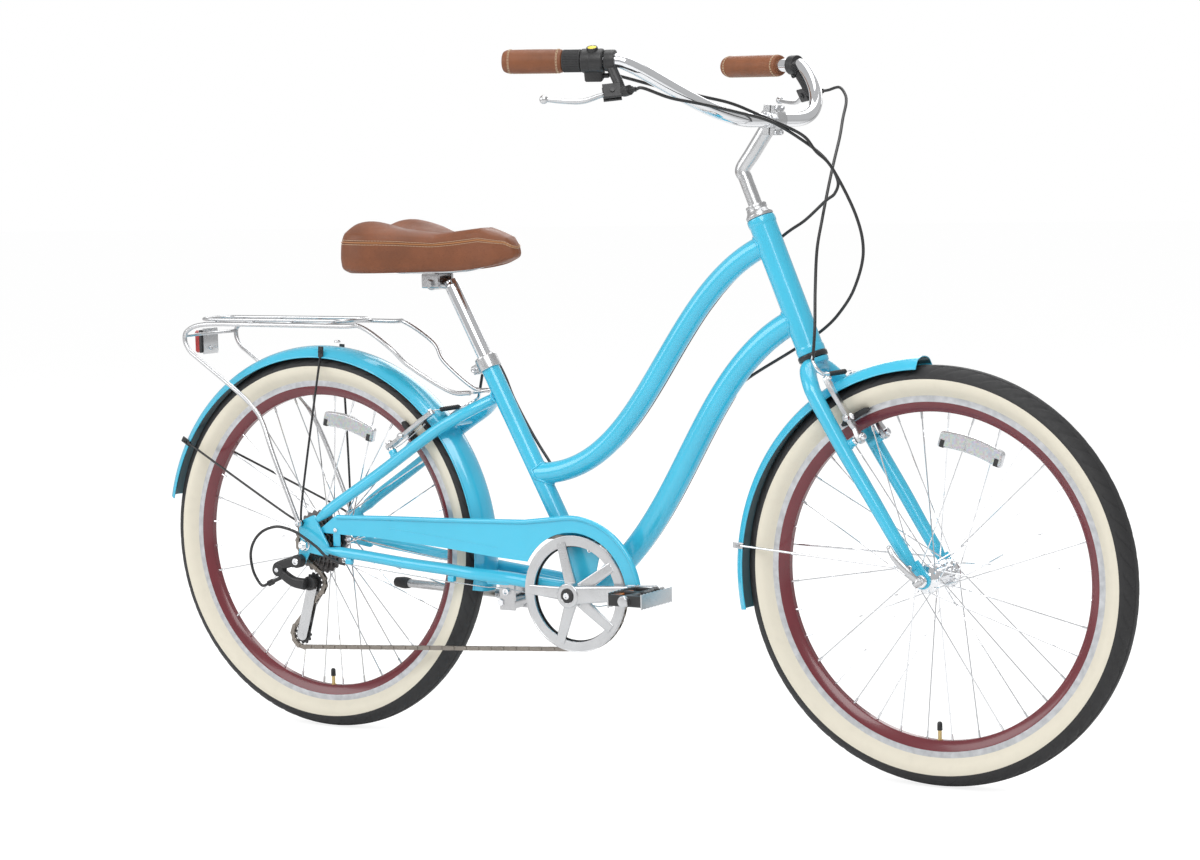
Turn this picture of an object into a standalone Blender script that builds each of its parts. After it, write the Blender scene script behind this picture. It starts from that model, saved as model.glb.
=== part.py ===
"""Step-through hybrid bicycle with seven-speed derailleur gears, V-brakes, fenders and a rear rack.

Lengths are metres. The bicycle stands on the ground (z = 0) and points along +X, and +Y is its left side.
Design points are measured from the ground below the rear axle. The model's own origin is the middle of its
footprint, so the root empty carries everything back by ORIGIN_X.
"""
import math

import bmesh
import bpy
import numpy as np
from mathutils import Matrix, Vector

# Space kept between neighbouring solids, and the larger one kept where pieces run past each other.
GAP = 0.0003
RUNNING_GAP = 0.0008

# Wheels
WHEELBASE = 1.180
TYRE_RADIUS = 0.330
TYRE_HALF_WIDTH = 0.0256
RIM_OUTER_RADIUS = 0.2855
RIM_TRACK_DEPTH = 0.0120
RIM_DEPTH = 0.0280
RIM_BED_DEPTH = 0.0135
RIM_TRACK_RADIUS = RIM_OUTER_RADIUS - RIM_TRACK_DEPTH
RIM_INNER_RADIUS = RIM_OUTER_RADIUS - RIM_DEPTH
RIM_BED_RADIUS = RIM_OUTER_RADIUS - RIM_BED_DEPTH
RIM_HALF_WIDTH = 0.0135
RIM_NOSE_HALF = 0.0050
WHEEL_STEPS = 30
SPOKE_COUNT = 36
SPOKE_RADIUS = 0.0010
SPOKE_CROSSINGS = 3
SPOKE_SIDES = 3
HUB_SIDES = 10
SPOKE_SEAT = 0.0045
SPOKE_STAGGER = 0.0006
SPOKE_END_Y = 0.0020
HUB_END_RADIUS = 0.0100
FLANGE_RADIUS = 0.0225
FLANGE_THICKNESS = 0.0030
HUB_SHELL_RADIUS = 0.0125
AXLE_RADIUS = 0.0050
FRONT_FLANGE_Y = 0.0375
REAR_RIGHT_FLANGE_Y = -0.0135
REAR_LEFT_FLANGE_Y = 0.0345
VALVE_RADIUS = 0.0032
VALVE_LENGTH = 0.030

# Frame tubes
HEAD_BOTTOM = Vector((WHEELBASE - 0.213, 0.0, 0.673))
HEAD_ANGLE = math.radians(67.8)
HEAD_TUBE_LENGTH = 0.233
HEAD_TUBE_RADIUS = 0.022
HEAD_TUBE_BORE = 0.0175
LOWER_CUP_HEIGHT = 0.008
LOWER_CUP_RADIUS = 0.0245
SEAT_TUBE_TOP = Vector((0.345, 0.0, 0.656))
BRACKET_CENTRE = Vector((0.547, 0.0, 0.2735))
SEAT_TUBE_RADIUS = 0.0159
SEAT_TUBE_BORE = 0.0133
TOP_TUBE_RADIUS = 0.018
TOP_TUBE_TOP_DROP = 0.043
TOP_TUBE_TOP_ANGLE = math.radians(20.4)
TOP_TUBE_TOP_REACH = 0.210
TOP_TUBE_FOOT = Vector((0.4461, 0.0, 0.4646))
TOP_TUBE_FOOT_ANGLE = math.radians(1.4)
TOP_TUBE_FOOT_REACH = 0.220
DOWN_TUBE_RADIUS = 0.020
DOWN_TUBE_TOP_DROP = 0.172
DOWN_TUBE_TOP_ANGLE = math.radians(24.5)
DOWN_TUBE_TOP_REACH = 0.208
DOWN_TUBE_FOOT_ANGLE = math.radians(32.6)
DOWN_TUBE_FOOT_REACH = 0.226
BRACKET_SHELL_RADIUS = 0.0205
BRACKET_SHELL_HALF = 0.0340
SEAT_STAY_RADIUS = 0.0100
CHAINSTAY_RADIUS = 0.0090
CHAINSTAY_FRONT_RADIUS = 0.0120
DROPOUT_Y = 0.0655
DROPOUT_THICKNESS = 0.0050

# Fork and steering
STEERER_RADIUS = 0.0140
STEERER_BORE = 0.0116
STEERER_LENGTH = 0.262
BLADE_Y = 0.0550
BLADE_TOP_RADIUS = 0.0135
BLADE_FOOT_RADIUS = 0.0100
FORK_TIP_Y = 0.0530
CAP_HEIGHT = 0.022
CAP_TOP_RADIUS = 0.0170
CAP_BASE_RADIUS = 0.0220
QUILL_RADIUS = 0.0111
QUILL_DEPTH = 0.120
STEM_ARM_RADIUS = 0.0125
BAR_CLAMP = Vector((WHEELBASE - 0.275, 0.0, 1.043))
BAR_RADIUS = 0.0111
BAR_CLAMP_RADIUS = 0.0127
CLAMP_RADIUS = 0.0185
CLAMP_HALF_WIDTH = 0.0150
STEM_BEND = Vector((WHEELBASE - 0.332, 0.0, 0.966))
GRIP_RADIUS = 0.0180
BAR_END = Vector((WHEELBASE - 0.548, 0.345, 1.140))
GRIP_RUN_START = Vector((WHEELBASE - 0.383, 0.2925, 1.1365))
BAR_SWEEP_START = 0.0678
BAR_SWEEP_REACH = 0.1396
BAR_BEND_REACH = 0.0283
BAR_BULGE_HALF = 0.0220

# Brakes
BRAKE_PIVOT_Y = 0.0430
BRAKE_ARM_LENGTH = 0.112
BRAKE_BOSS_REACH = 0.024
BRAKE_ARM_THICKNESS = 0.0080
PAD_CLEARANCE = 0.0020
PAD_LENGTH = 0.052
PAD_HEIGHT = 0.0085
PAD_THICKNESS = 0.0105

# Drive train
CHAIN_Y = -0.0500
CHAIN_PITCH = 0.0127
CHAIN_HALF_WIDTH = 0.0035
CHAIN_HALF_HEIGHT = 0.0041
RING_TEETH = 46
FREEWHEEL_TEETH = (14, 16, 18, 20, 22, 24, 28)
COG_PITCH = 0.0045
COG_THICKNESS = 0.0018
PULLEY_TEETH = 11
UPPER_PULLEY = Vector((0.0035, CHAIN_Y, 0.262))
LOWER_PULLEY = Vector((-0.024, CHAIN_Y, 0.1685))
CRANK_LENGTH = 0.170
CRANK_ANGLE = math.radians(5.0)
CRANK_BOSS_RADIUS = 0.0190
GUARD_RING_OUTER = 0.0973
GUARD_RING_INNER = 0.0800
GUARD_RING_Y = -0.0560
GUARD_RING_THICKNESS = 0.0040
RING_THICKNESS = 0.0022
SPINDLE_RADIUS = 0.0080
PEDAL_SPINDLE_RADIUS = 0.0045
PEDAL_LENGTH = 0.095
PEDAL_WIDTH = 0.066
PEDAL_HEIGHT = 0.025

# Small parts of the frame
ORIGIN_X = 0.579
TUBE_STEPS = 12
MAIN_TUBE_STEPS = 10
ROUND_SIDES = 16
SMALL_SIDES = 8
LOWER_CUP_STEP = 0.0010
EYELET = Vector((-0.006, 0.0, 0.3685))
EYELET_BORE = 0.0026
DROPOUT_RADIUS = 0.0140
SEAT_STAY_FOOT = Vector((0.0260, -0.0645, 0.3755))
SEAT_STAY_TOP = Vector((0.3620, 0.0, 0.5895))
BRAKE_BOSS_RADIUS = 0.0075
STAY_BRIDGE = Vector((0.287, 0.0, 0.5475))
STAY_BRIDGE_HALF = 0.042
STAY_BRIDGE_RADIUS = 0.0065
STAND_BRIDGE = Vector((0.385, 0.0, 0.2830))
STAND_BRIDGE_LENGTH = 0.044
STAND_BRIDGE_HEIGHT = 0.010
STAND_PIVOT = Vector((0.371, 0.0405, 0.247))
STAND_FOLDED = Vector((-0.9915, 0.1290, 0.0110)).normalized()
STAND_LOWERED = Vector((-0.2000, 0.4600, -0.8650)).normalized()
STAND_AXIS = STAND_FOLDED.cross(STAND_LOWERED).normalized()
STAND_BARREL_RADIUS = 0.0090
STAND_BARREL_HALF = 0.0105
STAND_LEG_RADIUS = 0.0075
STAND_LENGTH = 0.265
CABLE_STOPS = (Vector((0.091, -0.0630, 0.3052)), Vector((0.296, -0.0495, 0.2845)))
CABLE_STOP_HEIGHT = 0.0100
SEATPOST_RADIUS = 0.0127
CLAMP_LIP = 0.004
CLAMP_SKIRT = 0.020
CLAMP_OUTER_RADIUS = 0.0195

# Fenders and chain guard
FENDER_RADIUS = 0.3500
FENDER_SHOULDER_RADIUS = 0.3455
FENDER_SHOULDER_HALF = 0.0200
FENDER_EDGE_RADIUS = 0.3320
FENDER_HALF_WIDTH = 0.0310
FENDER_WALL = 0.0014
FENDER_DROP = 0.006
FENDER_STEP_ANGLE = 11.0
REAR_FENDER_START = -10.5
REAR_FENDER_END = 167.7
FRONT_FENDER_START = 93.1
FRONT_FENDER_END = 190.7
FENDER_WIRE_RADIUS = 0.0022
FORK_TIP_THICKNESS = 0.0060
GUARD_Y = -0.0600
GUARD_WALL = 0.0012
GUARD_OUTER_RADIUS = 0.1310
GUARD_CUT_RADIUS = 0.1025
GUARD_BRACKET_WALL = 0.0020
GUARD_BRACKET_REACH = 0.1200
GUARD_BRACKET_BORE = 0.0150

# Fork, stem and controls
CROWN_HEIGHT = 0.0100
CROWN_RADIUS = 0.0230
FRONT_BOSS = Vector((WHEELBASE - 0.1334, -0.0470, 0.5315))
FRONT_BOSS_UP = Vector((-0.520, 0.0, 0.854)).normalized()
FRONT_BOSS_OUT = Vector((0.854, 0.0, 0.520)).normalized()
REAR_BOSS = Vector((0.1878, -0.0465, 0.4825))
REAR_BOSS_UP = Vector((0.832, 0.0, 0.5547)).normalized()
REAR_BOSS_OUT = Vector((-0.5547, 0.0, 0.832)).normalized()
STEM_POST_RISE = 0.060
CLAMP_TILT = math.radians(4.0)
CLAMP_PLACE = Matrix.Translation(BAR_CLAMP) @ Matrix.Rotation(CLAMP_TILT, 4, "Y")
CLAMP_EAR_SPAN = 0.047
CLAMP_SPLIT = 0.0020
CLAMP_BOLT_HEIGHT = 0.0185
GRIP_RIGHT_LENGTH = 0.090
GRIP_LEFT_LENGTH = 0.130
GRIP_CAP = 0.0050
GRIP_EDGE = 0.0020
SHIFT_GRIP_LENGTH = 0.028
SHIFT_GRIP_RADIUS = 0.0175
SHIFTER_LENGTH = 0.035
SHIFTER_RADIUS = 0.0185
LEVER_CLAMP_START = 0.1555
LEVER_CLAMP_LENGTH = 0.016
LEVER_CLAMP_RADIUS = 0.0165
LEVER_PIVOT = Vector((WHEELBASE - 0.38, -0.3130, 1.0886))
LEVER_BARREL = Vector((WHEELBASE - 0.3434, -0.3040, 1.0920))
LEVER_TIP = Vector((WHEELBASE - 0.4633, -0.3740, 1.0800))
LEVER_ROOT = 0.0060

# Hubs and axles
TYRE_BELLY_DROP = 0.0180
TREAD_FLAT_HALF = 0.0130
VALVE_ANGLE = 0.0
REFLECTOR_LENGTH = 0.110
REFLECTOR_HEIGHT = 0.024
REFLECTOR_THICKNESS = 0.020
REFLECTOR_RADIUS = 0.215
FRONT_HUB_HALF = 0.0465
REAR_HUB_LEFT = 0.0575
REAR_HUB_RIGHT = 0.0172
REAR_AXLE_HALF = 0.0830
FREEWHEEL_OUTER = 0.0540
HANGER_RADIUS = 0.0085
HANGER_RELIEF = 0.0006
LEVER_SEAT_Y = 0.0640
AXLE_NUT = 0.0090
AXLE_NUT_RADIUS = 0.0095
AXLE_NUT_TAPER = 0.0020
CONE_RADIUS = 0.0080
LEVER_HINGE_Y = 0.0705
QR_AXIS = Vector((0.749, 0.0, 0.663)).normalized()
FRONT_REFLECTOR_ANGLE = 196.7
REAR_REFLECTOR_ANGLE = 194.8

# Drive train details
CHAIN_STEPS = 20
RING_INNER_RADIUS = 0.0780
RING_BOLT_RADIUS = 0.0830
SPIDER_ANGLE = 34.0
SPIDER_WIDTH = 0.0170
SPIDER_RELIEF = 0.0010
BOSS_INNER_Y = 0.0535
CRANK_INNER_Y = 0.0660
CRANK_OUTER_Y = 0.0790
CRANK_EYE_RADIUS = 0.0120
BOSS_RELIEF = 0.0016
LEFT_BOSS_INNER_Y = 0.0480
SPINDLE_END_Y = 0.0740
PEDAL_GAP = 0.0030
PEDAL_CAP = 0.0080
PEDAL_BARREL_RADIUS = 0.0095
FREEWHEEL_INNER = 0.0190
COG_CORE_RADIUS = 0.0200
HANGER_BOLT = Vector((-0.0100, 0.0, 0.3020))
KNUCKLE_WIDTH = 0.0160
CAGE_INNER_HALF = 0.0045
CAGE_WALL = 0.0012
PULLEY_PIN_RADIUS = 0.0030
PULLEY_THICKNESS = 0.0030
BARREL_ADJUSTER = Vector((-0.0740, -0.0830, 0.2590))
BARREL_RADIUS = 0.0044
DERAILLEUR_ARM_RADIUS = 0.0080
DERAILLEUR_HEEL = Vector((-0.0560, 0.0, 0.2890))
PULLEY_TOOTH_DEPTH = 0.0035

# Saddle
SEATPOST_TOP = Vector((0.2755, 0.0, 0.7877))
SEATPOST_INSERTION = 0.090
RAIL_CLAMP = Vector((0.2500, 0.0, 0.7960))
CLAMP_HEAD_DROP = 0.0120
CLAMP_HEAD_HALF = 0.0200
RAIL_RADIUS = 0.0035
RAIL_POINTS = [Vector((0.150, -0.040, 0.820)), Vector((0.185, -0.030, 0.806)),
               Vector((0.215, -0.0205, 0.8045)),
               Vector((0.290, -0.0205, 0.8050)), Vector((0.332, -0.0150, 0.8120)),
               Vector((0.368, -0.0090, 0.8240))]
SADDLE_PLAN = [(0.1020, 0.0), (0.1040, 0.050), (0.1180, 0.095), (0.1480, 0.112), (0.1900, 0.106),
               (0.2350, 0.078),
               (0.2750, 0.050), (0.3300, 0.033), (0.3850, 0.025), (0.4120, 0.014), (0.4170, 0.0)]
SADDLE_BACK = 0.1020
SADDLE_NOSE = 0.4170
SADDLE_MIDDLE = 0.2300
SADDLE_INSET = 0.16
SADDLE_BASE_STEPS = 11
SADDLE_BASE_THICKNESS = 0.0030
SADDLE_BASE_Z = 0.8310
SADDLE_RING_STEPS = 14
SADDLE_LOW_EDGE = 0.8050
SADDLE_NOSE_LIFT = 0.0180
SADDLE_WING_X = 0.160
SADDLE_WING_RISE = 0.0140
SADDLE_LINE_SHARES = [0.0, 0.10, 0.30, 0.55, 0.80, 0.95, 1.0]
SADDLE_LINE_HEIGHTS = [0.874, 0.879, 0.876, 0.869, 0.878, 0.866, 0.850]
SADDLE_RINGS = [(0.10, 0.0, 0.0), (0.02, 0.10, 0.0), (0.0, 0.45, 0.0), (0.01, 0.70, 0.0), (0.07, 0.90, 0.0),
                (0.20, 0.98, 0.0), (0.45, 1.0, 0.0), (0.80, 1.0, 0.0)]

# Rack
RACK_Y = 0.0720
RACK_FOOT_Y = 0.0780
RACK_ROD_RADIUS = 0.0040
RACK_CROSS_RADIUS = 0.0030
RACK_SIDE = [(0.094, 0.713), (-0.100, 0.714), (-0.205, 0.713), (-0.243, 0.702), (-0.250, 0.685),
             (-0.240, 0.666), (-0.2175, 0.650), (-0.139, 0.598), (-0.108, 0.574), (-0.083, 0.545),
             (-0.055, 0.484), (-0.0075, 0.3735)]
RACK_FRONT = [(0.135, -0.065, 0.711), (0.193, -0.065, 0.6765), (0.223, -0.052, 0.645),
              (0.293, -0.036, 0.603), (0.330, -0.028, 0.5995)]
RACK_EYE = Vector((-0.0060, 0.0, 0.3685))
RACK_DECK_Z = 0.7145
RACK_CROSS_X = (-0.205, -0.120, -0.035, 0.055)
RACK_LOOP_Z = 0.7200
RACK_LOOP_Y = 0.0400
RACK_LOOP_BACK = -0.2470
RACK_LOOP_FRONT = 0.0850
RACK_BACK_X = -0.2480
RACK_BACK_Z = 0.6930
RACK_PLATE = Vector((0.3320, 0.0, 0.6000))

# Cables
HOUSING_RADIUS = 0.0025
WIRE_RADIUS = 0.0009
BOOT_RADIUS = 0.0042
TUBE_TRACE_STEPS = 64
CABLE_UNDER = 0.50
CABLE_LEFT = 0.87
SHIFTER_GUIDE_DROP = 0.0240
SHIFTER_GUIDE_REACH = 0.0220
FRONT_CABLE_POINTS = [Vector((WHEELBASE - 0.308, 0.294, 1.097)), Vector((WHEELBASE - 0.29, 0.280, 1.085)),
                      Vector((WHEELBASE - 0.279, 0.262, 1.070)),
                      Vector((WHEELBASE - 0.269, 0.230, 1.045)), Vector((WHEELBASE - 0.255, 0.190, 1.014)),
                      Vector((WHEELBASE - 0.237, 0.130, 0.969)),
                      Vector((WHEELBASE - 0.224, 0.085, 0.930)), Vector((WHEELBASE - 0.212, 0.040, 0.883)),
                      Vector((WHEELBASE - 0.201, 0.000, 0.837)),
                      Vector((WHEELBASE - 0.187, -0.035, 0.776)), Vector((WHEELBASE - 0.18, -0.052, 0.719))]
REAR_CABLE_FRONT = [Vector((WHEELBASE - 0.3085, -0.262, 1.078)), Vector((WHEELBASE - 0.2837, -0.215, 1.0685)),
                    Vector((WHEELBASE - 0.2617, -0.145, 1.0556)),
                    Vector((WHEELBASE - 0.242, -0.070, 1.040)), Vector((WHEELBASE - 0.218, -0.012, 1.0105)),
                    Vector((WHEELBASE - 0.194, 0.020, 0.980)),
                    Vector((WHEELBASE - 0.183, 0.040, 0.946)), Vector((WHEELBASE - 0.191, 0.045, 0.925)),
                    Vector((WHEELBASE - 0.209, 0.047, 0.913)),
                    Vector((WHEELBASE - 0.244, 0.043, 0.883)), Vector((WHEELBASE - 0.279, 0.034, 0.859))]
REAR_CABLE_BACK = [Vector((0.446, 0.0245, 0.490)), Vector((0.416, 0.0225, 0.535)),
                   Vector((0.385, 0.0225, 0.587)),
                   Vector((0.366, 0.025, 0.625)), Vector((0.346, 0.029, 0.650)),
                   Vector((0.322, 0.033, 0.650))]
SHIFT_CABLE_FRONT = [Vector((WHEELBASE - 0.351, -0.220, 1.096)), Vector((WHEELBASE - 0.309, -0.170, 1.081)),
                     Vector((WHEELBASE - 0.28, -0.125, 1.069)),
                     Vector((WHEELBASE - 0.255, -0.082, 1.0515)), Vector((WHEELBASE - 0.2155, -0.0205, 1.0205)),
                     Vector((WHEELBASE - 0.199, -0.0015, 0.992)),
                     Vector((WHEELBASE - 0.1783, 0.013, 0.965)),
                     Vector((WHEELBASE - 0.1548, 0.045, 0.891)), Vector((WHEELBASE - 0.15, 0.060, 0.832)),
                     Vector((WHEELBASE - 0.166, 0.060, 0.776)),
                     Vector((WHEELBASE - 0.19, 0.055, 0.737)), Vector((WHEELBASE - 0.216, 0.045, 0.709)),
                     Vector((WHEELBASE - 0.26, 0.030, 0.678))]
SHIFT_CABLE_WIRE = [Vector((0.600, 0.000, 0.2590)), Vector((0.570, -0.004, 0.2475)),
                    Vector((0.540, -0.008, 0.2485)),
                    Vector((0.394, -0.035, 0.2710)), Vector((0.362, -0.044, 0.2730)),
                    Vector((0.3050, -0.0495, 0.2780)),
                    Vector((0.2900, -0.0495, 0.2783)), Vector((0.0970, -0.0630, 0.2990)),
                    Vector((0.0850, -0.0630, 0.2990))]
SHIFT_CABLE_LOOP = [Vector((0.0820, -0.0635, 0.2992)), Vector((0.0700, -0.0690, 0.3030)),
                    Vector((0.052, -0.0800, 0.315)),
                    Vector((0.035, -0.0840, 0.331)), Vector((0.000, -0.0870, 0.352)),
                    Vector((-0.024, -0.0880, 0.360)),
                    Vector((-0.049, -0.0880, 0.362)), Vector((-0.077, -0.0880, 0.353)),
                    Vector((-0.097, -0.0880, 0.335)),
                    Vector((-0.106, -0.0880, 0.311)), Vector((-0.103, -0.0870, 0.283)),
                    Vector((-0.095, -0.0840, 0.264))]


def start_scene():
    """Empties the scene and makes the collection of the parts, the one of the tools and the root empty."""
    for old in list(bpy.data.objects):
        bpy.data.objects.remove(old)
    parts = bpy.data.collections.new("step_through_bicycle")
    tools = bpy.data.collections.new("tools")
    for collection in (parts, tools):
        bpy.context.scene.collection.children.link(collection)
    root = bpy.data.objects.new("bicycle_root", None)
    root.location = (-ORIGIN_X, 0.0, 0.0)
    parts.objects.link(root)
    return parts, tools, root


def material(name, colour, roughness, metallic=0.0):
    """A Principled material of one plain finish."""
    made = bpy.data.materials.new(name)
    made.use_nodes = True
    shader = made.node_tree.nodes["Principled BSDF"]
    shader.inputs["Base Color"].default_value = (*colour, 1.0)
    shader.inputs["Roughness"].default_value = roughness
    shader.inputs["Metallic"].default_value = metallic
    return made


def work_object(mesh):
    """Puts a mesh into the tools collection, where it waits to be cut, joined or named."""
    made = bpy.data.objects.new("work", mesh)
    made.hide_render = True
    made.display_type = "WIRE"
    TOOLS.objects.link(made)
    return made


def remove(made):
    """Takes a used tool out of the file."""
    bpy.data.objects.remove(made)


def applied(made):
    """Applies an object's modifiers, or turns a curve into a mesh with its caps welded on."""
    depsgraph = bpy.context.evaluated_depsgraph_get()
    mesh = bpy.data.meshes.new_from_object(made.evaluated_get(depsgraph))
    if made.type == "CURVE":
        welded = bmesh.new()
        welded.from_mesh(mesh)
        bmesh.ops.remove_doubles(welded, verts=welded.verts, dist=1e-6)
        welded.to_mesh(mesh)
        welded.free()
    mesh.materials.clear()
    result = work_object(mesh)
    result.matrix_world = made.matrix_world.copy()
    remove(made)
    return result


def placed(made, matrix):
    """Moves an object's mesh by a matrix, and turns its faces out again after a mirroring one."""
    made.data.transform(matrix)
    if matrix.determinant() < 0.0:
        made.data.flip_normals()
    return made


def mirrored(made, normal=(0.0, 1.0, 0.0)):
    """A copy of a mesh object on the other side of the plane through the origin with this normal."""
    copy = work_object(made.data.copy())
    return placed(copy, Matrix.Scale(-1.0, 4, Vector(normal)))


def frame_at(origin, z_axis, x_hint=(0.0, 1.0, 0.0)):
    """A placing matrix with local Z along z_axis and local X as near as it can be to x_hint."""
    z = Vector(z_axis).normalized()
    x = Vector(x_hint) - z * Vector(x_hint).dot(z)
    x.normalize()
    y = z.cross(x)
    rotation = Matrix((x, y, z)).transposed().to_4x4()
    return Matrix.Translation(Vector(origin)) @ rotation


def smooth_path(points, steps):
    """Points along a smooth curve that passes through each given point (Catmull-Rom)."""
    knots = [Vector(point) for point in points]
    knots = [2 * knots[0] - knots[1]] + knots + [2 * knots[-1] - knots[-2]]
    path = []
    for a, b, c, d in zip(knots, knots[1:], knots[2:], knots[3:]):
        for step in range(steps):
            t = step / steps
            path.append(0.5 * (2 * b + (c - a) * t + (2 * a - 5 * b + 4 * c - d) * t ** 2
                               + (3 * b - a - 3 * c + d) * t ** 3))
    path.append(knots[-2].copy())
    return path


def bezier(start, handle_a, handle_b, end, steps):
    """Points of a cubic curve from start to end."""
    path = []
    for step in range(steps + 1):
        t = step / steps
        s = 1.0 - t
        path.append(start * s ** 3 + handle_a * (3 * s * s * t) + handle_b * (3 * s * t * t) + end * t ** 3)
    return path


def tube(points, radius, resolution=2, cyclic=False, radii=None):
    """A round rod along points, as a closed mesh with 2 * (resolution + 2) sides."""
    curve = bpy.data.curves.new("tube", "CURVE")
    curve.dimensions = "3D"
    curve.bevel_depth = radius
    curve.bevel_resolution = resolution
    curve.use_fill_caps = not cyclic
    spline = curve.splines.new("POLY")
    spline.points.add(len(points) - 1)
    for index, point in enumerate(points):
        spline.points[index].co = (*point, 1.0)
        spline.points[index].radius = 1.0 if radii is None else radii[index] / radius
    spline.use_cyclic_u = cyclic
    made = bpy.data.objects.new("tube", curve)
    TOOLS.objects.link(made)
    return applied(made)


def turned(profile, matrix, steps, closed=False):
    """A profile of (radius, height) points, top to bottom on its outer side, turned about local Z."""
    mesh = bpy.data.meshes.new("turned")
    count = len(profile)
    edges = [(index, index + 1) for index in range(count - 1)]
    if closed:
        edges.append((count - 1, 0))
    mesh.from_pydata([(radius, 0.0, height) for radius, height in profile], edges, [])
    made = work_object(mesh)
    screw = made.modifiers.new("turn", "SCREW")
    screw.steps = steps
    screw.render_steps = steps
    screw.use_merge_vertices = True
    screw.merge_threshold = 1e-5
    return placed(applied(made), matrix)


def ring(outer, inner, half_width, matrix, steps):
    """A flat ring or a pipe with a square section, turned about local Z."""
    profile = [(outer, half_width), (outer, -half_width), (inner, -half_width), (inner, half_width)]
    return turned(profile, matrix, steps, closed=True)


def rod(start, end, radius, sides=SMALL_SIDES, end_radius=None):
    """A straight cylinder or cone between two points."""
    start, end = Vector(start), Vector(end)
    made = bmesh.new()
    bmesh.ops.create_cone(made, cap_ends=True, segments=sides, radius1=radius,
                          radius2=radius if end_radius is None else end_radius, depth=(end - start).length)
    mesh = bpy.data.meshes.new("rod")
    made.to_mesh(mesh)
    made.free()
    hint = (0.0, 1.0, 0.0) if abs((end - start).normalized().y) < 0.9 else (1.0, 0.0, 0.0)
    return placed(work_object(mesh), frame_at((start + end) / 2, end - start, hint))


def bore_tool(start, end, radius, sides=ROUND_SIDES):
    """A cutter whose flats, not its corners, lie at the radius, so that it clears a round piece."""
    return rod(start, end, radius / math.cos(math.pi / sides), sides=sides)


def pipe(start, end, radius, bore, sides=ROUND_SIDES):
    """A straight tube with an open bore."""
    start, end = Vector(start), Vector(end)
    hint = (0.0, 1.0, 0.0) if abs((end - start).normalized().y) < 0.9 else (1.0, 0.0, 0.0)
    return ring(radius, bore, (end - start).length / 2, frame_at((start + end) / 2, end - start, hint),
                sides)


def block(size, matrix, bevel=0.0, segments=1):
    """A box with its centre at the matrix's origin, with bevelled edges where a bevel is given."""
    made = bmesh.new()
    bmesh.ops.create_cube(made, size=1.0)
    bmesh.ops.scale(made, vec=size, verts=made.verts)
    mesh = bpy.data.meshes.new("block")
    made.to_mesh(mesh)
    made.free()
    result = work_object(mesh)
    if bevel:
        edge = result.modifiers.new("edge", "BEVEL")
        edge.width = bevel
        edge.segments = segments
        result = applied(result)
    return placed(result, matrix)


def plate(outlines, thickness, matrix):
    """Flat outlines in local XY, the inner ones holes, made solid to both sides of the plane."""
    curve = bpy.data.curves.new("plate", "CURVE")
    curve.dimensions = "2D"
    curve.fill_mode = "BOTH"
    curve.extrude = thickness / 2
    for outline in outlines:
        spline = curve.splines.new("POLY")
        spline.points.add(len(outline) - 1)
        for index, (x, y) in enumerate(outline):
            spline.points[index].co = (x, y, 0.0, 1.0)
        spline.use_cyclic_u = True
    made = bpy.data.objects.new("plate", curve)
    TOOLS.objects.link(made)
    return placed(applied(made), matrix)


def arc(centre, radius, start, end, steps):
    """Points of a circular arc between two angles in degrees."""
    angles = np.radians(np.linspace(start, end, steps + 1))
    return [(centre[0] + radius * math.cos(a), centre[1] + radius * math.sin(a)) for a in angles]


def combined(base, others, operation):
    """One exact Boolean after another, with each tool removed once it is used."""
    for other in others:
        step = base.modifiers.new("step", "BOOLEAN")
        step.operation = operation
        step.object = other
        base = applied(base)
        remove(other)
    return base


def joined(*pieces):
    """One solid made of overlapping pieces."""
    return combined(pieces[0], pieces[1:], "UNION")


def cut(base, *tools):
    """A solid with the shapes of the tools taken away."""
    return combined(base, tools, "DIFFERENCE")


def gathered(pieces):
    """Separate pieces in one mesh, to be used together as one tool."""
    made = bmesh.new()
    for piece in pieces:
        made.from_mesh(piece.data)
        remove(piece)
    mesh = bpy.data.meshes.new("gathered")
    made.to_mesh(mesh)
    made.free()
    return work_object(mesh)


def part(name, made, finish, pivot=(0.0, 0.0, 0.0), sharp=40.0):
    """Names a finished solid, gives it its material and puts its origin on its pivot."""
    pivot = Vector(pivot)
    made.data.transform(Matrix.Translation(-pivot))
    made.data.shade_smooth()
    made.data.set_sharp_from_angle(angle=math.radians(sharp))
    made.data.materials.append(finish)
    result = bpy.data.objects.new(name, made.data)
    result.data.name = name
    result.location = pivot
    result.parent = ROOT
    PARTS.objects.link(result)
    remove(made)
    return result


def side(x, z, y=0.0):
    """A point given in the bicycle's side view."""
    return Vector((x, y, z))


def lying_in_side_view(y=0.0):
    """A matrix that stands local XY up in the bicycle's side view at this y, with local Z to the right."""
    return Matrix.Translation((0.0, y, 0.0)) @ Matrix.Rotation(math.radians(90.0), 4, "X")


def across(point):
    """A matrix that lays local Z along the bicycle's left (+Y) at a point."""
    return frame_at(point, (0.0, 1.0, 0.0), (1.0, 0.0, 0.0))


HEAD_UP = Vector((-math.cos(HEAD_ANGLE), 0.0, math.sin(HEAD_ANGLE)))
HEAD_TOP = HEAD_BOTTOM + HEAD_UP * HEAD_TUBE_LENGTH
SEAT_UP = (SEAT_TUBE_TOP - BRACKET_CENTRE).normalized()
FRONT_AXLE = Vector((WHEELBASE, 0.0, TYRE_RADIUS))
REAR_AXLE = Vector((0.0, 0.0, TYRE_RADIUS))


def head_cutter(radius):
    """A rod along the steering axis, as wide as the head tube and the clearance asked for."""
    return bore_tool(HEAD_BOTTOM - HEAD_UP * 0.05, HEAD_TOP + HEAD_UP * 0.05, radius)


def seat_cutter(radius):
    """A rod along the seat tube, from the bottom bracket to past its top."""
    return bore_tool(BRACKET_CENTRE, SEAT_TUBE_TOP + SEAT_UP * 0.05, radius)


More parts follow.
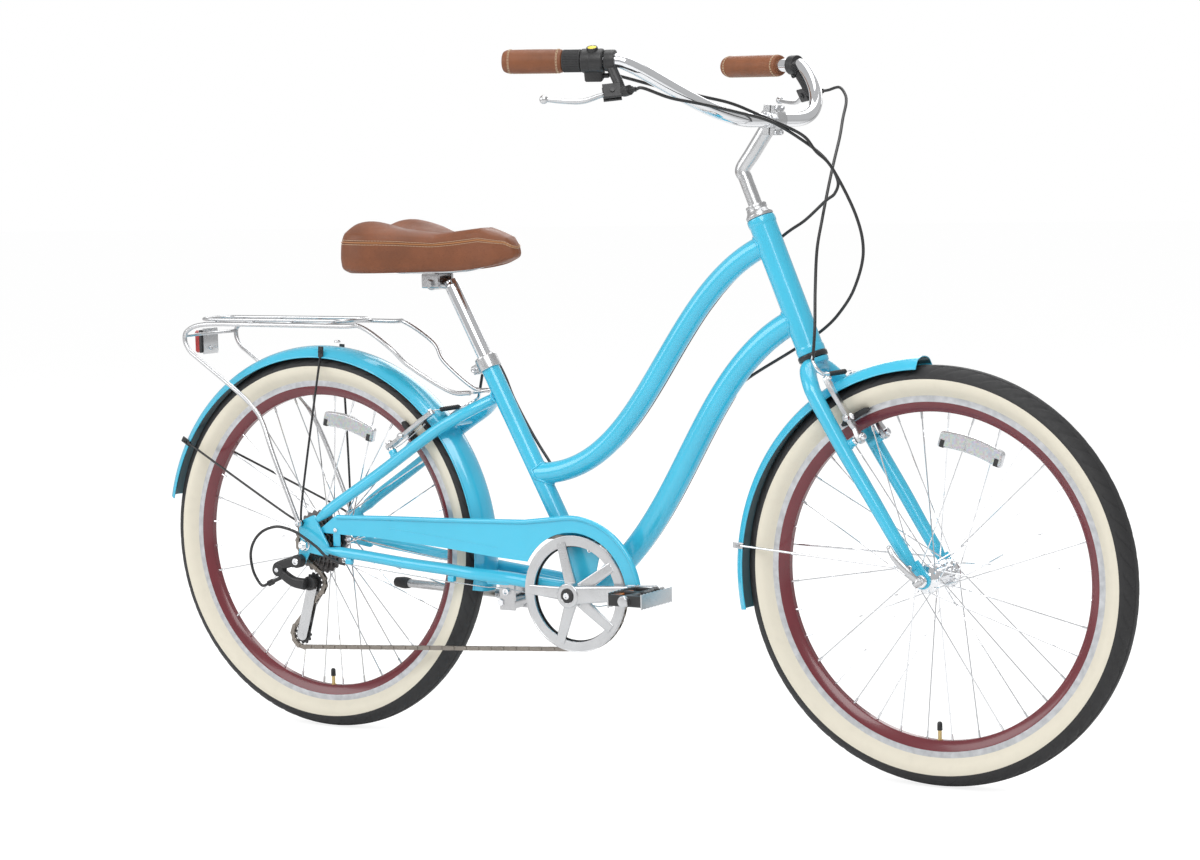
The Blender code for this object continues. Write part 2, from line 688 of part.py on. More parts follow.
def bracket_cutter(radius, half_width=0.08):
    """A rod across the bicycle on the crank axis."""
    reach = Vector((0.0, half_width, 0.0))
    return bore_tool(BRACKET_CENTRE - reach, BRACKET_CENTRE + reach, radius)


def make_head_tube():
    """The steering tube of the frame, with the lower headset cup pressed into it."""
    profile = [(HEAD_TUBE_RADIUS, HEAD_TUBE_LENGTH), (HEAD_TUBE_RADIUS, LOWER_CUP_STEP),
               (LOWER_CUP_RADIUS, 0.0), (LOWER_CUP_RADIUS, -LOWER_CUP_HEIGHT),
               (HEAD_TUBE_BORE, -LOWER_CUP_HEIGHT), (HEAD_TUBE_BORE, HEAD_TUBE_LENGTH)]
    made = turned(profile, frame_at(HEAD_BOTTOM, HEAD_UP), ROUND_SIDES, closed=True)
    part("head_tube", made, PAINT)


def make_main_tubes():
    """The two curved tubes of the step-through frame, the seat tube and the bottom bracket shell."""
    start = HEAD_TOP - HEAD_UP * TOP_TUBE_TOP_DROP
    leave = Vector((-math.cos(TOP_TUBE_TOP_ANGLE), 0.0, -math.sin(TOP_TUBE_TOP_ANGLE)))
    arrive = Vector((math.cos(TOP_TUBE_FOOT_ANGLE), 0.0, math.sin(TOP_TUBE_FOOT_ANGLE)))
    path = bezier(start, start + leave * TOP_TUBE_TOP_REACH,
                  TOP_TUBE_FOOT + arrive * TOP_TUBE_FOOT_REACH, TOP_TUBE_FOOT, MAIN_TUBE_STEPS)
    top = cut(tube(path, TOP_TUBE_RADIUS, resolution=3), head_cutter(HEAD_TUBE_RADIUS + GAP),
              seat_cutter(SEAT_TUBE_RADIUS + GAP))
    part("top_tube", top, PAINT)

    start = HEAD_TOP - HEAD_UP * DOWN_TUBE_TOP_DROP
    leave = Vector((-math.cos(DOWN_TUBE_TOP_ANGLE), 0.0, -math.sin(DOWN_TUBE_TOP_ANGLE)))
    arrive = Vector((math.cos(DOWN_TUBE_FOOT_ANGLE), 0.0, math.sin(DOWN_TUBE_FOOT_ANGLE)))
    path = bezier(start, start + leave * DOWN_TUBE_TOP_REACH,
                  BRACKET_CENTRE + arrive * DOWN_TUBE_FOOT_REACH, BRACKET_CENTRE, MAIN_TUBE_STEPS)
    down = cut(tube(path, DOWN_TUBE_RADIUS, resolution=3), head_cutter(HEAD_TUBE_RADIUS + GAP),
               seat_cutter(SEAT_TUBE_RADIUS + GAP), bracket_cutter(BRACKET_SHELL_RADIUS + GAP))
    part("down_tube", down, PAINT)

    seat = pipe(BRACKET_CENTRE, SEAT_TUBE_TOP, SEAT_TUBE_RADIUS, SEAT_TUBE_BORE)
    part("seat_tube", cut(seat, bracket_cutter(BRACKET_SHELL_RADIUS + GAP)), PAINT)

    shell = ring(BRACKET_SHELL_RADIUS, SPINDLE_RADIUS + RUNNING_GAP, BRACKET_SHELL_HALF,
                 across(BRACKET_CENTRE), ROUND_SIDES)
    part("bottom_bracket_shell", shell, PAINT)


def dropout_outline(grow):
    """The side view of a rear dropout, its edges moved out by grow."""
    axle = (REAR_AXLE.x, REAR_AXLE.z)
    corners = [(0.046, -0.0195), (0.050, 0.000), (0.030, 0.033), (0.022, 0.054),
               (-0.005, 0.0435), (-0.0125, 0.040), (-0.0135, 0.015)]
    outline = arc(axle, DROPOUT_RADIUS + grow, 170, 290, 4)
    for x, z in corners:
        reach = math.hypot(x, z)
        outline.append((axle[0] + x * (1 + grow / reach), axle[1] + z * (1 + grow / reach)))
    return outline


def dropout(y, grow=0.0):
    """A rear dropout plate, with a hole for the axle and one for the eyelet's bolt."""
    outlines = [dropout_outline(grow)]
    if grow == 0.0:
        outlines.append(arc((REAR_AXLE.x, REAR_AXLE.z), AXLE_RADIUS + 2 * GAP, 0, 315, 7))
        outlines.append(arc((EYELET.x, EYELET.z), EYELET_BORE, 0, 300, 5))
    return plate(outlines, DROPOUT_THICKNESS + 2 * grow, lying_in_side_view(y))


def make_seat_stays():
    """The pair of stays from the seat tube to the dropouts, with their bridge and brake bosses."""
    path = smooth_path([SEAT_STAY_FOOT, side(0.064, 0.403, -0.058), side(0.154, 0.460, -0.052),
                        side(0.262, 0.532, -0.0445), side(0.322, 0.566, -0.032), SEAT_STAY_TOP], 1)
    stay = tube(path, SEAT_STAY_RADIUS, resolution=2)
    boss = rod(REAR_BOSS, REAR_BOSS + REAR_BOSS_OUT * BRAKE_BOSS_REACH, BRAKE_BOSS_RADIUS)
    stay = joined(stay, boss)
    other = mirrored(stay)
    reach = Vector((0.0, STAY_BRIDGE_HALF, 0.0))
    bridge = rod(STAY_BRIDGE - reach, STAY_BRIDGE + reach, STAY_BRIDGE_RADIUS)
    made = joined(stay, other, bridge)
    made = cut(made, seat_cutter(SEAT_TUBE_RADIUS + GAP), dropout(-DROPOUT_Y, GAP), dropout(DROPOUT_Y, GAP))
    part("seat_stays", made, PAINT)


def make_chainstays():
    """The pair of stays from the bottom bracket to the dropouts, with dropouts, bridge and cable stops."""
    path = smooth_path([side(0.040, 0.3225, -DROPOUT_Y), side(0.113, 0.317, -0.062),
                        side(0.211, 0.3065, -0.056),
                        side(0.287, 0.300, -0.050), side(0.342, 0.294, -0.045), side(0.405, 0.289, -0.0355),
                        side(0.470, 0.282, -0.0320), side(0.536, 0.2745, -0.0195)], 1)
    span = len(path) - 1
    radii = [CHAINSTAY_RADIUS + (CHAINSTAY_FRONT_RADIUS - CHAINSTAY_RADIUS) * step / span
             for step in range(span + 1)]
    stay = tube(path, CHAINSTAY_RADIUS, resolution=2, radii=radii)
    stay = joined(stay, dropout(-DROPOUT_Y))
    other = mirrored(stay)
    hanger = arc((REAR_AXLE.x, REAR_AXLE.z), DROPOUT_RADIUS, 170, 200, 2)
    hanger += arc((HANGER_BOLT.x, HANGER_BOLT.z), HANGER_RADIUS, 170, 350, 8) + [(0.0085, 0.3180)]
    stay = joined(stay, plate([hanger], DROPOUT_THICKNESS - HANGER_RELIEF, lying_in_side_view(-DROPOUT_Y)))
    bridge = block((STAND_BRIDGE_LENGTH, 0.086, STAND_BRIDGE_HEIGHT), Matrix.Translation(STAND_BRIDGE))
    bracket = block((0.030, 0.040, 0.052),
                    Matrix.Translation(STAND_BRIDGE + Vector((-0.002, 0.008, -0.028))),
                    bevel=0.003)
    stops = []
    for foot in CABLE_STOPS:
        stops.append(block((0.012, 0.009, CABLE_STOP_HEIGHT), Matrix.Translation(foot)))
    made = joined(stay, other, bridge, bracket, *stops)
    made = cut(made, bracket_cutter(BRACKET_SHELL_RADIUS + GAP), stand_socket())
    part("chainstays", made, PAINT)


def stand_socket():
    """The hollow in the kickstand bracket that the hinge barrel of the leg turns in."""
    return rod(STAND_PIVOT - STAND_AXIS * (STAND_BARREL_HALF + RUNNING_GAP),
               STAND_PIVOT + STAND_AXIS * (STAND_BARREL_HALF + RUNNING_GAP),
               STAND_BARREL_RADIUS + RUNNING_GAP)


def make_kickstand():
    """The folding leg, with its hinge barrel, its bend and its foot."""
    barrel = rod(STAND_PIVOT - STAND_AXIS * STAND_BARREL_HALF, STAND_PIVOT + STAND_AXIS * STAND_BARREL_HALF,
                 STAND_BARREL_RADIUS)
    elbow = STAND_PIVOT + STAND_FOLDED * 0.050
    toe = STAND_PIVOT + STAND_FOLDED * STAND_LENGTH
    leg = tube([STAND_PIVOT, elbow, toe], STAND_LEG_RADIUS, resolution=3)
    foot = rod(toe - STAND_FOLDED * 0.002, toe + STAND_FOLDED * 0.020, 0.0105, end_radius=0.0085)
    part("kickstand_leg", joined(barrel, leg, foot), STEEL, pivot=STAND_PIVOT)


def make_seat_clamp():
    """The collar round the top of the seat tube, with its bolt behind."""
    top = SEAT_TUBE_TOP + SEAT_UP * CLAMP_LIP
    low = SEAT_TUBE_TOP - SEAT_UP * CLAMP_SKIRT
    outer = rod(low, top, CLAMP_OUTER_RADIUS, sides=TUBE_STEPS)
    back = Vector((-SEAT_UP.z, 0.0, SEAT_UP.x))
    lug_place = frame_at(low + SEAT_UP * 0.012 + back * (CLAMP_OUTER_RADIUS + 0.004), SEAT_UP, back)
    lug = block((0.018, 0.017, 0.014), lug_place)
    made = joined(outer, lug)
    lower_bore = bore_tool(low - SEAT_UP * 0.01, SEAT_TUBE_TOP + SEAT_UP * GAP, SEAT_TUBE_RADIUS + GAP,
                           sides=TUBE_STEPS)
    upper_bore = bore_tool(low, top + SEAT_UP * 0.01, SEATPOST_RADIUS + GAP, sides=TUBE_STEPS)
    slot = block((0.030, 0.0015, 0.060), frame_at(low + SEAT_UP * 0.012 + back * 0.026, SEAT_UP, back))
    made = cut(made, lower_bore, upper_bore, slot)
    bolt_centre = low + SEAT_UP * 0.012 + back * (CLAMP_OUTER_RADIUS + 0.006)
    reach = Vector((0.0, 0.0125, 0.0))
    bolt = rod(bolt_centre - reach, bolt_centre + reach, 0.0035)
    part("seat_clamp", joined(made, bolt), ALLOY)


def fender(centre, start, end):
    """An arched mudguard about a wheel, from one angle to another, in degrees from the front."""
    profile = [(FENDER_EDGE_RADIUS, FENDER_HALF_WIDTH), (FENDER_SHOULDER_RADIUS, FENDER_SHOULDER_HALF),
               (FENDER_RADIUS, 0.0), (FENDER_SHOULDER_RADIUS, -FENDER_SHOULDER_HALF),
               (FENDER_EDGE_RADIUS, -FENDER_HALF_WIDTH)]
    mesh = bpy.data.meshes.new("fender")
    mesh.from_pydata([(radius, 0.0, y) for radius, y in profile], [(k, k + 1) for k in range(4)], [])
    made = work_object(mesh)
    steps = round((end - start) / FENDER_STEP_ANGLE)
    screw = made.modifiers.new("arch", "SCREW")
    screw.angle = math.radians(end - start)
    screw.steps = steps
    screw.render_steps = steps
    wall = made.modifiers.new("wall", "SOLIDIFY")
    wall.thickness = FENDER_WALL
    wall.offset = 0.0
    made = applied(made)
    turn = lying_in_side_view() @ Matrix.Rotation(math.radians(start), 4, "Z")
    return placed(made, Matrix.Translation((centre.x, 0.0, centre.z)) @ turn)


def wire(points):
    """A fender stay of thin wire."""
    return tube(points, FENDER_WIRE_RADIUS, resolution=0)


def make_fenders():
    """Both mudguards, each joined to its wire stays."""
    drop = Vector((0.0, 0.0, -FENDER_DROP))
    rear = fender(REAR_AXLE + drop, REAR_FENDER_START, REAR_FENDER_END)
    stay_y = -(DROPOUT_Y + DROPOUT_THICKNESS / 2 + GAP + FENDER_WIRE_RADIUS)
    wires = []
    for top in (side(0.0190, 0.663, -0.0300), side(-0.2886, 0.498, -0.0302)):
        low = EYELET + Vector((0.0, stay_y, 0.0))
        knee = low + (top - low) * 0.12
        knee.y = stay_y
        right = wire([low, knee, top])
        wires += [right, mirrored(right)]
    part("rear_fender", joined(rear, *wires), PAINT)

    front = fender(FRONT_AXLE + drop, FRONT_FENDER_START, FRONT_FENDER_END)
    low = side(WHEELBASE - 0.017, 0.350, -(FORK_TIP_Y + BLADE_FOOT_RADIUS + GAP + FENDER_WIRE_RADIUS))
    top = side(WHEELBASE - 0.3344, 0.3658, -0.0302)
    knee = low + (top - low) * 0.12
    knee.y = low.y
    right = wire([low, knee, top])
    part("front_fender", joined(front, right, mirrored(right)), PAINT)


def guard_outline():
    """The side view of the chain guard: a tapering plate whose front curls round the chainring."""
    centre = (BRACKET_CENTRE.x, BRACKET_CENTRE.z)
    outline = [(0.034, 0.352), (0.027, 0.358), (0.0605, 0.382), (0.075, 0.3845), (0.300, 0.3880),
               (0.465, 0.3925)]
    outline += arc(centre, GUARD_OUTER_RADIUS, 97, 10, 8)
    outline += arc(centre, GUARD_CUT_RADIUS, 12, 151, 10)
    outline += [(0.390, 0.3280), (0.301, 0.3370), (0.155, 0.3480)]
    return outline


def make_chain_guard():
    """The painted plate outside the chain, with its rolled upper edge and its brackets to the frame."""
    face = plate([guard_outline()], GUARD_WALL, lying_in_side_view(GUARD_Y))
    centre = (BRACKET_CENTRE.x, BRACKET_CENTRE.z)
    edge = [(0.062, 0.3800), (0.180, 0.3835), (0.300, 0.3855), (0.455, 0.3900)]
    edge += arc(centre, GUARD_OUTER_RADIUS - 0.004, 96, 12, 7)
    rim = tube([side(x, z, GUARD_Y - 0.0006) for x, z in edge], 0.0040, resolution=1)
    lug = plate([[(0.055, 0.3286), (0.069, 0.3286), (0.069, 0.362), (0.055, 0.362)]], 0.002,
                lying_in_side_view(GUARD_Y + 0.0014))
    bracket_y = -(BRACKET_SHELL_HALF + GAP + GUARD_BRACKET_WALL / 2)
    wedge = arc(centre, BRACKET_SHELL_RADIUS, 180, 360, 5) + arc(centre, GUARD_BRACKET_REACH, 66, 110, 3)
    bracket = plate([wedge, circle(GUARD_BRACKET_BORE, SMALL_SIDES, centre)], GUARD_BRACKET_WALL,
                    lying_in_side_view(bracket_y))
    arm_centre = BRACKET_CENTRE + side(0.0, GUARD_BRACKET_REACH - 0.005)
    arm_centre.y = (bracket_y + GUARD_Y) / 2
    arm = block((0.040, bracket_y - GUARD_Y, 0.002), Matrix.Translation(arm_centre))
    made = joined(face, rim, lug, bracket, arm)
    part("chain_guard", made, PAINT)


def make_fork():
    """The unicrown fork: hollow steerer, two blades that curve in under it, tips and brake bosses."""
    crown = HEAD_BOTTOM - HEAD_UP * (LOWER_CUP_HEIGHT + GAP + CROWN_HEIGHT)
    path = smooth_path([side(crown.x, crown.z, 0.0), side(WHEELBASE - 0.2055, 0.6505, -0.028),
                        side(WHEELBASE - 0.19, 0.628, -0.0500),
                        side(WHEELBASE - 0.176, 0.604, -BLADE_Y), side(WHEELBASE - 0.132, 0.529, -BLADE_Y),
                        side(WHEELBASE - 0.082, 0.451, -BLADE_Y),
                        side(WHEELBASE - 0.045, 0.392, -0.0540), side(WHEELBASE - 0.014, 0.346, -FORK_TIP_Y)], 1)
    span = len(path) - 1
    radii = [BLADE_TOP_RADIUS + (BLADE_FOOT_RADIUS - BLADE_TOP_RADIUS) * (step / span) ** 1.5
             for step in range(span + 1)]
    blade = tube(path, BLADE_TOP_RADIUS, resolution=2, radii=radii)
    boss = rod(FRONT_BOSS, FRONT_BOSS + FRONT_BOSS_OUT * BRAKE_BOSS_REACH, BRAKE_BOSS_RADIUS)
    axle = (FRONT_AXLE.x, FRONT_AXLE.z)
    outline = arc(axle, 0.0130, 200, 400, 5) + [(axle[0] - 0.0080, axle[1] + 0.0320), (axle[0] - 0.0270, axle[1] + 0.0220)]
    tip = plate([outline, arc(axle, AXLE_RADIUS + 2 * GAP, 0, 315, 7)], FORK_TIP_THICKNESS,
                lying_in_side_view(-FORK_TIP_Y))
    blade = joined(blade, boss, tip)
    other = mirrored(blade)
    profile = [(STEERER_BORE, STEERER_LENGTH), (STEERER_RADIUS, STEERER_LENGTH),
               (STEERER_RADIUS, CROWN_HEIGHT),
               (CROWN_RADIUS, CROWN_HEIGHT), (CROWN_RADIUS, 0.0), (STEERER_BORE, 0.0)]
    steerer = turned(profile, frame_at(crown, HEAD_UP), ROUND_SIDES, closed=True)
    bore = rod(crown - HEAD_UP * 0.03, crown + HEAD_UP * (CROWN_HEIGHT + GAP), STEERER_BORE - GAP,
               sides=ROUND_SIDES)
    made = joined(cut(joined(blade, other), bore), steerer)
    part("fork", made, PAINT, pivot=HEAD_BOTTOM)


def make_headset_cap():
    """The cone and locknut on the steerer above the head tube."""
    rise = GAP
    bore = (STEERER_RADIUS + GAP) / math.cos(math.pi / TUBE_STEPS)
    profile = [(CAP_TOP_RADIUS, CAP_HEIGHT), (CAP_TOP_RADIUS, CAP_HEIGHT * 0.62),
               (CAP_BASE_RADIUS, CAP_HEIGHT * 0.25), (CAP_BASE_RADIUS, rise),
               (bore, rise), (bore, CAP_HEIGHT)]
    part("headset_cap", turned(profile, frame_at(HEAD_TOP, HEAD_UP), TUBE_STEPS, closed=True), ALLOY,
         pivot=HEAD_TOP)


def make_stem():
    """The quill stem: post, bend, arm and the back half of the bar clamp; its face closes the clamp."""
    low = HEAD_TOP - HEAD_UP * QUILL_DEPTH
    post_top = HEAD_TOP + HEAD_UP * STEM_POST_RISE
    path = [low, HEAD_TOP, post_top] + smooth_path(
        [post_top + HEAD_UP * 0.010, STEM_BEND, STEM_BEND + (BAR_CLAMP - STEM_BEND) * 0.30], 4)
    path.append(BAR_CLAMP)
    radii = [QUILL_RADIUS, QUILL_RADIUS, QUILL_RADIUS]
    radii += list(np.linspace(QUILL_RADIUS, STEM_ARM_RADIUS, len(path) - 4)) + [STEM_ARM_RADIUS]
    post = tube(path, QUILL_RADIUS, resolution=2, radii=radii)
    reach = Vector((0.0, CLAMP_HALF_WIDTH, 0.0))
    clamp = rod(BAR_CLAMP - reach, BAR_CLAMP + reach, CLAMP_RADIUS, sides=TUBE_STEPS)
    ears = block((0.020, 2 * CLAMP_HALF_WIDTH, CLAMP_EAR_SPAN), CLAMP_PLACE,
                 bevel=0.003)
    made = joined(post, clamp, ears)
    bore = bore_tool(BAR_CLAMP - reach * 2, BAR_CLAMP + reach * 2, BAR_CLAMP_RADIUS + GAP, sides=TUBE_STEPS)
    front = block((0.060, 0.060, 0.080), CLAMP_PLACE @ Matrix.Translation((0.030 + CLAMP_SPLIT, 0.0, 0.0)))
    part("stem", cut(made, bore, front), ALLOY, pivot=HEAD_TOP)

    clamp = rod(BAR_CLAMP - reach, BAR_CLAMP + reach, CLAMP_RADIUS, sides=TUBE_STEPS)
    ears = block((0.020, 2 * CLAMP_HALF_WIDTH, CLAMP_EAR_SPAN), CLAMP_PLACE, bevel=0.003)
    bolts = []
    for height in (-1, 1):
        for across_y in (-1, 1):
            foot = CLAMP_PLACE @ Vector((CLAMP_SPLIT + 0.004, across_y * 0.0100,
                                         height * CLAMP_BOLT_HEIGHT))
            head = CLAMP_PLACE @ Vector((0.0125, across_y * 0.0100, height * CLAMP_BOLT_HEIGHT))
            bolts.append(rod(foot, head, 0.0032))
    face = joined(clamp, ears, *bolts)
    bore = bore_tool(BAR_CLAMP - reach * 2, BAR_CLAMP + reach * 2, BAR_CLAMP_RADIUS + GAP, sides=TUBE_STEPS)
    back = block((0.060, 0.060, 0.080),
                 CLAMP_PLACE @ Matrix.Translation((CLAMP_SPLIT + GAP - 0.030, 0.0, 0.0)))
    part("stem_faceplate", cut(face, bore, back), ALLOY, pivot=BAR_CLAMP)


def bar_path():
    """The right half of the handlebar's centre line, from the stem to the bar end, in two parts."""
    def right(point):
        return Vector((point.x, -point.y, point.z))
    start = Vector((BAR_CLAMP.x, BAR_SWEEP_START, BAR_CLAMP.z))
    along_grip = (BAR_END - GRIP_RUN_START).normalized()
    sweep = bezier(start, start + Vector((0.0, BAR_SWEEP_REACH, 0.0)),
                   GRIP_RUN_START - along_grip * BAR_BEND_REACH, GRIP_RUN_START, 7)
    return [right(point) for point in sweep] + [right(BAR_END)]


def make_handlebar():
    """The swept-back bar, one tube from end to end, thicker in the stem's clamp."""
    right = bar_path()
    left = [Vector((point.x, -point.y, point.z)) for point in reversed(right)]
    bar = tube(left + right, BAR_RADIUS, resolution=2)
    reach = Vector((0.0, BAR_BULGE_HALF, 0.0))
    bulge = rod(BAR_CLAMP - reach, BAR_CLAMP + reach, BAR_CLAMP_RADIUS, sides=ROUND_SIDES)
    part("handlebar", joined(bar, bulge), CHROME, pivot=BAR_CLAMP)


def on_grip(distance, sign):
    """A point of the bar's straight end, this far forward of the bar end; sign is 1 on the right side."""
    forward = (GRIP_RUN_START - BAR_END).normalized()
    point = BAR_END + forward * distance
    return Vector((point.x, -point.y * sign, point.z))


def sleeve(near, far, radius, sign, end_bevel=0.0015, sides=TUBE_STEPS, bore=None):
    """A turned sleeve on the bar's straight end, between two distances from the bar end."""
    bore = BAR_RADIUS + GAP if bore is None else bore
    start, end = on_grip(near, sign), on_grip(far, sign)
    length = (end - start).length
    profile = [(radius - end_bevel, length), (radius, length - end_bevel), (radius, end_bevel),
               (radius - end_bevel, 0.0), (bore, 0.0), (bore, length)]
    return turned(profile, frame_at(start, end - start, (0.0, 0.0, 1.0)), sides, closed=True)


def make_grips():
    """Two wrapped grips, closed over the bar ends; the right one is shorter, for the twist shifter."""
    for name, length, sign in (("grip_right", GRIP_RIGHT_LENGTH, 1.0),
                               ("grip_left", GRIP_LEFT_LENGTH, -1.0)):
        bore = (BAR_RADIUS + GAP) / math.cos(math.pi / TUBE_STEPS)
        profile = [(0.0, -GAP), (bore, -GAP), (bore, length), (GRIP_RADIUS - GRIP_EDGE, length),
                   (GRIP_RADIUS, length - GRIP_EDGE), (GRIP_RADIUS, GRIP_EDGE),
                   (GRIP_RADIUS - GRIP_EDGE, -GRIP_CAP),
                   (0.0, -GRIP_CAP)]
        end = on_grip(0.0, sign)
        place = frame_at(end, on_grip(length, sign) - end, (0.0, 0.0, 1.0))
        part(name, turned(profile, place, TUBE_STEPS), LEATHER, pivot=end)


def make_shifter():
    """The twist shifter: a ribbed sleeve that turns beside the grip, and the body that holds its cable."""
    low = GRIP_RIGHT_LENGTH + GAP
    made = sleeve(low, low + SHIFT_GRIP_LENGTH, SHIFT_GRIP_RADIUS, 1.0, bore=BAR_RADIUS + RUNNING_GAP)
    part("shift_grip", made, RUBBER, pivot=on_grip(low, 1.0))
    start = low + SHIFT_GRIP_LENGTH + RUNNING_GAP
    body = rod(on_grip(start, 1.0), on_grip(start + SHIFTER_LENGTH, 1.0), SHIFTER_RADIUS, sides=TUBE_STEPS)
    centre, under = shifter_centre()
    forward = on_forward(1.0)
    box = block((0.022, 0.024, SHIFTER_LENGTH * 0.8), frame_at(centre + under * 0.018, forward, under))
    guide = rod(centre + under * SHIFTER_GUIDE_DROP, centre + under * SHIFTER_GUIDE_DROP
                + forward * SHIFTER_GUIDE_REACH, 0.0038)
    window = rod(centre - under * 0.012, centre - under * (SHIFTER_RADIUS + 0.004), 0.0085)
    bore = bore_tool(on_grip(0.0, 1.0), on_grip(0.3, 1.0), BAR_RADIUS + GAP, sides=SMALL_SIDES)
    made = cut(joined(body, box, guide, window), bore)
    part("shifter_body", made, PLASTIC, pivot=centre)


def shifter_centre():
    """The middle of the shifter's body on the bar, and the direction down and inwards to its cable box."""
    start = GRIP_RIGHT_LENGTH + GAP + SHIFT_GRIP_LENGTH + RUNNING_GAP
    forward = on_forward(1.0)
    inboard = (Vector((0.0, 1.0, 0.0)) - forward * forward.y).normalized()
    down = inboard.cross(forward)
    if down.z > 0.0:
        down = -down
    return on_grip(start + SHIFTER_LENGTH / 2, 1.0), (down * 0.93 + inboard * 0.37).normalized()


def on_forward(sign):
    """The direction of the bar's straight end, towards the front."""
    return (on_grip(0.1, sign) - on_grip(0.0, sign)).normalized()


def make_brake_levers():
    """Each brake bracket clamps round the bar and carries a lever on a pin."""
    for name, sign in (("right", 1.0), ("left", -1.0)):
        clamp = rod(on_grip(LEVER_CLAMP_START, sign), on_grip(LEVER_CLAMP_START + LEVER_CLAMP_LENGTH, sign),
                    LEVER_CLAMP_RADIUS, sides=TUBE_STEPS)
        centre = on_grip(LEVER_CLAMP_START + LEVER_CLAMP_LENGTH / 2, sign)
        pivot, barrel, tip = (Vector((p.x, p.y * sign, p.z)) for p in (LEVER_PIVOT, LEVER_BARREL,
                                                                       LEVER_TIP))
        back, up, normal = lever_axes(centre, pivot, tip)
        neck = tube([centre - up * 0.014, pivot + up * 0.020 - back * 0.010, pivot - back * 0.016,
                     pivot + (barrel - pivot) * 0.75], 0.0078, resolution=1)
        pad = block((0.030, 0.024, 0.018), frame_at(pivot, normal, back))
        nozzle = rod(pivot + (barrel - pivot) * 0.45, barrel, 0.0042)
        bore = bore_tool(on_grip(0.0, sign), on_grip(0.3, sign), BAR_RADIUS + GAP, sides=SMALL_SIDES)
        slot = block((0.034, 0.040, LEVER_ROOT + 2 * RUNNING_GAP),
                     frame_at(pivot + back * 0.006, normal, back))
        part("brake_bracket_" + name, cut(joined(clamp, neck, pad, nozzle), bore, slot), PLASTIC,
             pivot=centre)
        part("brake_lever_" + name, lever(pivot, tip, up, normal), ALLOY, pivot=pivot)


def lever_axes(centre, pivot, tip):
    """A lever's directions: back along it, up towards the bar, and the pin it turns on."""
    back = (tip - pivot).normalized()
    normal = back.cross(centre - pivot).normalized()
    return back, normal.cross(back), normal


def lever(pivot, tip, up, normal):
    """A brake lever: flat root on its pin, a curved blade and a ball at the end."""
    root = rod(pivot - normal * LEVER_ROOT / 2, pivot + normal * LEVER_ROOT / 2, 0.0085)
    back = tip - pivot
    path = smooth_path([pivot, pivot + back * 0.18 - up * 0.004, pivot + back * 0.45 - up * 0.010,
                        pivot + back * 0.75 - up * 0.006, tip], 1)
    radii = [0.0034 + 0.0012 * math.sin(math.pi * step / (len(path) - 1)) for step in range(len(path))]
    blade = tube(path, 0.0034, resolution=1, radii=radii)
    ball = bmesh.new()
    bmesh.ops.create_uvsphere(ball, u_segments=8, v_segments=6, radius=0.0070)
    mesh = bpy.data.meshes.new("ball")
    ball.to_mesh(mesh)
    ball.free()
    return joined(root, blade, placed(work_object(mesh), Matrix.Translation(tip)))


def brake_frame(boss, out, up):
    """The place of a brake's right arm: local X inwards to the rim, Y up the arm, Z along its pivot."""
    origin = boss + out * (BRAKE_BOSS_REACH + RUNNING_GAP + BRAKE_ARM_THICKNESS / 2)
    origin.y = -BRAKE_PIVOT_Y
    return Matrix.Translation(origin) @ Matrix(
        ((0.0, up.x, out.x), (1.0, up.y, out.y), (0.0, up.z, out.z))).to_4x4()


def brake_arm(place, rim_height):
    """The right arm of a V-brake, with its pivot bolt, its pad on a post and its cable seat."""
    outline = arc((0.0, 0.0), 0.0090, 175, 365, 5)
    outline += [(0.0085, 0.012), (0.0060, 0.022), (0.0045, 0.055), (0.0020, 0.085),
                (0.0035, BRAKE_ARM_LENGTH),
                (-0.0075, BRAKE_ARM_LENGTH), (-0.0100, 0.085), (-0.0075, 0.055), (-0.0075, 0.022)]
    arm = plate([outline], BRAKE_ARM_THICKNESS, Matrix.Identity(4))
    bolt = rod((0.0, 0.0, 0.0), (0.0, 0.0, BRAKE_ARM_THICKNESS / 2 + 0.0045), 0.0060)
    inner = BRAKE_PIVOT_Y - RIM_HALF_WIDTH - PAD_CLEARANCE
    post = rod((-0.0150, rim_height, 0.0), (inner - 0.004, rim_height, 0.0), 0.0034, sides=6)
    nut = rod((-0.0170, rim_height, 0.0), (-0.0070, rim_height, 0.0), 0.0062, sides=6)
    washer = rod((0.0030, rim_height, 0.0), (inner - PAD_THICKNESS + 0.001, rim_height, 0.0), 0.0075,
                 sides=6)
    pad = block((PAD_THICKNESS, PAD_HEIGHT, PAD_LENGTH),
                Matrix.Translation((inner - PAD_THICKNESS / 2, rim_height, 0.0)))
    made = joined(arm, bolt, post, nut, washer, pad)
    return placed(made, place)


def rim_distance(axle, pivot, up):
    """How far up an arm the middle of the rim's brake track lies."""
    reach = Vector((pivot.x - axle.x, 0.0, pivot.z - axle.z))
    track = (RIM_OUTER_RADIUS + RIM_TRACK_RADIUS) / 2
    along = reach.dot(up)
    return math.sqrt(along ** 2 - reach.length_squared + track ** 2) - along


def make_brakes():
    """The front and rear V-brakes, two arms each."""
    for name, axle, boss, out, up in (("front", FRONT_AXLE, FRONT_BOSS, FRONT_BOSS_OUT, FRONT_BOSS_UP),
                                      ("rear", REAR_AXLE, REAR_BOSS, REAR_BOSS_OUT, REAR_BOSS_UP)):
        place = brake_frame(boss, out, up)
        right = brake_arm(place, rim_distance(axle, place.translation, up))
        left = mirrored(right)
        pivot = place.translation
        part(name + "_brake_arm_right", right, ALLOY, pivot=pivot)
        part(name + "_brake_arm_left", left, ALLOY, pivot=Vector((pivot.x, -pivot.y, pivot.z)))


def faceted_wheel(centre):
    """The wheel's own place, turned by half a facet so that a flat of its tread lies at the bottom."""
    return across(centre) @ Matrix.Rotation(math.pi / WHEEL_STEPS, 4, "Z")


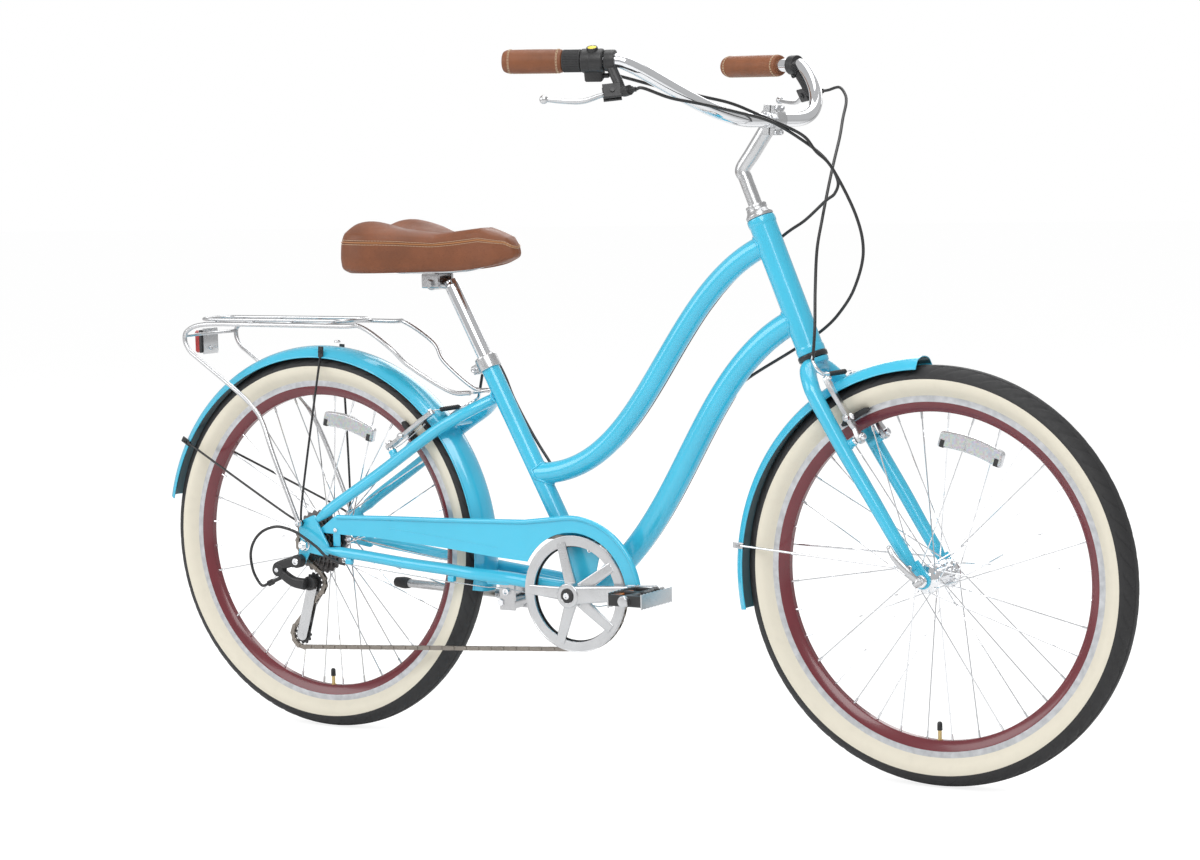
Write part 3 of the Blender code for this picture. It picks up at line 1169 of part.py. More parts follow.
def make_tyre(name, centre, pivot):
    """A balloon tyre with its tube, one ring that sits down in the bed of the rim."""
    tread = TYRE_RADIUS / math.cos(math.pi / WHEEL_STEPS)
    half = [(tread, TREAD_FLAT_HALF), (tread - TYRE_BELLY_DROP, TYRE_HALF_WIDTH),
            (RIM_OUTER_RADIUS + RUNNING_GAP, RIM_HALF_WIDTH)]
    profile = [(RIM_BED_RADIUS + RUNNING_GAP, 0.0)] + list(reversed(half)) + [(radius, -y) for radius,
                                                                              y in half]
    part(name, turned(profile, faceted_wheel(centre), WHEEL_STEPS, closed=True), TYRE, pivot=pivot)


def make_rim(name, centre, pivot):
    """A rim with a hollowed bed, brake tracks and a deep inner edge, and the valve through it."""
    half = [(RIM_OUTER_RADIUS, RIM_HALF_WIDTH), (RIM_TRACK_RADIUS, RIM_HALF_WIDTH),
            (RIM_INNER_RADIUS, RIM_NOSE_HALF)]
    profile = half + [(radius, -y) for radius, y in reversed(half)] + [(RIM_BED_RADIUS, 0.0)]
    rim = turned(profile, faceted_wheel(centre), WHEEL_STEPS, closed=True)
    inward = Vector((math.sin(VALVE_ANGLE), 0.0, math.cos(VALVE_ANGLE)))
    foot = centre - inward * (RIM_INNER_RADIUS + 0.006)
    valve = rod(foot, centre - inward * (RIM_INNER_RADIUS - VALVE_LENGTH), VALVE_RADIUS)
    part(name, joined(rim, valve), RIM_PAINT, pivot=pivot)


def spoke_points(flange_y, phase, sense):
    """One spoke, from the edge of its flange to just inside the rim; it crosses three others."""
    twist = SPOKE_CROSSINGS * 4 * math.pi / SPOKE_COUNT
    hole = phase + sense * twist
    reach = FLANGE_RADIUS - SPOKE_SEAT
    y = flange_y + sense * SPOKE_STAGGER
    start = Vector((reach * math.cos(hole), reach * math.sin(hole), y))
    stop = RIM_INNER_RADIUS * math.cos(math.pi / WHEEL_STEPS) - RUNNING_GAP
    end = Vector((stop * math.cos(phase), stop * math.sin(phase), math.copysign(SPOKE_END_Y, flange_y)))
    return start, end


def make_spokes(name, centre, right_y, left_y, ends, pivot, reflector_angle):
    """A hub with two flanges, its laced spokes and the clear reflector clipped to them."""
    low, high = ends
    half = FLANGE_THICKNESS / 2
    profile = [(HUB_END_RADIUS, high), (HUB_END_RADIUS, left_y + half), (FLANGE_RADIUS, left_y + half),
               (FLANGE_RADIUS, left_y - half), (HUB_SHELL_RADIUS, left_y - half),
               (HUB_SHELL_RADIUS, right_y + half),
               (FLANGE_RADIUS, right_y + half), (FLANGE_RADIUS, right_y - half),
               (HUB_END_RADIUS, right_y - half),
               (HUB_END_RADIUS, low), (AXLE_RADIUS + RUNNING_GAP, low), (AXLE_RADIUS + RUNNING_GAP, high)]
    hub = turned(profile, Matrix.Identity(4), HUB_SIDES, closed=True)
    spokes = []
    for index in range(SPOKE_COUNT):
        flange_y = (right_y, left_y)[index % 2]
        sense = (1, -1)[index // 2 % 2]
        phase = 2 * math.pi * (index + 0.5) / SPOKE_COUNT
        start, end = spoke_points(flange_y, phase, sense)
        spokes.append(rod(start, end, SPOKE_RADIUS, sides=SPOKE_SIDES))
    reflector = block((REFLECTOR_LENGTH, REFLECTOR_HEIGHT, REFLECTOR_THICKNESS),
                      Matrix.Rotation(reflector_angle, 4,
                                      "Z") @ Matrix.Translation((0.0, REFLECTOR_RADIUS, 0.0)))
    made = joined(hub, gathered(spokes), reflector)
    part(name, placed(made, across(centre)), CHROME, pivot=pivot)


def make_axles():
    """Both axles with their cones and nuts, and the lever of the front one."""
    out = DROPOUT_Y + DROPOUT_THICKNESS / 2 + GAP
    inner = DROPOUT_Y - DROPOUT_THICKNESS / 2 - GAP
    left_cone = REAR_HUB_LEFT + RUNNING_GAP
    right_cone = FREEWHEEL_OUTER + RUNNING_GAP
    profile = [(0.0, REAR_AXLE_HALF), (AXLE_RADIUS, REAR_AXLE_HALF)]
    for far, near, radius in ((out + AXLE_NUT, out, AXLE_NUT_RADIUS), (inner, left_cone, CONE_RADIUS),
                              (-right_cone, -inner, CONE_RADIUS), (-out, -out - AXLE_NUT, AXLE_NUT_RADIUS)):
        profile += [(AXLE_RADIUS, far), (radius, far), (radius, near), (AXLE_RADIUS, near)]
    profile += [(AXLE_RADIUS, -REAR_AXLE_HALF), (0.0, -REAR_AXLE_HALF)]
    part("rear_axle", turned(profile, across(REAR_AXLE), 6), STEEL, pivot=REAR_AXLE)

    out = FORK_TIP_Y + FORK_TIP_THICKNESS / 2 + GAP
    inner = FORK_TIP_Y - FORK_TIP_THICKNESS / 2 - GAP
    cone = FRONT_HUB_HALF + RUNNING_GAP
    profile = [(0.0, out + AXLE_NUT), (AXLE_NUT_RADIUS - AXLE_NUT_TAPER, out + AXLE_NUT),
               (AXLE_NUT_RADIUS, out)]
    profile += [(AXLE_RADIUS, out), (AXLE_RADIUS, inner), (CONE_RADIUS, inner), (CONE_RADIUS, cone),
                (AXLE_RADIUS, cone), (AXLE_RADIUS, -cone), (CONE_RADIUS, -cone), (CONE_RADIUS, -inner),
                (AXLE_RADIUS, -inner), (AXLE_RADIUS, -out), (AXLE_NUT_RADIUS, -out),
                (AXLE_NUT_RADIUS, -LEVER_SEAT_Y), (0.0, -LEVER_SEAT_Y)]
    part("front_axle", turned(profile, across(FRONT_AXLE), 6), STEEL, pivot=FRONT_AXLE)

    hinge = FRONT_AXLE - Vector((0, LEVER_HINGE_Y, 0))
    hub = rod(hinge - QR_AXIS * 0.0075, hinge + QR_AXIS * 0.0075, 0.0062, sides=16)
    path = smooth_path([hinge, hinge + Vector((-0.012, -0.0065, 0.014)),
                        hinge + Vector((-0.034, -0.0085, 0.036)),
                        hinge + Vector((-0.046, -0.0050, 0.052))], 2)
    radii = list(np.linspace(0.0052, 0.0036, len(path)))
    handle = tube(path, 0.0052, resolution=2, radii=radii)
    part("front_qr_lever", joined(hub, handle), CHROME, pivot=hinge)


def pitch_radius(teeth):
    """The radius at which a chain's pins ride on a sprocket."""
    return CHAIN_PITCH / (2 * math.sin(math.pi / teeth))


def cog_tip(teeth):
    """The radius of a sprocket's teeth, which stop short of the chain's pins."""
    return pitch_radius(teeth) - CHAIN_HALF_HEIGHT - RUNNING_GAP


def toothed(teeth, depth):
    """A sprocket's outline, with one point and one hollow to a tooth."""
    tip = cog_tip(teeth)
    outline = []
    for tooth in range(teeth):
        for share, radius in ((0.0, tip), (0.5, tip - depth)):
            angle = 2 * math.pi * (tooth + share) / teeth
            outline.append((radius * math.cos(angle), radius * math.sin(angle)))
    return outline


def circle(radius, steps, centre=(0.0, 0.0)):
    """A full circle as an outline."""
    return arc(centre, radius, 0, 360 - 360 / steps, steps - 1)


def drive_disc(centre, y):
    """A matrix that stands local XY in the plane of the chain's side of the bicycle."""
    return Matrix.Translation((centre.x, y, centre.z)) @ Matrix.Rotation(math.radians(90.0), 4, "X")


def make_chainring():
    """The big toothed ring, bolted to the crank's spider through its inner edge."""
    outlines = [circle(cog_tip(RING_TEETH), RING_TEETH), circle(RING_INNER_RADIUS, 20)]
    part("chainring", plate(outlines, RING_THICKNESS, drive_disc(BRACKET_CENTRE, CHAIN_Y)), STEEL,
         pivot=BRACKET_CENTRE)


def crank_arm(inner_y, outer_y, direction, sign):
    """A crank arm in the side view: round boss, tapering arm and round end, pierced for its pedal."""
    end = BRACKET_CENTRE + direction * CRANK_LENGTH
    angle = math.degrees(math.atan2(direction.z, direction.x))
    outline = arc((BRACKET_CENTRE.x, BRACKET_CENTRE.z), CRANK_BOSS_RADIUS, angle + 70, angle + 290, 12)
    outline += arc((end.x, end.z), CRANK_EYE_RADIUS, angle - 95, angle + 95, 10)
    bore = circle(PEDAL_SPINDLE_RADIUS + GAP, 12, (end.x, end.z))
    middle = sign * (inner_y + outer_y) / 2
    return plate([outline, bore], outer_y - inner_y, lying_in_side_view(middle))


def make_cranks():
    """The right crank with its spider and guard ring, and the left crank with the spindle."""
    forward = Vector((math.cos(CRANK_ANGLE), 0.0, math.sin(CRANK_ANGLE)))
    disc = drive_disc(BRACKET_CENTRE, GUARD_RING_Y)
    guard = plate([circle(GUARD_RING_OUTER, 24), circle(GUARD_RING_INNER, 16)], GUARD_RING_THICKNESS, disc)
    pieces = []
    for index in range(5):
        angle = math.radians(SPIDER_ANGLE + 72 * index)
        along = Vector((math.cos(angle), 0.0, math.sin(angle)))
        reach = (GUARD_RING_INNER + GUARD_RING_OUTER) / 2
        centre = BRACKET_CENTRE + along * (reach / 2)
        centre.y = GUARD_RING_Y
        pieces.append(block((reach, GUARD_RING_THICKNESS + SPIDER_RELIEF, SPIDER_WIDTH),
                            Matrix.Translation(centre) @ Matrix.Rotation(-angle, 4, "Y")))
        bolt = BRACKET_CENTRE + along * RING_BOLT_RADIUS
        start = Vector((bolt.x, CHAIN_Y - RING_THICKNESS / 2 - GAP, bolt.z))
        stop = Vector((bolt.x, GUARD_RING_Y, bolt.z))
        pieces.append(rod(start, stop, 0.0042, sides=4))
    boss = rod(BRACKET_CENTRE + Vector((0, -BOSS_INNER_Y, 0)),
               BRACKET_CENTRE + Vector((0, -CRANK_OUTER_Y - BOSS_RELIEF, 0)),
               CRANK_BOSS_RADIUS + BOSS_RELIEF,
               sides=ROUND_SIDES)
    arm = crank_arm(CRANK_INNER_Y, CRANK_OUTER_Y, forward, -1.0)
    made = joined(guard, *pieces, boss, arm)
    socket = rod(BRACKET_CENTRE + Vector((0, -BOSS_INNER_Y + 0.01, 0)),
                 BRACKET_CENTRE + Vector((0, -SPINDLE_END_Y - GAP, 0)), SPINDLE_RADIUS + GAP)
    part("crank_right", cut(made, socket), ALLOY, pivot=BRACKET_CENTRE)

    arm = crank_arm(CRANK_INNER_Y, CRANK_OUTER_Y, -forward, 1.0)
    boss = rod(BRACKET_CENTRE + Vector((0, LEFT_BOSS_INNER_Y, 0)),
               BRACKET_CENTRE + Vector((0, CRANK_OUTER_Y + BOSS_RELIEF, 0)),
               CRANK_BOSS_RADIUS + BOSS_RELIEF,
               sides=ROUND_SIDES)
    spindle = rod(BRACKET_CENTRE + Vector((0, -SPINDLE_END_Y, 0)),
                  BRACKET_CENTRE + Vector((0, CRANK_INNER_Y + 0.004, 0)), SPINDLE_RADIUS)
    part("crank_left", joined(arm, boss, spindle), ALLOY, pivot=BRACKET_CENTRE)


def make_pedals():
    """Two platform pedals: a spindle through the crank's eye, a body and a cage with side reflectors."""
    forward = Vector((math.cos(CRANK_ANGLE), 0.0, math.sin(CRANK_ANGLE)))
    eye = BRACKET_CENTRE + forward * CRANK_LENGTH
    start = Vector((eye.x, -CRANK_INNER_Y, eye.z))
    near = Vector((eye.x, -(CRANK_OUTER_Y + PEDAL_GAP), eye.z))
    far = near - Vector((0.0, PEDAL_LENGTH, 0.0))
    spindle = rod(start, near - Vector((0, 0.01, 0)), PEDAL_SPINDLE_RADIUS, sides=6)
    barrel = rod(near, far - Vector((0.0, PEDAL_CAP, 0.0)), PEDAL_BARREL_RADIUS)
    pieces = []
    for x in (-1, 1):
        rail = Vector((eye.x + x * (PEDAL_WIDTH / 2 - 0.004), (near.y + far.y) / 2, eye.z))
        pieces.append(block((0.008, PEDAL_LENGTH, PEDAL_HEIGHT), Matrix.Translation(rail)))
    for y in (near.y - 0.005, (near.y + far.y) / 2, far.y + 0.005):
        pieces.append(block((PEDAL_WIDTH - 0.006, 0.010, PEDAL_HEIGHT * 0.72),
                            Matrix.Translation((eye.x, y, eye.z))))
    right = joined(barrel, spindle, *pieces)
    left = placed(right_copy(right), pedal_turn(eye))
    part("pedal_right", right, PLASTIC, pivot=Vector((eye.x, 0.0, eye.z)))
    left_eye = BRACKET_CENTRE - forward * CRANK_LENGTH
    part("pedal_left", left, PLASTIC, pivot=Vector((left_eye.x, 0.0, left_eye.z)))


def right_copy(made):
    """A separate copy of a mesh object."""
    return work_object(made.data.copy())


def pedal_turn(eye):
    """Carries the right pedal to the left crank's eye: mirrored, and moved by two crank lengths."""
    shift = (BRACKET_CENTRE - Vector((eye.x, BRACKET_CENTRE.y, eye.z))) * 2
    return Matrix.Translation(shift) @ Matrix.Scale(-1.0, 4, Vector((0.0, 1.0, 0.0)))


def belt(circles, steps_per_turn):
    """A closed path round circles, each given as (centre x, centre z, radius, 1 clockwise or -1)."""
    arcs = []
    count = len(circles)
    headings = []
    for index in range(count):
        ax, az, ar, aturn = circles[index]
        bx, bz, br, bturn = circles[(index + 1) % count]
        reach = math.hypot(bx - ax, bz - az)
        headings.append(math.atan2(bz - az, bx - ax) - math.asin((aturn * ar - bturn * br) / reach))
    for index in range(count):
        x, z, radius, turn = circles[index]
        come, leave = headings[index - 1], headings[index]
        sweep = (leave - come) * -turn % (2 * math.pi)
        steps = max(2, round(steps_per_turn * sweep / (2 * math.pi)))
        for step in range(steps + 1):
            heading = come - turn * sweep * step / steps
            arcs.append((x - turn * radius * math.sin(heading), z + turn * radius * math.cos(heading)))
    return arcs


def make_chain():
    """The chain as one band along its path round the ring, the two pulleys and the smallest cog."""
    spread = 1 / math.cos(math.pi / CHAIN_STEPS)
    path = belt([(BRACKET_CENTRE.x, BRACKET_CENTRE.z, pitch_radius(RING_TEETH) * spread, 1),
                 (LOWER_PULLEY.x, LOWER_PULLEY.z, pitch_radius(PULLEY_TEETH) * spread, 1),
                 (UPPER_PULLEY.x, UPPER_PULLEY.z, pitch_radius(PULLEY_TEETH) * spread, -1),
                 (REAR_AXLE.x, REAR_AXLE.z, pitch_radius(FREEWHEEL_TEETH[0]) * spread, 1)], CHAIN_STEPS)
    tall, wide = CHAIN_HALF_HEIGHT, CHAIN_HALF_WIDTH
    section = [(-tall, wide), (tall, wide), (tall, -wide), (-tall, -wide)]
    profile = bpy.data.curves.new("section", "CURVE")
    profile.dimensions = "2D"
    spline = profile.splines.new("POLY")
    spline.points.add(len(section) - 1)
    for index, (x, y) in enumerate(section):
        spline.points[index].co = (x, y, 0.0, 1.0)
    spline.use_cyclic_u = True
    profile_object = bpy.data.objects.new("section", profile)
    TOOLS.objects.link(profile_object)
    curve = bpy.data.curves.new("chain", "CURVE")
    curve.dimensions = "3D"
    curve.twist_mode = "Z_UP"
    curve.bevel_mode = "OBJECT"
    curve.bevel_object = profile_object
    spline = curve.splines.new("POLY")
    spline.points.add(len(path) - 1)
    for index, (x, z) in enumerate(path):
        spline.points[index].co = (x, z, 0.0, 1.0)
    spline.use_cyclic_u = True
    made = bpy.data.objects.new("chain", curve)
    TOOLS.objects.link(made)
    made = applied(made)
    remove(profile_object)
    part("chain", placed(made, lying_in_side_view(CHAIN_Y)), CHAIN_STEEL)


def make_freewheel():
    """The seven rear cogs on their freewheel body, turned as one stepped piece."""
    bore = AXLE_RADIUS + RUNNING_GAP
    half = COG_THICKNESS / 2
    profile = [(COG_CORE_RADIUS, -FREEWHEEL_INNER)]
    for index in reversed(range(len(FREEWHEEL_TEETH))):
        y = CHAIN_Y + COG_PITCH * index
        tip = cog_tip(FREEWHEEL_TEETH[index])
        groove = y - half if index == 1 else y - COG_PITCH / 2
        profile += [(tip, y + half), (tip, y - half), (COG_CORE_RADIUS, groove)]
    profile.pop()
    profile += [(COG_CORE_RADIUS, -FREEWHEEL_OUTER), (bore, -FREEWHEEL_OUTER), (bore, -FREEWHEEL_INNER)]
    place = Matrix.Translation(REAR_AXLE) @ across(Vector((0.0, 0.0, 0.0)))
    part("freewheel", turned(profile, place, TUBE_STEPS, closed=True), COG_STEEL, pivot=REAR_AXLE)


def make_derailleur():
    """The derailleur: body on the hanger, sliding knuckle, pulley cage and its two toothed pulleys."""
    hanger_face = -(DROPOUT_Y + DROPOUT_THICKNESS / 2 + GAP)
    arm_y = hanger_face - GAP - DERAILLEUR_ARM_RADIUS
    pin = Vector((HANGER_BOLT.x, hanger_face, HANGER_BOLT.z))
    knuckle = Vector((UPPER_PULLEY.x, arm_y, UPPER_PULLEY.z))
    arm = tube([Vector((pin.x, arm_y, pin.z)), Vector((DERAILLEUR_HEEL.x, arm_y, DERAILLEUR_HEEL.z)),
                Vector((DERAILLEUR_HEEL.x + 0.010, arm_y, DERAILLEUR_HEEL.z - 0.010)), knuckle],
               DERAILLEUR_ARM_RADIUS, resolution=1)
    body = joined(arm, rod(pin, pin - Vector((0.0, KNUCKLE_WIDTH, 0.0)), 0.0115, sides=16),
                  rod(BARREL_ADJUSTER,
                      Vector((BARREL_ADJUSTER.x + 0.030, arm_y, BARREL_ADJUSTER.z + 0.014)),
                      BARREL_RADIUS))
    part("derailleur_body", body, PLASTIC)

    start = Vector((UPPER_PULLEY.x, CHAIN_Y - CAGE_INNER_HALF - CAGE_WALL - RUNNING_GAP, UPPER_PULLEY.z))
    stop = Vector((UPPER_PULLEY.x, arm_y + DERAILLEUR_ARM_RADIUS + RUNNING_GAP, UPPER_PULLEY.z))
    part("derailleur_knuckle", rod(start, stop, 0.0125, sides=16), PLASTIC, pivot=start)

    plates = []
    upper_at, lower_at = (UPPER_PULLEY.x, UPPER_PULLEY.z), (LOWER_PULLEY.x, LOWER_PULLEY.z)
    lean = math.degrees(math.atan2(lower_at[1] - upper_at[1], lower_at[0] - upper_at[0]))
    outline = arc(upper_at, 0.0105, lean + 90, lean + 270, 5) + arc(lower_at, 0.0105, lean - 90, lean + 90,
                                                                    5)
    for y in (CHAIN_Y - CAGE_INNER_HALF - CAGE_WALL / 2, CHAIN_Y + CAGE_INNER_HALF + CAGE_WALL / 2):
        plates.append(plate([outline], CAGE_WALL, lying_in_side_view(y)))
    for pulley in (UPPER_PULLEY, LOWER_PULLEY):
        reach = Vector((0.0, CAGE_INNER_HALF + CAGE_WALL / 2, 0.0))
        plates.append(rod(pulley - reach, pulley + reach, PULLEY_PIN_RADIUS))
    part("derailleur_cage", joined(*plates), ALLOY, pivot=UPPER_PULLEY)

    for name, pulley in (("upper_pulley", UPPER_PULLEY), ("lower_pulley", LOWER_PULLEY)):
        outlines = [toothed(PULLEY_TEETH, PULLEY_TOOTH_DEPTH), circle(PULLEY_PIN_RADIUS + RUNNING_GAP, 12)]
        part(name, plate(outlines, PULLEY_THICKNESS, drive_disc(pulley, CHAIN_Y)), PLASTIC, pivot=pulley)


def make_seatpost():
    """The straight post with its clamp head, which grips the saddle's two rails."""
    top = SEATPOST_TOP
    foot = SEAT_TUBE_TOP - SEAT_UP * SEATPOST_INSERTION
    post = rod(foot, top, SEATPOST_RADIUS, sides=ROUND_SIDES)
    reach = Vector((0.0, CLAMP_HEAD_HALF, 0.0))
    head = RAIL_CLAMP + Vector((0.0, 0.0, -CLAMP_HEAD_DROP))
    barrel = rod(head - reach, head + reach, 0.0115)
    neck = rod(top - SEAT_UP * 0.012, head, 0.0095)
    cheeks = [block((0.034, 0.006, 0.024), Matrix.Translation((RAIL_CLAMP.x, y, head.z + 0.004)))
              for y in (-CLAMP_HEAD_HALF, CLAMP_HEAD_HALF)]
    part("seatpost", joined(post, neck, barrel, *cheeks), CHROME, pivot=SEAT_TUBE_TOP)


def make_saddle():
    """The saddle: two bent rails, a hard base and the padded cover with its nose and wings."""
    rail = smooth_path(RAIL_POINTS, 1)
    right = tube(rail, RAIL_RADIUS, resolution=1)
    bridge_front = rod(Vector((RAIL_POINTS[-1].x, RAIL_POINTS[-1].y, RAIL_POINTS[-1].z)),
                       Vector((RAIL_POINTS[-1].x, -RAIL_POINTS[-1].y, RAIL_POINTS[-1].z)), RAIL_RADIUS)
    bridge_back = rod(RAIL_POINTS[0], mirror_point(RAIL_POINTS[0]), RAIL_RADIUS)
    part("saddle_rails", joined(right, mirrored(right), bridge_front, bridge_back), STEEL)

    outline = [saddle_edge(share) for share in np.linspace(0.0, 1.0, SADDLE_BASE_STEPS)]
    outline += [(x, -y) for x, y in reversed(outline[1:-1])]
    inner = [(x - (x - SADDLE_MIDDLE) * SADDLE_INSET, y * (1 - 2 * SADDLE_INSET)) for x, y in outline]
    base = plate([inner], SADDLE_BASE_THICKNESS, Matrix.Translation((0.0, 0.0, SADDLE_BASE_Z)))
    part("saddle_base", base, PLASTIC)
    part("saddle_cover", saddle_shell(), LEATHER, sharp=60)


def mirror_point(point):
    """The same point on the other side of the bicycle."""
    return Vector((point[0], -point[1], point[2]))


def saddle_edge(share):
    """The saddle's plan outline: 0 at the middle of its back, 1 at the tip of its nose."""
    knots = [Vector((x, y, 0.0)) for x, y in SADDLE_PLAN]
    path = smooth_path(knots, 8)
    place = share * (len(path) - 1)
    index = min(int(place), len(path) - 2)
    point = path[index].lerp(path[index + 1], place - index)
    return point.x, point.y


def saddle_top(x, y):
    """Height of the cover's crown: a saddle line along the middle, raised over the two wings."""
    share = (x - SADDLE_BACK) / (SADDLE_NOSE - SADDLE_BACK)
    line = np.interp(share, SADDLE_LINE_SHARES, SADDLE_LINE_HEIGHTS)
    along = math.exp(-((x - SADDLE_WING_X) / 0.055) ** 2)
    wing = SADDLE_WING_RISE * along * math.exp(-((abs(y) - 0.060) / 0.034) ** 2)
    return line + wing


def saddle_shell():
    """The padded cover: rings drawn in from the side seam over the crown, and down to the lower edge."""
    count = SADDLE_RING_STEPS
    rim = [saddle_edge(share) for share in np.linspace(0.0, 1.0, count)]
    rim += [(x, -y) for x, y in reversed(rim[1:-1])]
    made = bmesh.new()
    rings = []
    for inset, blend, drop in SADDLE_RINGS:
        ring_points = []
        for x, y in rim:
            px = x + (SADDLE_MIDDLE - x) * inset
            py = y * (1 - inset)
            top = saddle_top(px, py)
            low = SADDLE_LOW_EDGE + SADDLE_NOSE_LIFT * max(0.0, (px - 0.28) / 0.13) ** 2
            ring_points.append(made.verts.new((px, py, low + (top - low) * blend - drop)))
        rings.append(ring_points)
    size = len(rim)
    for lower, upper in zip(rings, rings[1:]):
        for index in range(size):
            after = (index + 1) % size
            made.faces.new((lower[index], lower[after], upper[after], upper[index]))
    made.faces.new(rings[-1])
    made.faces.new(list(reversed(rings[0])))
    bmesh.ops.recalc_face_normals(made, faces=made.faces)
    bmesh.ops.triangulate(made, faces=made.faces)
    mesh = bpy.data.meshes.new("saddle_cover")
    made.to_mesh(mesh)
    made.free()
    hollow = plate([cover_hollow()], 0.060,
                   Matrix.Translation((0.0, 0.0, SADDLE_BASE_Z + SADDLE_BASE_THICKNESS / 2
                                                                + GAP - 0.030)))
    return cut(work_object(mesh), hollow)


def cover_hollow():
    """The plan of the space under the cover that the base fills, a little larger than the base."""
    outline = [saddle_edge(share) for share in np.linspace(0.0, 1.0, SADDLE_BASE_STEPS)]
    outline += [(x, -y) for x, y in reversed(outline[1:-1])]
    inset = SADDLE_INSET - 0.012
    return [(x - (x - SADDLE_MIDDLE) * inset, y * (1 - 2 * inset)) for x, y in outline]


def make_rack():
    """The rear rack of bent rod: two side rails, a deck loop on cross rods, and struts to the eyelets."""
    struts = [Vector((x, -RACK_Y, z)) for x, z in RACK_SIDE]
    struts[-1].y = struts[-2].y = -RACK_FOOT_Y
    front = [Vector(point) for point in RACK_FRONT]
    path = smooth_path(list(reversed(front)) + struts, 1)
    side_rail = tube(path, RACK_ROD_RADIUS, resolution=1)
    eye = RACK_EYE + Vector((0.0, -RACK_FOOT_Y, 0.0))
    tab = rod(eye - Vector((0, RACK_ROD_RADIUS, 0)), eye + Vector((0, RACK_ROD_RADIUS, 0)), 0.0065)
    right = joined(side_rail, tab)
    crosses = [rod(Vector((x, -RACK_Y, RACK_DECK_Z)), Vector((x, RACK_Y, RACK_DECK_Z)), RACK_CROSS_RADIUS,
                   sides=6)
               for x in RACK_CROSS_X]
    loop = [(x, y) for x, y in arc((RACK_LOOP_BACK + 0.03, -RACK_LOOP_Y + 0.03), 0.03, 180, 270, 2)]
    loop += arc((RACK_LOOP_FRONT - 0.03, -RACK_LOOP_Y + 0.03), 0.03, 270, 360, 2)
    loop += [(x, -y) for x, y in reversed(loop)]
    deck = tube([Vector((x, y, RACK_LOOP_Z)) for x, y in loop], RACK_CROSS_RADIUS, resolution=1,
                cyclic=True)
    back = rod(Vector((RACK_BACK_X, -RACK_Y, RACK_BACK_Z)), Vector((RACK_BACK_X, RACK_Y, RACK_BACK_Z)),
               RACK_CROSS_RADIUS)
    tail = block((0.0020, 0.040, 0.046),
                 Matrix.Translation((RACK_BACK_X - 0.0035, 0.0, RACK_BACK_Z - 0.014)))
    join_plate = block((0.012, 0.060, 0.004), Matrix.Translation(RACK_PLATE))
    made = joined(right, mirrored(right), *crosses, deck, back, tail, join_plate)
    part("rack", made, ALLOY)
    lens = block((0.014, 0.046, 0.040), Matrix.Translation((RACK_BACK_X - 0.0045 - GAP - 0.0070, 0.0,
                                                           RACK_BACK_Z - 0.014)), bevel=0.003)
    part("rack_reflector", lens, PLASTIC)


def along_tube(start, leave, end, arrive, radius, near, far, steps):
    """Points that follow a curved frame tube on its lower left side, at a housing's width from it."""
    points = []
    for share in np.linspace(near, far, steps):
        path = bezier(start, start + leave, end + arrive, end, TUBE_TRACE_STEPS)
        index = round(share * TUBE_TRACE_STEPS)
        heading = (path[min(index + 1, TUBE_TRACE_STEPS)] - path[index - 1]).normalized()
        under = Vector((heading.z, 0.0, -heading.x))
        if under.z > 0.0:
            under = -under
        away = (under * CABLE_UNDER + Vector((0.0, CABLE_LEFT, 0.0))).normalized()
        points.append(path[index] + away * (radius + HOUSING_RADIUS + RUNNING_GAP))
    return points


def from_barrel(sign):
    """The first point of a brake cable, at the mouth of its lever's barrel, and the next one outside."""
    pivot, barrel = (Vector((p.x, p.y * sign, p.z)) for p in (LEVER_PIVOT, LEVER_BARREL))
    out = (barrel - pivot).normalized()
    return [barrel + out * GAP, barrel + out * 0.012]


def over_arms(boss, out, up, side_sign):
    """The cable's end: its bent pipe down to one arm, the boot across, and the wire to the other arm."""
    place = brake_frame(boss, out, up)
    top = place.translation + up * (BRAKE_ARM_LENGTH + HOUSING_RADIUS + GAP)
    bend = [Vector((top.x, side_sign * y, top.z)) + up * rise
            for y, rise in ((0.057, 0.026), (0.0575, 0.012), (0.051, 0.003), (0.042, 0.0002), (0.030, 0.0))]
    boot = [Vector((top.x, side_sign * y, top.z)) for y in (0.027, 0.010, -0.010, -0.027)]
    wire_end = [Vector((top.x, side_sign * y, top.z)) for y in (-0.030, -0.046)]
    return bend, boot, wire_end


def front_route():
    """The front brake's housing: from the left lever, down before the head tube, to the right arm."""
    bend, boot, wire_end = over_arms(FRONT_BOSS, FRONT_BOSS_OUT, FRONT_BOSS_UP, -1.0)
    housing = from_barrel(-1.0) + FRONT_CABLE_POINTS + bend
    return [(housing, HOUSING_RADIUS, 1), (boot, BOOT_RADIUS, 1), (wire_end, WIRE_RADIUS, 1)]


def rear_route():
    """The rear brake's housing: from the right lever, along the top tube and down to the left arm."""
    bend, boot, wire_end = over_arms(REAR_BOSS, REAR_BOSS_OUT, REAR_BOSS_UP, 1.0)
    start = HEAD_TOP - HEAD_UP * TOP_TUBE_TOP_DROP
    leave = Vector((-math.cos(TOP_TUBE_TOP_ANGLE), 0.0, -math.sin(TOP_TUBE_TOP_ANGLE))) * TOP_TUBE_TOP_REACH
    arrive = Vector((math.cos(TOP_TUBE_FOOT_ANGLE), 0.0,
                     math.sin(TOP_TUBE_FOOT_ANGLE))) * TOP_TUBE_FOOT_REACH
    tube_run = along_tube(start, leave, TOP_TUBE_FOOT, arrive, TOP_TUBE_RADIUS, 0.14, 0.95, 8)
    housing = from_barrel(1.0) + REAR_CABLE_FRONT + tube_run + REAR_CABLE_BACK + bend
    return [(housing, HOUSING_RADIUS, 1), (boot, BOOT_RADIUS, 1), (wire_end, WIRE_RADIUS, 1)]


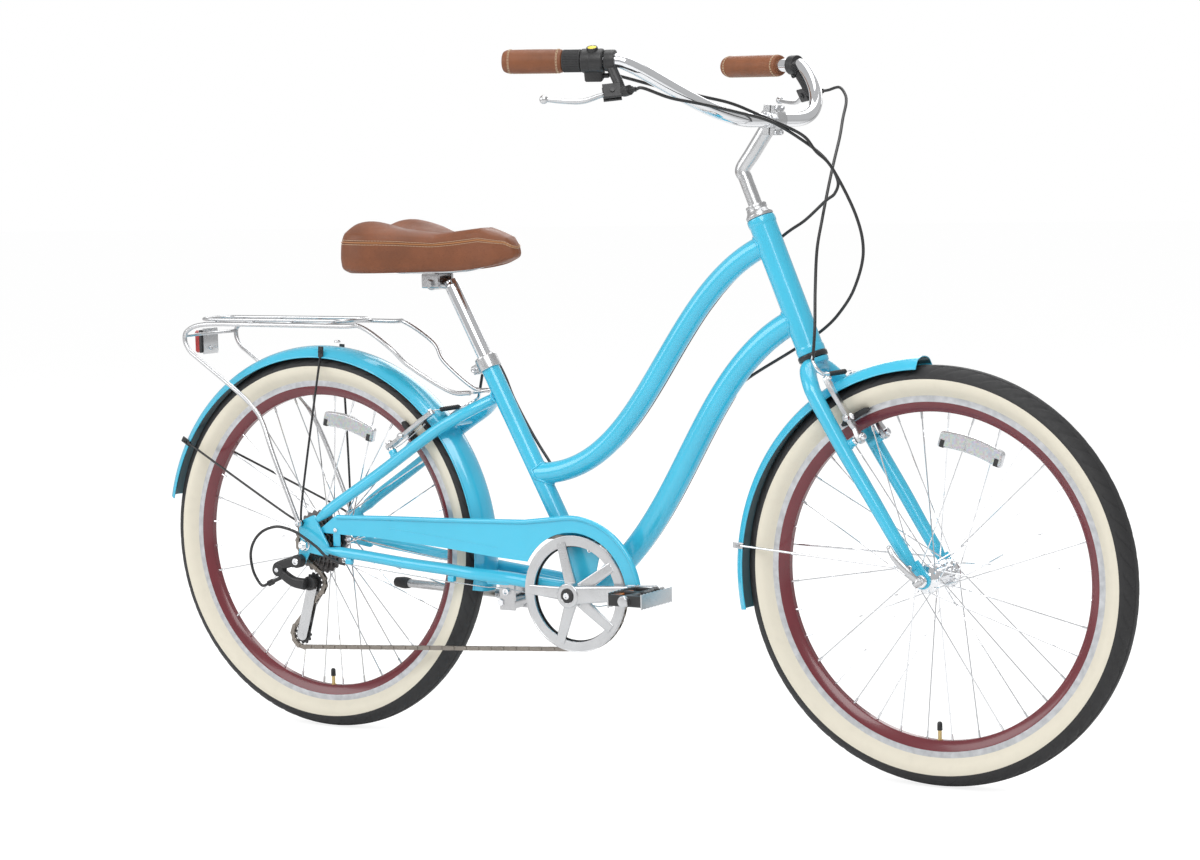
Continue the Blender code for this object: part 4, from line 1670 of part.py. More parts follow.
def shift_route():
    """The shifter's housing to the down tube, bare wire under the frame, and the rear loop of housing."""
    start = HEAD_TOP - HEAD_UP * DOWN_TUBE_TOP_DROP
    leave = Vector((-math.cos(DOWN_TUBE_TOP_ANGLE), 0.0,
                    -math.sin(DOWN_TUBE_TOP_ANGLE))) * DOWN_TUBE_TOP_REACH
    arrive = Vector((math.cos(DOWN_TUBE_FOOT_ANGLE), 0.0,
                     math.sin(DOWN_TUBE_FOOT_ANGLE))) * DOWN_TUBE_FOOT_REACH
    tube_run = along_tube(start, leave, BRACKET_CENTRE, arrive, DOWN_TUBE_RADIUS, 0.26, 0.90, 7)
    centre, under = shifter_centre()
    mouth = centre + under * SHIFTER_GUIDE_DROP + on_forward(1.0) * (SHIFTER_GUIDE_REACH + GAP)
    housing = [mouth, mouth + on_forward(1.0) * 0.012] + SHIFT_CABLE_FRONT + tube_run
    wire_run = [tube_run[-1] + Vector((-0.012, 0.0, -0.010))] + SHIFT_CABLE_WIRE
    loop = SHIFT_CABLE_LOOP + [BARREL_ADJUSTER + Vector((-0.012, 0.0, -0.0035)),
                               BARREL_ADJUSTER - Vector((0.0005, 0.0, 0.0002))]
    return [(housing, HOUSING_RADIUS, 1), (wire_run, WIRE_RADIUS, 1), (loop, HOUSING_RADIUS, 1)]


def make_cables():
    """The brake and shift cables, whole from control to brake or derailleur along their real routes."""
    for name, route in (("front_brake_cable", front_route()), ("rear_brake_cable", rear_route()),
                        ("shift_cable", shift_route())):
        path, radii = [], []
        for points, radius, steps in route:
            run = smooth_path(points, steps)
            path += run
            radii += [radius] * len(run)
        part(name, tube(path, HOUSING_RADIUS, resolution=0, radii=radii), RUBBER)


def make_wheels():
    """Both wheels: tyre, rim, and hub with spokes and reflector."""
    make_tyre("front_tyre", FRONT_AXLE, FRONT_AXLE)
    make_rim("front_rim", FRONT_AXLE, FRONT_AXLE)
    make_spokes("front_spokes", FRONT_AXLE, -FRONT_FLANGE_Y, FRONT_FLANGE_Y,
                (-FRONT_HUB_HALF, FRONT_HUB_HALF),
                FRONT_AXLE, math.radians(FRONT_REFLECTOR_ANGLE))
    make_tyre("rear_tyre", REAR_AXLE, REAR_AXLE)
    make_rim("rear_rim", REAR_AXLE, REAR_AXLE)
    make_spokes("rear_spokes", REAR_AXLE, REAR_RIGHT_FLANGE_Y, REAR_LEFT_FLANGE_Y,
                (-REAR_HUB_RIGHT, REAR_HUB_LEFT),
                REAR_AXLE, math.radians(REAR_REFLECTOR_ANGLE))


def main():
    make_head_tube()
    make_main_tubes()
    make_seat_stays()
    make_chainstays()
    make_kickstand()
    make_seat_clamp()
    make_fenders()
    make_chain_guard()
    make_fork()
    make_headset_cap()
    make_stem()
    make_handlebar()
    make_grips()
    make_shifter()
    make_brake_levers()
    make_brakes()
    make_wheels()
    make_axles()
    make_chainring()
    make_cranks()
    make_pedals()
    make_chain()
    make_freewheel()
    make_derailleur()
    make_seatpost()
    make_saddle()
    make_rack()
    make_cables()


PARTS, TOOLS, ROOT = start_scene()
PAINT = material("sky_blue_enamel", (0.05, 0.60, 0.80), 0.25)
ALLOY = material("satin_alloy", (0.70, 0.70, 0.70), 0.35, 1.0)
CHROME = material("chrome", (0.80, 0.80, 0.80), 0.10, 1.0)
STEEL = material("plated_steel", (0.55, 0.55, 0.56), 0.35, 1.0)
CHAIN_STEEL = material("oiled_chain_steel", (0.22, 0.19, 0.16), 0.40, 1.0)
COG_STEEL = material("dark_cog_steel", (0.12, 0.11, 0.11), 0.45, 1.0)
PLASTIC = material("black_plastic", (0.02, 0.02, 0.02), 0.45)
RUBBER = material("black_rubber", (0.02, 0.02, 0.02), 0.70)
LEATHER = material("brown_leather", (0.28, 0.09, 0.035), 0.45)
TYRE = material("cream_wall_tyre", (0.75, 0.72, 0.64), 0.70)
RIM_PAINT = material("burgundy_rim", (0.20, 0.03, 0.04), 0.35)
main()
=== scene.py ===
"""Dresses the step-through bicycle: finishes, detailed pieces, stage, lights and camera.

Every surface is a function of two parameters worked out with numpy. Sizes are in metres, in the
bicycle's own coordinates: x forwards from the rear axle, y to the left, z up from the ground.
"""
import logging
import math
from dataclasses import dataclass, field
from enum import Enum
from typing import Callable, Iterable, Sequence

import bmesh
import bpy
import numpy as np
from mathutils import Matrix


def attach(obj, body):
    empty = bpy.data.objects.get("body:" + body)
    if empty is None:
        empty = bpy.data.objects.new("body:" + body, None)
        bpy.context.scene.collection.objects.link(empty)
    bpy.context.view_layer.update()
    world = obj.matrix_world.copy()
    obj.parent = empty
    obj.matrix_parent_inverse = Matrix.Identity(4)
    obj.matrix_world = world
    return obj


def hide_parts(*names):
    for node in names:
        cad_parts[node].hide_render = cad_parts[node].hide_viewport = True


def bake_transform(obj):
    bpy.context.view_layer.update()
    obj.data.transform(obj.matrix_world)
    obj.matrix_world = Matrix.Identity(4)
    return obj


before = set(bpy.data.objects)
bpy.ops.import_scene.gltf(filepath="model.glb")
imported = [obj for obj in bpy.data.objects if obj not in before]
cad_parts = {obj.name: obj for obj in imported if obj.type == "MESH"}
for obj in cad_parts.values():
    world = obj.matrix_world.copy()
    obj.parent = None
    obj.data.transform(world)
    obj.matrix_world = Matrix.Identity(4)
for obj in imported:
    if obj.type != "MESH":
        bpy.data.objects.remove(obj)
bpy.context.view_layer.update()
LOG = logging.getLogger("bicycle")

Array = np.ndarray
ORIGIN_X = 0.579
REAR_AXLE = np.array([0.0, 0.0, 0.330])
FRONT_AXLE = np.array([1.180, 0.0, 0.330])
BRACKET = np.array([0.547, 0.0, 0.2735])
HEAD_BOTTOM = np.array([0.967, 0.0, 0.673])
HEAD_UP = np.array([-0.377841, 0.0, 0.925871])
SEAT_TOP = np.array([0.345, 0.0, 0.656])
SEAT_UP = np.array([-0.466985, 0.0, 0.884265])
HEAD_TOP = HEAD_BOTTOM + HEAD_UP * 0.233
TAU = 2.0 * math.pi
CRANK_LENGTH = 0.170
CRANK_ANGLE = 5.0
STUD_REACH = 0.0195
BOSS_LENGTH = 0.024
BOSS_GAP = 0.0008
BRAKE_ARM_LENGTH = 0.112
CHAIN_LINE_Y = -0.0500
CHAIN_PITCH = 0.0127
PULLEY_PITCH_RADIUS = 0.02254


def vec(*values: float) -> Array:
    """A point or direction as an array of floats."""
    return np.array(values, dtype=float)


def heading(degrees: float) -> Array:
    """A direction in the bicycle's middle plane, at an angle above the way forwards."""
    return vec(math.cos(math.radians(degrees)), 0, math.sin(math.radians(degrees)))


def unit(direction: Array) -> Array:
    """The direction with length one, row by row for a table of directions."""
    d = np.asarray(direction, dtype=float)
    return d / np.linalg.norm(d, axis=-1, keepdims=True)


TOP_TUBE_LEAVES, TOP_TUBE_ARRIVES = -heading(20.4), heading(1.4)
TOP_TUBE_START, TOP_TUBE_FOOT = HEAD_TOP - HEAD_UP * 0.043, vec(0.4461, 0, 0.4646)
TOP_TUBE = (TOP_TUBE_START, TOP_TUBE_START + TOP_TUBE_LEAVES * 0.210,
            TOP_TUBE_FOOT + TOP_TUBE_ARRIVES * 0.220, TOP_TUBE_FOOT)
DOWN_TUBE_LEAVES, DOWN_TUBE_ARRIVES = -heading(24.5), heading(32.6)
DOWN_TUBE_START = HEAD_TOP - HEAD_UP * 0.172
DOWN_TUBE = (DOWN_TUBE_START, DOWN_TUBE_START + DOWN_TUBE_LEAVES * 0.208,
             BRACKET + DOWN_TUBE_ARRIVES * 0.226, BRACKET)


@dataclass
class Solid:
    """A surface as points, four-sided faces and the many-sided faces that close it."""

    points: Array
    quads: Array
    caps: list[list[int]] = field(default_factory=list)

    @staticmethod
    def empty() -> "Solid":
        """A surface without points, to which others are added."""
        return Solid(np.zeros((0, 3)), np.zeros((0, 4), dtype=int))

    def __add__(self, other: "Solid") -> "Solid":
        """Both surfaces as one mesh, without welding them.

        Args:
            other: the surface to add.

        Returns:
            The points and faces of the two.
        """
        step = len(self.points)
        caps = self.caps + [[i + step for i in cap] for cap in other.caps]
        return Solid(np.vstack([self.points, other.points]), np.vstack([self.quads, other.quads + step]),
                     caps)

    def turned(self, matrix: Array, shift: Sequence[float] = (0.0, 0.0, 0.0)) -> "Solid":
        """The surface under a three by three matrix, then a shift.

        Args:
            matrix: columns are where the local axes go.
            shift: added to every point.

        Returns:
            A new surface, with its faces flipped if the matrix mirrors.
        """
        flip = np.linalg.det(matrix) < 0.0
        quads = self.quads[:, ::-1] if flip else self.quads
        caps = [list(reversed(cap)) for cap in self.caps] if flip else self.caps
        return Solid(self.points @ np.asarray(matrix).T + np.asarray(shift, dtype=float), quads, caps)

    def mirrored(self) -> "Solid":
        """The surface on the bicycle's other side."""
        return self.turned(np.diag([1.0, -1.0, 1.0]))


def together(solids: Iterable[Solid]) -> Solid:
    """Many surfaces as one mesh.

    Args:
        solids: at least one surface.

    Returns:
        The points and faces of all, in their order.
    """
    made = list(solids)
    total = made[0]
    for solid in made[1:]:
        total = total + solid
    return total


def basis(z_axis: Array, hint: Sequence[float] = (0.0, 1.0, 0.0)) -> Array:
    """A turning matrix with its third column along z_axis and its first as near as can be to hint.

    Args:
        z_axis: direction of the third column.
        hint: direction that the first column keeps to.

    Returns:
        Three columns of length one, square to each other.
    """
    z = unit(z_axis)
    x = np.asarray(hint, dtype=float) - z * np.dot(hint, z)
    x = unit(x) if np.linalg.norm(x) > 1e-6 else unit(np.cross(z, [0.3, 0.7, 0.6]))
    return np.column_stack([x, np.cross(z, x), z])


def grid_faces(rows: int, columns: int, wrap_rows: bool, wrap_columns: bool) -> Array:
    """The four-sided faces of a grid of points stored row after row.

    Args:
        rows: number of rows of points.
        columns: number of points in a row.
        wrap_rows: the last row joins the first.
        wrap_columns: the last column joins the first.

    Returns:
        Faces as rows of four indices.
    """
    r = np.arange(rows if wrap_rows else rows - 1)
    c = np.arange(columns if wrap_columns else columns - 1)
    r, c = (a.ravel() for a in np.meshgrid(r, c, indexing="ij"))
    r2, c2 = (r + 1) % rows, (c + 1) % columns
    return np.column_stack([r * columns + c, r * columns + c2, r2 * columns + c2, r2 * columns + c])


def end_caps(rows: int, columns: int) -> list[list[int]]:
    """The faces that close the first and the last row of a grid of points."""
    return [list(range(columns))[::-1], list(range((rows - 1) * columns, rows * columns))]


def lathe(profile: Sequence[Sequence[float]], centre: Array, axis: Array, steps: int = 48,
          loop: bool = False, swell: Callable[[Array, Array], Array] | None = None,
          hint: Sequence[float] = (0.0, 0.0, 1.0)) -> Solid:
    """A turned form: point(a, k) = centre + r(k) (cos a X + sin a Y) + h(k) axis.

    Args:
        profile: rows of radius and height; the outside lies to the right of the way it runs.
        centre: where height is nought.
        axis: the turning axis.
        steps: points round the axis.
        loop: the profile closes on itself; otherwise its ends are capped.
        swell: gives an offset of the radius from the angle and the profile's row number.
        hint: direction of angle nought.

    Returns:
        The turned surface.
    """
    table = np.asarray(profile, dtype=float)
    turn = basis(axis, hint)
    angle, row = np.meshgrid(np.arange(steps) * TAU / steps, np.arange(len(table)), indexing="xy")
    radius = table[:, 0][:, None] + (swell(angle, row) if swell else 0.0)
    local = np.stack([radius * np.cos(angle), radius * np.sin(angle), table[:, 1][:, None] + 0.0 * angle],
                     axis=-1)
    points = local.reshape(-1, 3) @ turn.T + np.asarray(centre)
    return Solid(points, grid_faces(len(table), steps, loop, True),
                 [] if loop else end_caps(len(table), steps))


def rod(start: Array, end: Array, radius: float, sides: int = 24, edge: float = 0.0004) -> Solid:
    """A round bar from one point to another, its end edges eased.

    Args:
        start: middle of one end.
        end: middle of the other.
        radius: of the bar.
        sides: points round it.
        edge: how far the end edges are taken off.

    Returns:
        The closed bar.
    """
    length = float(np.linalg.norm(np.asarray(end) - start))
    edge = min(edge, radius * 0.4, length * 0.4)
    profile = [(radius - edge, 0.0), (radius, edge), (radius, length - edge), (radius - edge, length)]
    return lathe(profile, start, np.asarray(end) - start, sides)


def rounded(profile: Sequence[Sequence[float]], reach: float, steps: int = 3) -> Array:
    """A profile whose inner corners are eased by a curve that leaves each side at reach from it.

    Args:
        profile: rows of two coordinates.
        reach: how far from a corner its curve begins.
        steps: parts of each curve.

    Returns:
        The profile with (1-t)^2 near + 2t(1-t) corner + t^2 far at each inner corner.
    """
    table = np.asarray(profile, dtype=float)
    made = [table[0]]
    share = np.linspace(0.0, 1.0, steps + 1)[:, None]
    for before, corner, after in zip(table[:-2], table[1:-1], table[2:]):
        back, on = before - corner, after - corner
        near = corner + back * min(reach / max(np.linalg.norm(back), 1e-9), 0.45)
        far = corner + on * min(reach / max(np.linalg.norm(on), 1e-9), 0.45)
        made.extend((1 - share) ** 2 * near + 2 * share * (1 - share) * corner + share ** 2 * far)
    made.append(table[-1])
    return np.array(made)


def spun(profile: Sequence[Sequence[float]], ease: float, centre: Array, axis: Array, steps: int = 48,
         loop: bool = False, swell: Callable[[Array, Array], Array] | None = None) -> Solid:
    """A turned form whose profile has its corners eased: the lathe of rounded.

    Args:
        profile: rows of radius and height.
        ease: how far from a corner its curve begins.
        centre: where height is nought.
        axis: the turning axis.
        steps: points round the axis.
        loop: the profile closes on itself.
        swell: gives an offset of the radius from the angle and the profile's row number.

    Returns:
        The turned surface.
    """
    return lathe(rounded(profile, ease), centre, axis, steps, loop, swell)


def through(points: Sequence[Sequence[float]], steps: int = 8, loop: bool = False) -> Array:
    """A smooth line through points: the Catmull-Rom cubic between each pair, read at even shares.

    Args:
        points: the places that the line meets.
        steps: parts between two of them.
        loop: the line closes on itself.

    Returns:
        The points of the line.
    """
    p = np.asarray(points, dtype=float)
    if loop:
        p = np.vstack([p[-1:], p, p[:2]])
    else:
        p = np.vstack([2 * p[:1] - p[1:2], p, 2 * p[-1:] - p[-2:-1]])
    a, b, c, d = p[:-3], p[1:-2], p[2:-1], p[3:]
    t = (np.arange(steps) / steps)[None, :, None]
    a, b, c, d = (q[:, None, :] for q in (a, b, c, d))
    line = 0.5 * (2 * b + (c - a) * t
                  + (2 * a - 5 * b + 4 * c - d) * t ** 2
                  + (3 * b - a - 3 * c + d) * t ** 3)
    line = line.reshape(-1, p.shape[1])
    return line if loop else np.vstack([line, p[-2:-1]])


def cubic(start: Array, leave: Array, arrive: Array, end: Array, steps: int = 48) -> Array:
    """A Bezier cubic from start to end with the two control points between."""
    t = np.linspace(0.0, 1.0, steps)[:, None]
    return (1 - t) ** 3 * start + 3 * t * (1 - t) ** 2 * leave + 3 * t ** 2 * (1 - t) * arrive + t ** 3 * end


def frames(path: Array, hint: Sequence[float] = (0.0, 1.0, 0.0), loop: bool = False) -> tuple[Array, Array]:
    """Two directions square to a path at each point: hint less its part along the path, and the other.

    Args:
        path: points of the path.
        hint: direction to keep to.
        loop: the path closes on itself.

    Returns:
        The direction nearest to hint and the one square to it, for each point.
    """
    if loop:
        along = unit(np.roll(path, -1, axis=0) - np.roll(path, 1, axis=0))
    else:
        along = unit(np.gradient(path, axis=0))
    side = np.asarray(hint, dtype=float)[None, :] - along * (along @ np.asarray(hint, dtype=float))[:, None]
    side = unit(side)
    return side, np.cross(along, side)


def sweep(path: Array, section: Array, hint: Sequence[float] = (0.0, 1.0, 0.0), loop: bool = False,
          scale: Array | float = 1.0) -> Solid:
    """A section carried along a path: point(i, k) = path(i) + scale(i) (u(k) side(i) + v(k) up(i)).

    Args:
        path: the points the section follows.
        section: rows of u and v, going round against the clock.
        hint: direction that u keeps to.
        loop: the path closes on itself.
        scale: one factor, or one for each point of the path (one or two columns).

    Returns:
        The swept surface, capped at its ends unless it loops.
    """
    side, up = frames(path, hint, loop)
    factor = np.broadcast_to(np.asarray(scale, dtype=float).reshape(-1, 1) if np.ndim(scale) < 2 else scale,
                             (len(path), 1 if np.ndim(scale) < 2 else 2))
    u = section[None, :, 0] * factor[:, :1]
    v = section[None, :, 1] * factor[:, -1:]
    points = path[:, None, :] + u[..., None] * side[:, None, :] + v[..., None] * up[:, None, :]
    rows, columns = u.shape
    return Solid(points.reshape(-1, 3), grid_faces(rows, columns, loop, True),
                 [] if loop else end_caps(rows, columns))


def circle(radius: float, sides: int = 24) -> Array:
    """A ring of points against the clock."""
    a = np.arange(sides) * TAU / sides
    return np.column_stack([radius * np.cos(a), radius * np.sin(a)])


def pipe(path: Array, radius: Array | float, sides: int = 24, hint: Sequence[float] = (0.0, 1.0, 0.0),
         loop: bool = False) -> Solid:
    """A round tube along a path, of one radius or one for each point."""
    return sweep(np.asarray(path, dtype=float), circle(1.0, sides), hint, loop, radius)


def wire(points: Sequence[Sequence[float]], radius: float, steps: int = 6, sides: int = 12,
         hint: Sequence[float] = (0.13, 0.97, 0.21)) -> Solid:
    """A round wire along a smooth line through points."""
    return pipe(through(points, steps), radius, sides, hint)


def ball(centre: Array, radius: float, steps: int = 24) -> Solid:
    """A sphere: the lathe of a half circle, with its poles left as small caps."""
    a = np.linspace(-math.pi / 2 + 0.08, math.pi / 2 - 0.08, steps // 2)
    return lathe(np.column_stack([radius * np.cos(a), radius * np.sin(a)]), centre, vec(0, 0, 1), steps)


def slab(outline: Array, thickness: float, turn: Array, centre: Sequence[float], ease: float = 0.0) -> Solid:
    """A flat piece: the outline at both faces, drawn in by ease at each, and walls between.

    Args:
        outline: rows of x and y, against the clock.
        thickness: between the faces, half on each side of the centre.
        turn: matrix from local to bicycle directions; its third column is the thickness.
        centre: where the outline's origin goes.
        ease: how far the edges are rounded off.

    Returns:
        The closed flat piece.
    """
    o = np.asarray(outline, dtype=float)
    n, half = len(o), thickness / 2
    tangent = unit(np.roll(o, -1, axis=0) - np.roll(o, 1, axis=0))
    inward = np.column_stack([-tangent[:, 1], tangent[:, 0]])
    levels = [(-half, ease), (-half + ease, 0.0), (half - ease, 0.0), (half, ease)] if ease else \
        [(-half, 0.0), (half, 0.0)]
    rings = [np.column_stack([o + inward * draw, np.full(n, z)]) for z, draw in levels]
    quads = grid_faces(len(levels), n, False, True)
    return Solid(np.vstack(rings), quads, end_caps(len(levels), n)).turned(turn, centre)


def box_solid(size: Sequence[float], turn: Array, centre: Sequence[float], ease: float = 0.0006) -> Solid:
    """A block with eased edges on four sides."""
    x, y = size[0] / 2, size[1] / 2
    return slab(np.array([(-x, -y), (x, -y), (x, y), (-x, y)]), size[2], turn, centre, ease)


def arc2(centre: Sequence[float], radius: float, start: float, end: float, steps: int) -> Array:
    """Points of an arc in a plane, from one angle to another in degrees."""
    a = np.radians(np.linspace(start, end, steps))
    return np.column_stack([centre[0] + radius * np.cos(a), centre[1] + radius * np.sin(a)])


SIDE_VIEW = np.column_stack([vec(1, 0, 0), vec(0, 0, 1), vec(0, -1, 0)])


def bolt(centre: Array, axis: Array, radius: float, height: float) -> Solid:
    """A bolt head with a socket: a turned cap with a six-sided hollow in its top.

    Args:
        centre: middle of the face that it stands on.
        axis: the way it points.
        radius: of the head.
        height: of the head.

    Returns:
        The head.
    """
    depth = height * 0.6

    def swell(angle: Array, row: Array) -> Array:
        """The socket's rows follow a hexagon."""
        flat = math.cos(math.pi / 6) / np.cos((angle % (math.pi / 3)) - math.pi / 6)
        return np.where(row >= 4, (flat - 1.0) * radius * 0.5, 0.0)

    profile = [(radius, 0.0), (radius, height * 0.75), (radius * 0.9, height), (radius * 0.62, height),
               (radius * 0.5, height * 0.96), (radius * 0.5, height - depth)]
    return lathe(profile, centre, axis, 24, swell=swell)


def nut(centre: Array, axis: Array, radius: float, height: float) -> Solid:
    """A six-sided nut with eased corners.

    Args:
        centre: middle of the face that it stands on.
        axis: the way it points.
        radius: to its corners.
        height: of the nut.

    Returns:
        The nut.
    """
    a = np.radians(np.arange(6) * 60.0)
    outline = radius * np.column_stack([np.cos(a), np.sin(a)])
    return slab(outline, height, basis(axis), np.asarray(centre) + unit(axis) * height / 2, radius * 0.06)


class Part:
    @staticmethod
    def world(point: Array) -> Array:
        """A point of the bicycle's coordinates in the row's."""
        return point - vec(ORIGIN_X, 0.0, 0.0)

    @staticmethod
    def free(name: str, solid: Solid, finish: "Finish", replaces: Sequence[str] = (),
             angle: float = 38.0) -> bpy.types.Object:
        """Puts a surface in the scene as an object at the origin that rides on no body yet.

        Args:
            name: the object's name.
            solid: its surface in the bicycle's coordinates.
            finish: its finish.
            replaces: nodes of the frame that it stands for.
            angle: edges sharper than this stay sharp, in degrees.

        Returns:
            The object.
        """
        mesh = bpy.data.meshes.new(name)
        points = Part.world(solid.points)
        mesh.from_pydata(points.tolist(), [], solid.quads.tolist() + solid.caps)
        mesh.validate()
        shell = bmesh.new()
        shell.from_mesh(mesh)
        bmesh.ops.recalc_face_normals(shell, faces=shell.faces)
        shell.to_mesh(mesh)
        shell.free()
        mesh.shade_smooth()
        mesh.set_sharp_from_angle(angle=math.radians(angle))
        mesh.materials.append(finish.material())
        made = bpy.data.objects.new(name, mesh)
        bpy.context.scene.collection.objects.link(made)
        if replaces:
            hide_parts(*replaces)
        LOG.info("%s: %d points", name, len(solid.points))
        return made

    @staticmethod
    def place(name: str, solid: Solid, body: str, finish: "Finish", replaces: Sequence[str] = (),
              angle: float = 38.0) -> bpy.types.Object:
        """As free, and the object rides on a body.

        Args:
            name: the object's name.
            solid: its surface in the bicycle's coordinates.
            body: the body that it rides on.
            finish: its finish.
            replaces: nodes of the frame that it stands for.
            angle: edges sharper than this stay sharp, in degrees.

        Returns:
            The finished object.
        """
        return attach(Part.free(name, solid, finish, replaces, angle), body)


class Nodes:
    """A short way to write a material's nodes and links."""

    def __init__(self, name: str) -> None:
        """Starts an empty material of one name with its Principled shader.

        Args:
            name: of the material.
        """
        self.made = bpy.data.materials.new(name)
        self.made.use_nodes = True
        self.tree = self.made.node_tree
        self.shader = self.tree.nodes["Principled BSDF"]
        self.where = self.add("ShaderNodeTexCoord").outputs["Object"]

    def add(self, kind: str, **settings: object) -> bpy.types.Node:
        """Adds a node and gives it its settings.

        Args:
            kind: the node's type name.
            settings: attributes of the node, or values of its inputs by name with _ for a space.

        Returns:
            The new node.
        """
        node = self.tree.nodes.new(kind)
        for key, value in settings.items():
            if hasattr(node, key):
                setattr(node, key, value)
            else:
                node.inputs[key.replace("_", " ")].default_value = value
        return node

    def link(self, source: bpy.types.NodeSocket, target: bpy.types.NodeSocket) -> None:
        """Joins an output to an input."""
        self.tree.links.new(source, target)

    def math(self, operation: str, first: object, second: object = 0.0) -> bpy.types.NodeSocket:
        """A Math node of two values, each a number or a socket, and its output.

        Args:
            operation: the node's operation.
            first: first value.
            second: second value.

        Returns:
            The result.
        """
        node = self.add("ShaderNodeMath", operation=operation)
        for index, value in enumerate((first, second)):
            if isinstance(value, bpy.types.NodeSocket):
                self.link(value, node.inputs[index])
            else:
                node.inputs[index].default_value = value
        return node.outputs[0]

    def from_axle(self, axle: Sequence[float]) -> bpy.types.NodeSocket:
        """Distance r = sqrt(x^2 + z^2) from an axle along Y, given by a bicycle point on it.

        Args:
            axle: a point of the axle in bicycle coordinates.

        Returns:
            The distance in metres.
        """
        move = self.add("ShaderNodeMapping", vector_type="POINT")
        move.inputs["Location"].default_value = tuple(-Part.world(vec(*axle)))
        self.link(self.where, move.inputs["Vector"])
        xyz = self.add("ShaderNodeSeparateXYZ")
        self.link(move.outputs[0], xyz.inputs[0])
        x, z = (self.math("POWER", xyz.outputs[index], 2.0) for index in (0, 2))
        return self.math("SQRT", self.math("ADD", x, z))

    def noise(self, scale: float, detail: float = 3.0) -> bpy.types.NodeSocket:
        """Noise of a scale in cells a metre.

        Args:
            scale: cells a metre.
            detail: how many finer layers lie over it.

        Returns:
            The noise, from nought to one.
        """
        node = self.add("ShaderNodeTexNoise", Scale=scale, Detail=detail)
        self.link(self.where, node.inputs["Vector"])
        return node.outputs["Fac"]

    def spread(self, noise: bpy.types.NodeSocket, low: tuple[float, float], high: tuple[float, float]
               ) -> bpy.types.NodeSocket:
        """A roughness that wanders with a noise: low and high are places of the ramp with their roughness."""
        return self.ramp(noise, [(place, (rough,) * 3) for place, rough in (low, high)])

    def cells(self, scale: float, feature: str = "F1") -> bpy.types.NodeSocket:
        """Distances of a cell pattern.

        Args:
            scale: cells a metre.
            feature: which distance: to the cell's point or to its edge.

        Returns:
            The distance.
        """
        node = self.add("ShaderNodeTexVoronoi", feature=feature, Scale=scale)
        self.link(self.where, node.inputs["Vector"])
        return node.outputs["Distance"]

    def ramp(self, value: bpy.types.NodeSocket, stops: Sequence[tuple[float, Sequence[float]]],
             sharp: bool = False) -> bpy.types.NodeSocket:
        """A colour ramp: places from nought to one with their colours.

        Args:
            value: what the ramp is read by.
            stops: places and colours, in order.
            sharp: colours change at a line and not in a blend.

        Returns:
            The colour.
        """
        node = self.add("ShaderNodeValToRGB")
        node.color_ramp.interpolation = "CONSTANT" if sharp else "LINEAR"
        parts = node.color_ramp.elements
        while len(parts) < len(stops):
            parts.new(0.5)
        for element, (place, colour) in zip(parts, stops):
            element.position = place
            element.color = (*colour[:3], 1.0)
        self.link(value, node.inputs[0])
        return node.outputs["Color"]

    def blend(self, share: bpy.types.NodeSocket | float, first: object, second: object,
              way: str = "MIX") -> bpy.types.NodeSocket:
        """Two colours mixed by a share.

        Args:
            share: of the second colour.
            first: colour or output.
            second: colour or output.
            way: how they are mixed.

        Returns:
            The mixed colour.
        """
        node = self.add("ShaderNodeMix", data_type="RGBA", blend_type=way)
        for index, value in ((0, share), (6, first), (7, second)):
            if isinstance(value, bpy.types.NodeSocket):
                self.link(value, node.inputs[index])
            elif index == 0:
                node.inputs[0].default_value = value
            else:
                node.inputs[index].default_value = (*value[:3], 1.0)
        return node.outputs[2]

    def bump(self, height: bpy.types.NodeSocket, depth: float, strength: float = 1.0) -> None:
        """Raises the shader's normal by a height in metres, over any bump that is there.

        Args:
            height: the pattern.
            depth: metres from its lowest to its highest.
            strength: share of the bump that shows.
        """
        node = self.add("ShaderNodeBump", Strength=strength, Distance=depth)
        self.link(height, node.inputs["Height"])
        before = self.shader.inputs["Normal"]
        if before.is_linked:
            self.link(before.links[0].from_socket, node.inputs["Normal"])
        self.link(node.outputs[0], before)

    def set(self, **values: object) -> None:
        """Sets the shader's sockets: numbers are written, outputs are linked."""
        for key, value in values.items():
            socket = self.shader.inputs[key.replace("_", " ")]
            if isinstance(value, bpy.types.NodeSocket):
                self.link(value, socket)
            else:
                is_colour = isinstance(value, tuple) and len(value) == 3
                socket.default_value = (*value, 1.0) if is_colour else value


@dataclass(frozen=True)
class Finish:
    """A finish: its name, the record's slot that it belongs to, its colour and its roughness."""

    name: str
    slot: str
    colour: tuple[float, float, float]
    rough: float = 0.4

    def material(self) -> bpy.types.Material:
        """The material of this finish, made once."""
        return bpy.data.materials.get(self.name) or self.make(Nodes(self.name))

    def make(self, n: Nodes) -> bpy.types.Material:
        """Writes the finish's nodes and gives back the material."""
        raise NotImplementedError


@dataclass(frozen=True)
class Enamel(Finish):
    """Glossy paint under clear lacquer, with a trace of orange peel and a little dust."""

    coat: float = 0.8

    def make(self, n: Nodes) -> bpy.types.Material:
        """Paint of nearly one colour, a shade deeper in broad patches.

        Args:
            n: writes the nodes of the finish's own material.

        Returns:
            The material.
        """
        deep = tuple(c * 0.93 for c in self.colour)
        n.set(Base_Color=n.ramp(n.noise(9.0, 2.0), [(0.35, deep), (0.65, self.colour)]),
              Roughness=n.spread(n.noise(240.0, 4.0), (0.3, self.rough), (0.8, self.rough + 0.06)),
              Coat_Weight=self.coat, Coat_Roughness=0.06, Specular_IOR_Level=0.5)
        n.bump(n.noise(520.0, 1.0), 0.000012, 0.35)
        return n.made


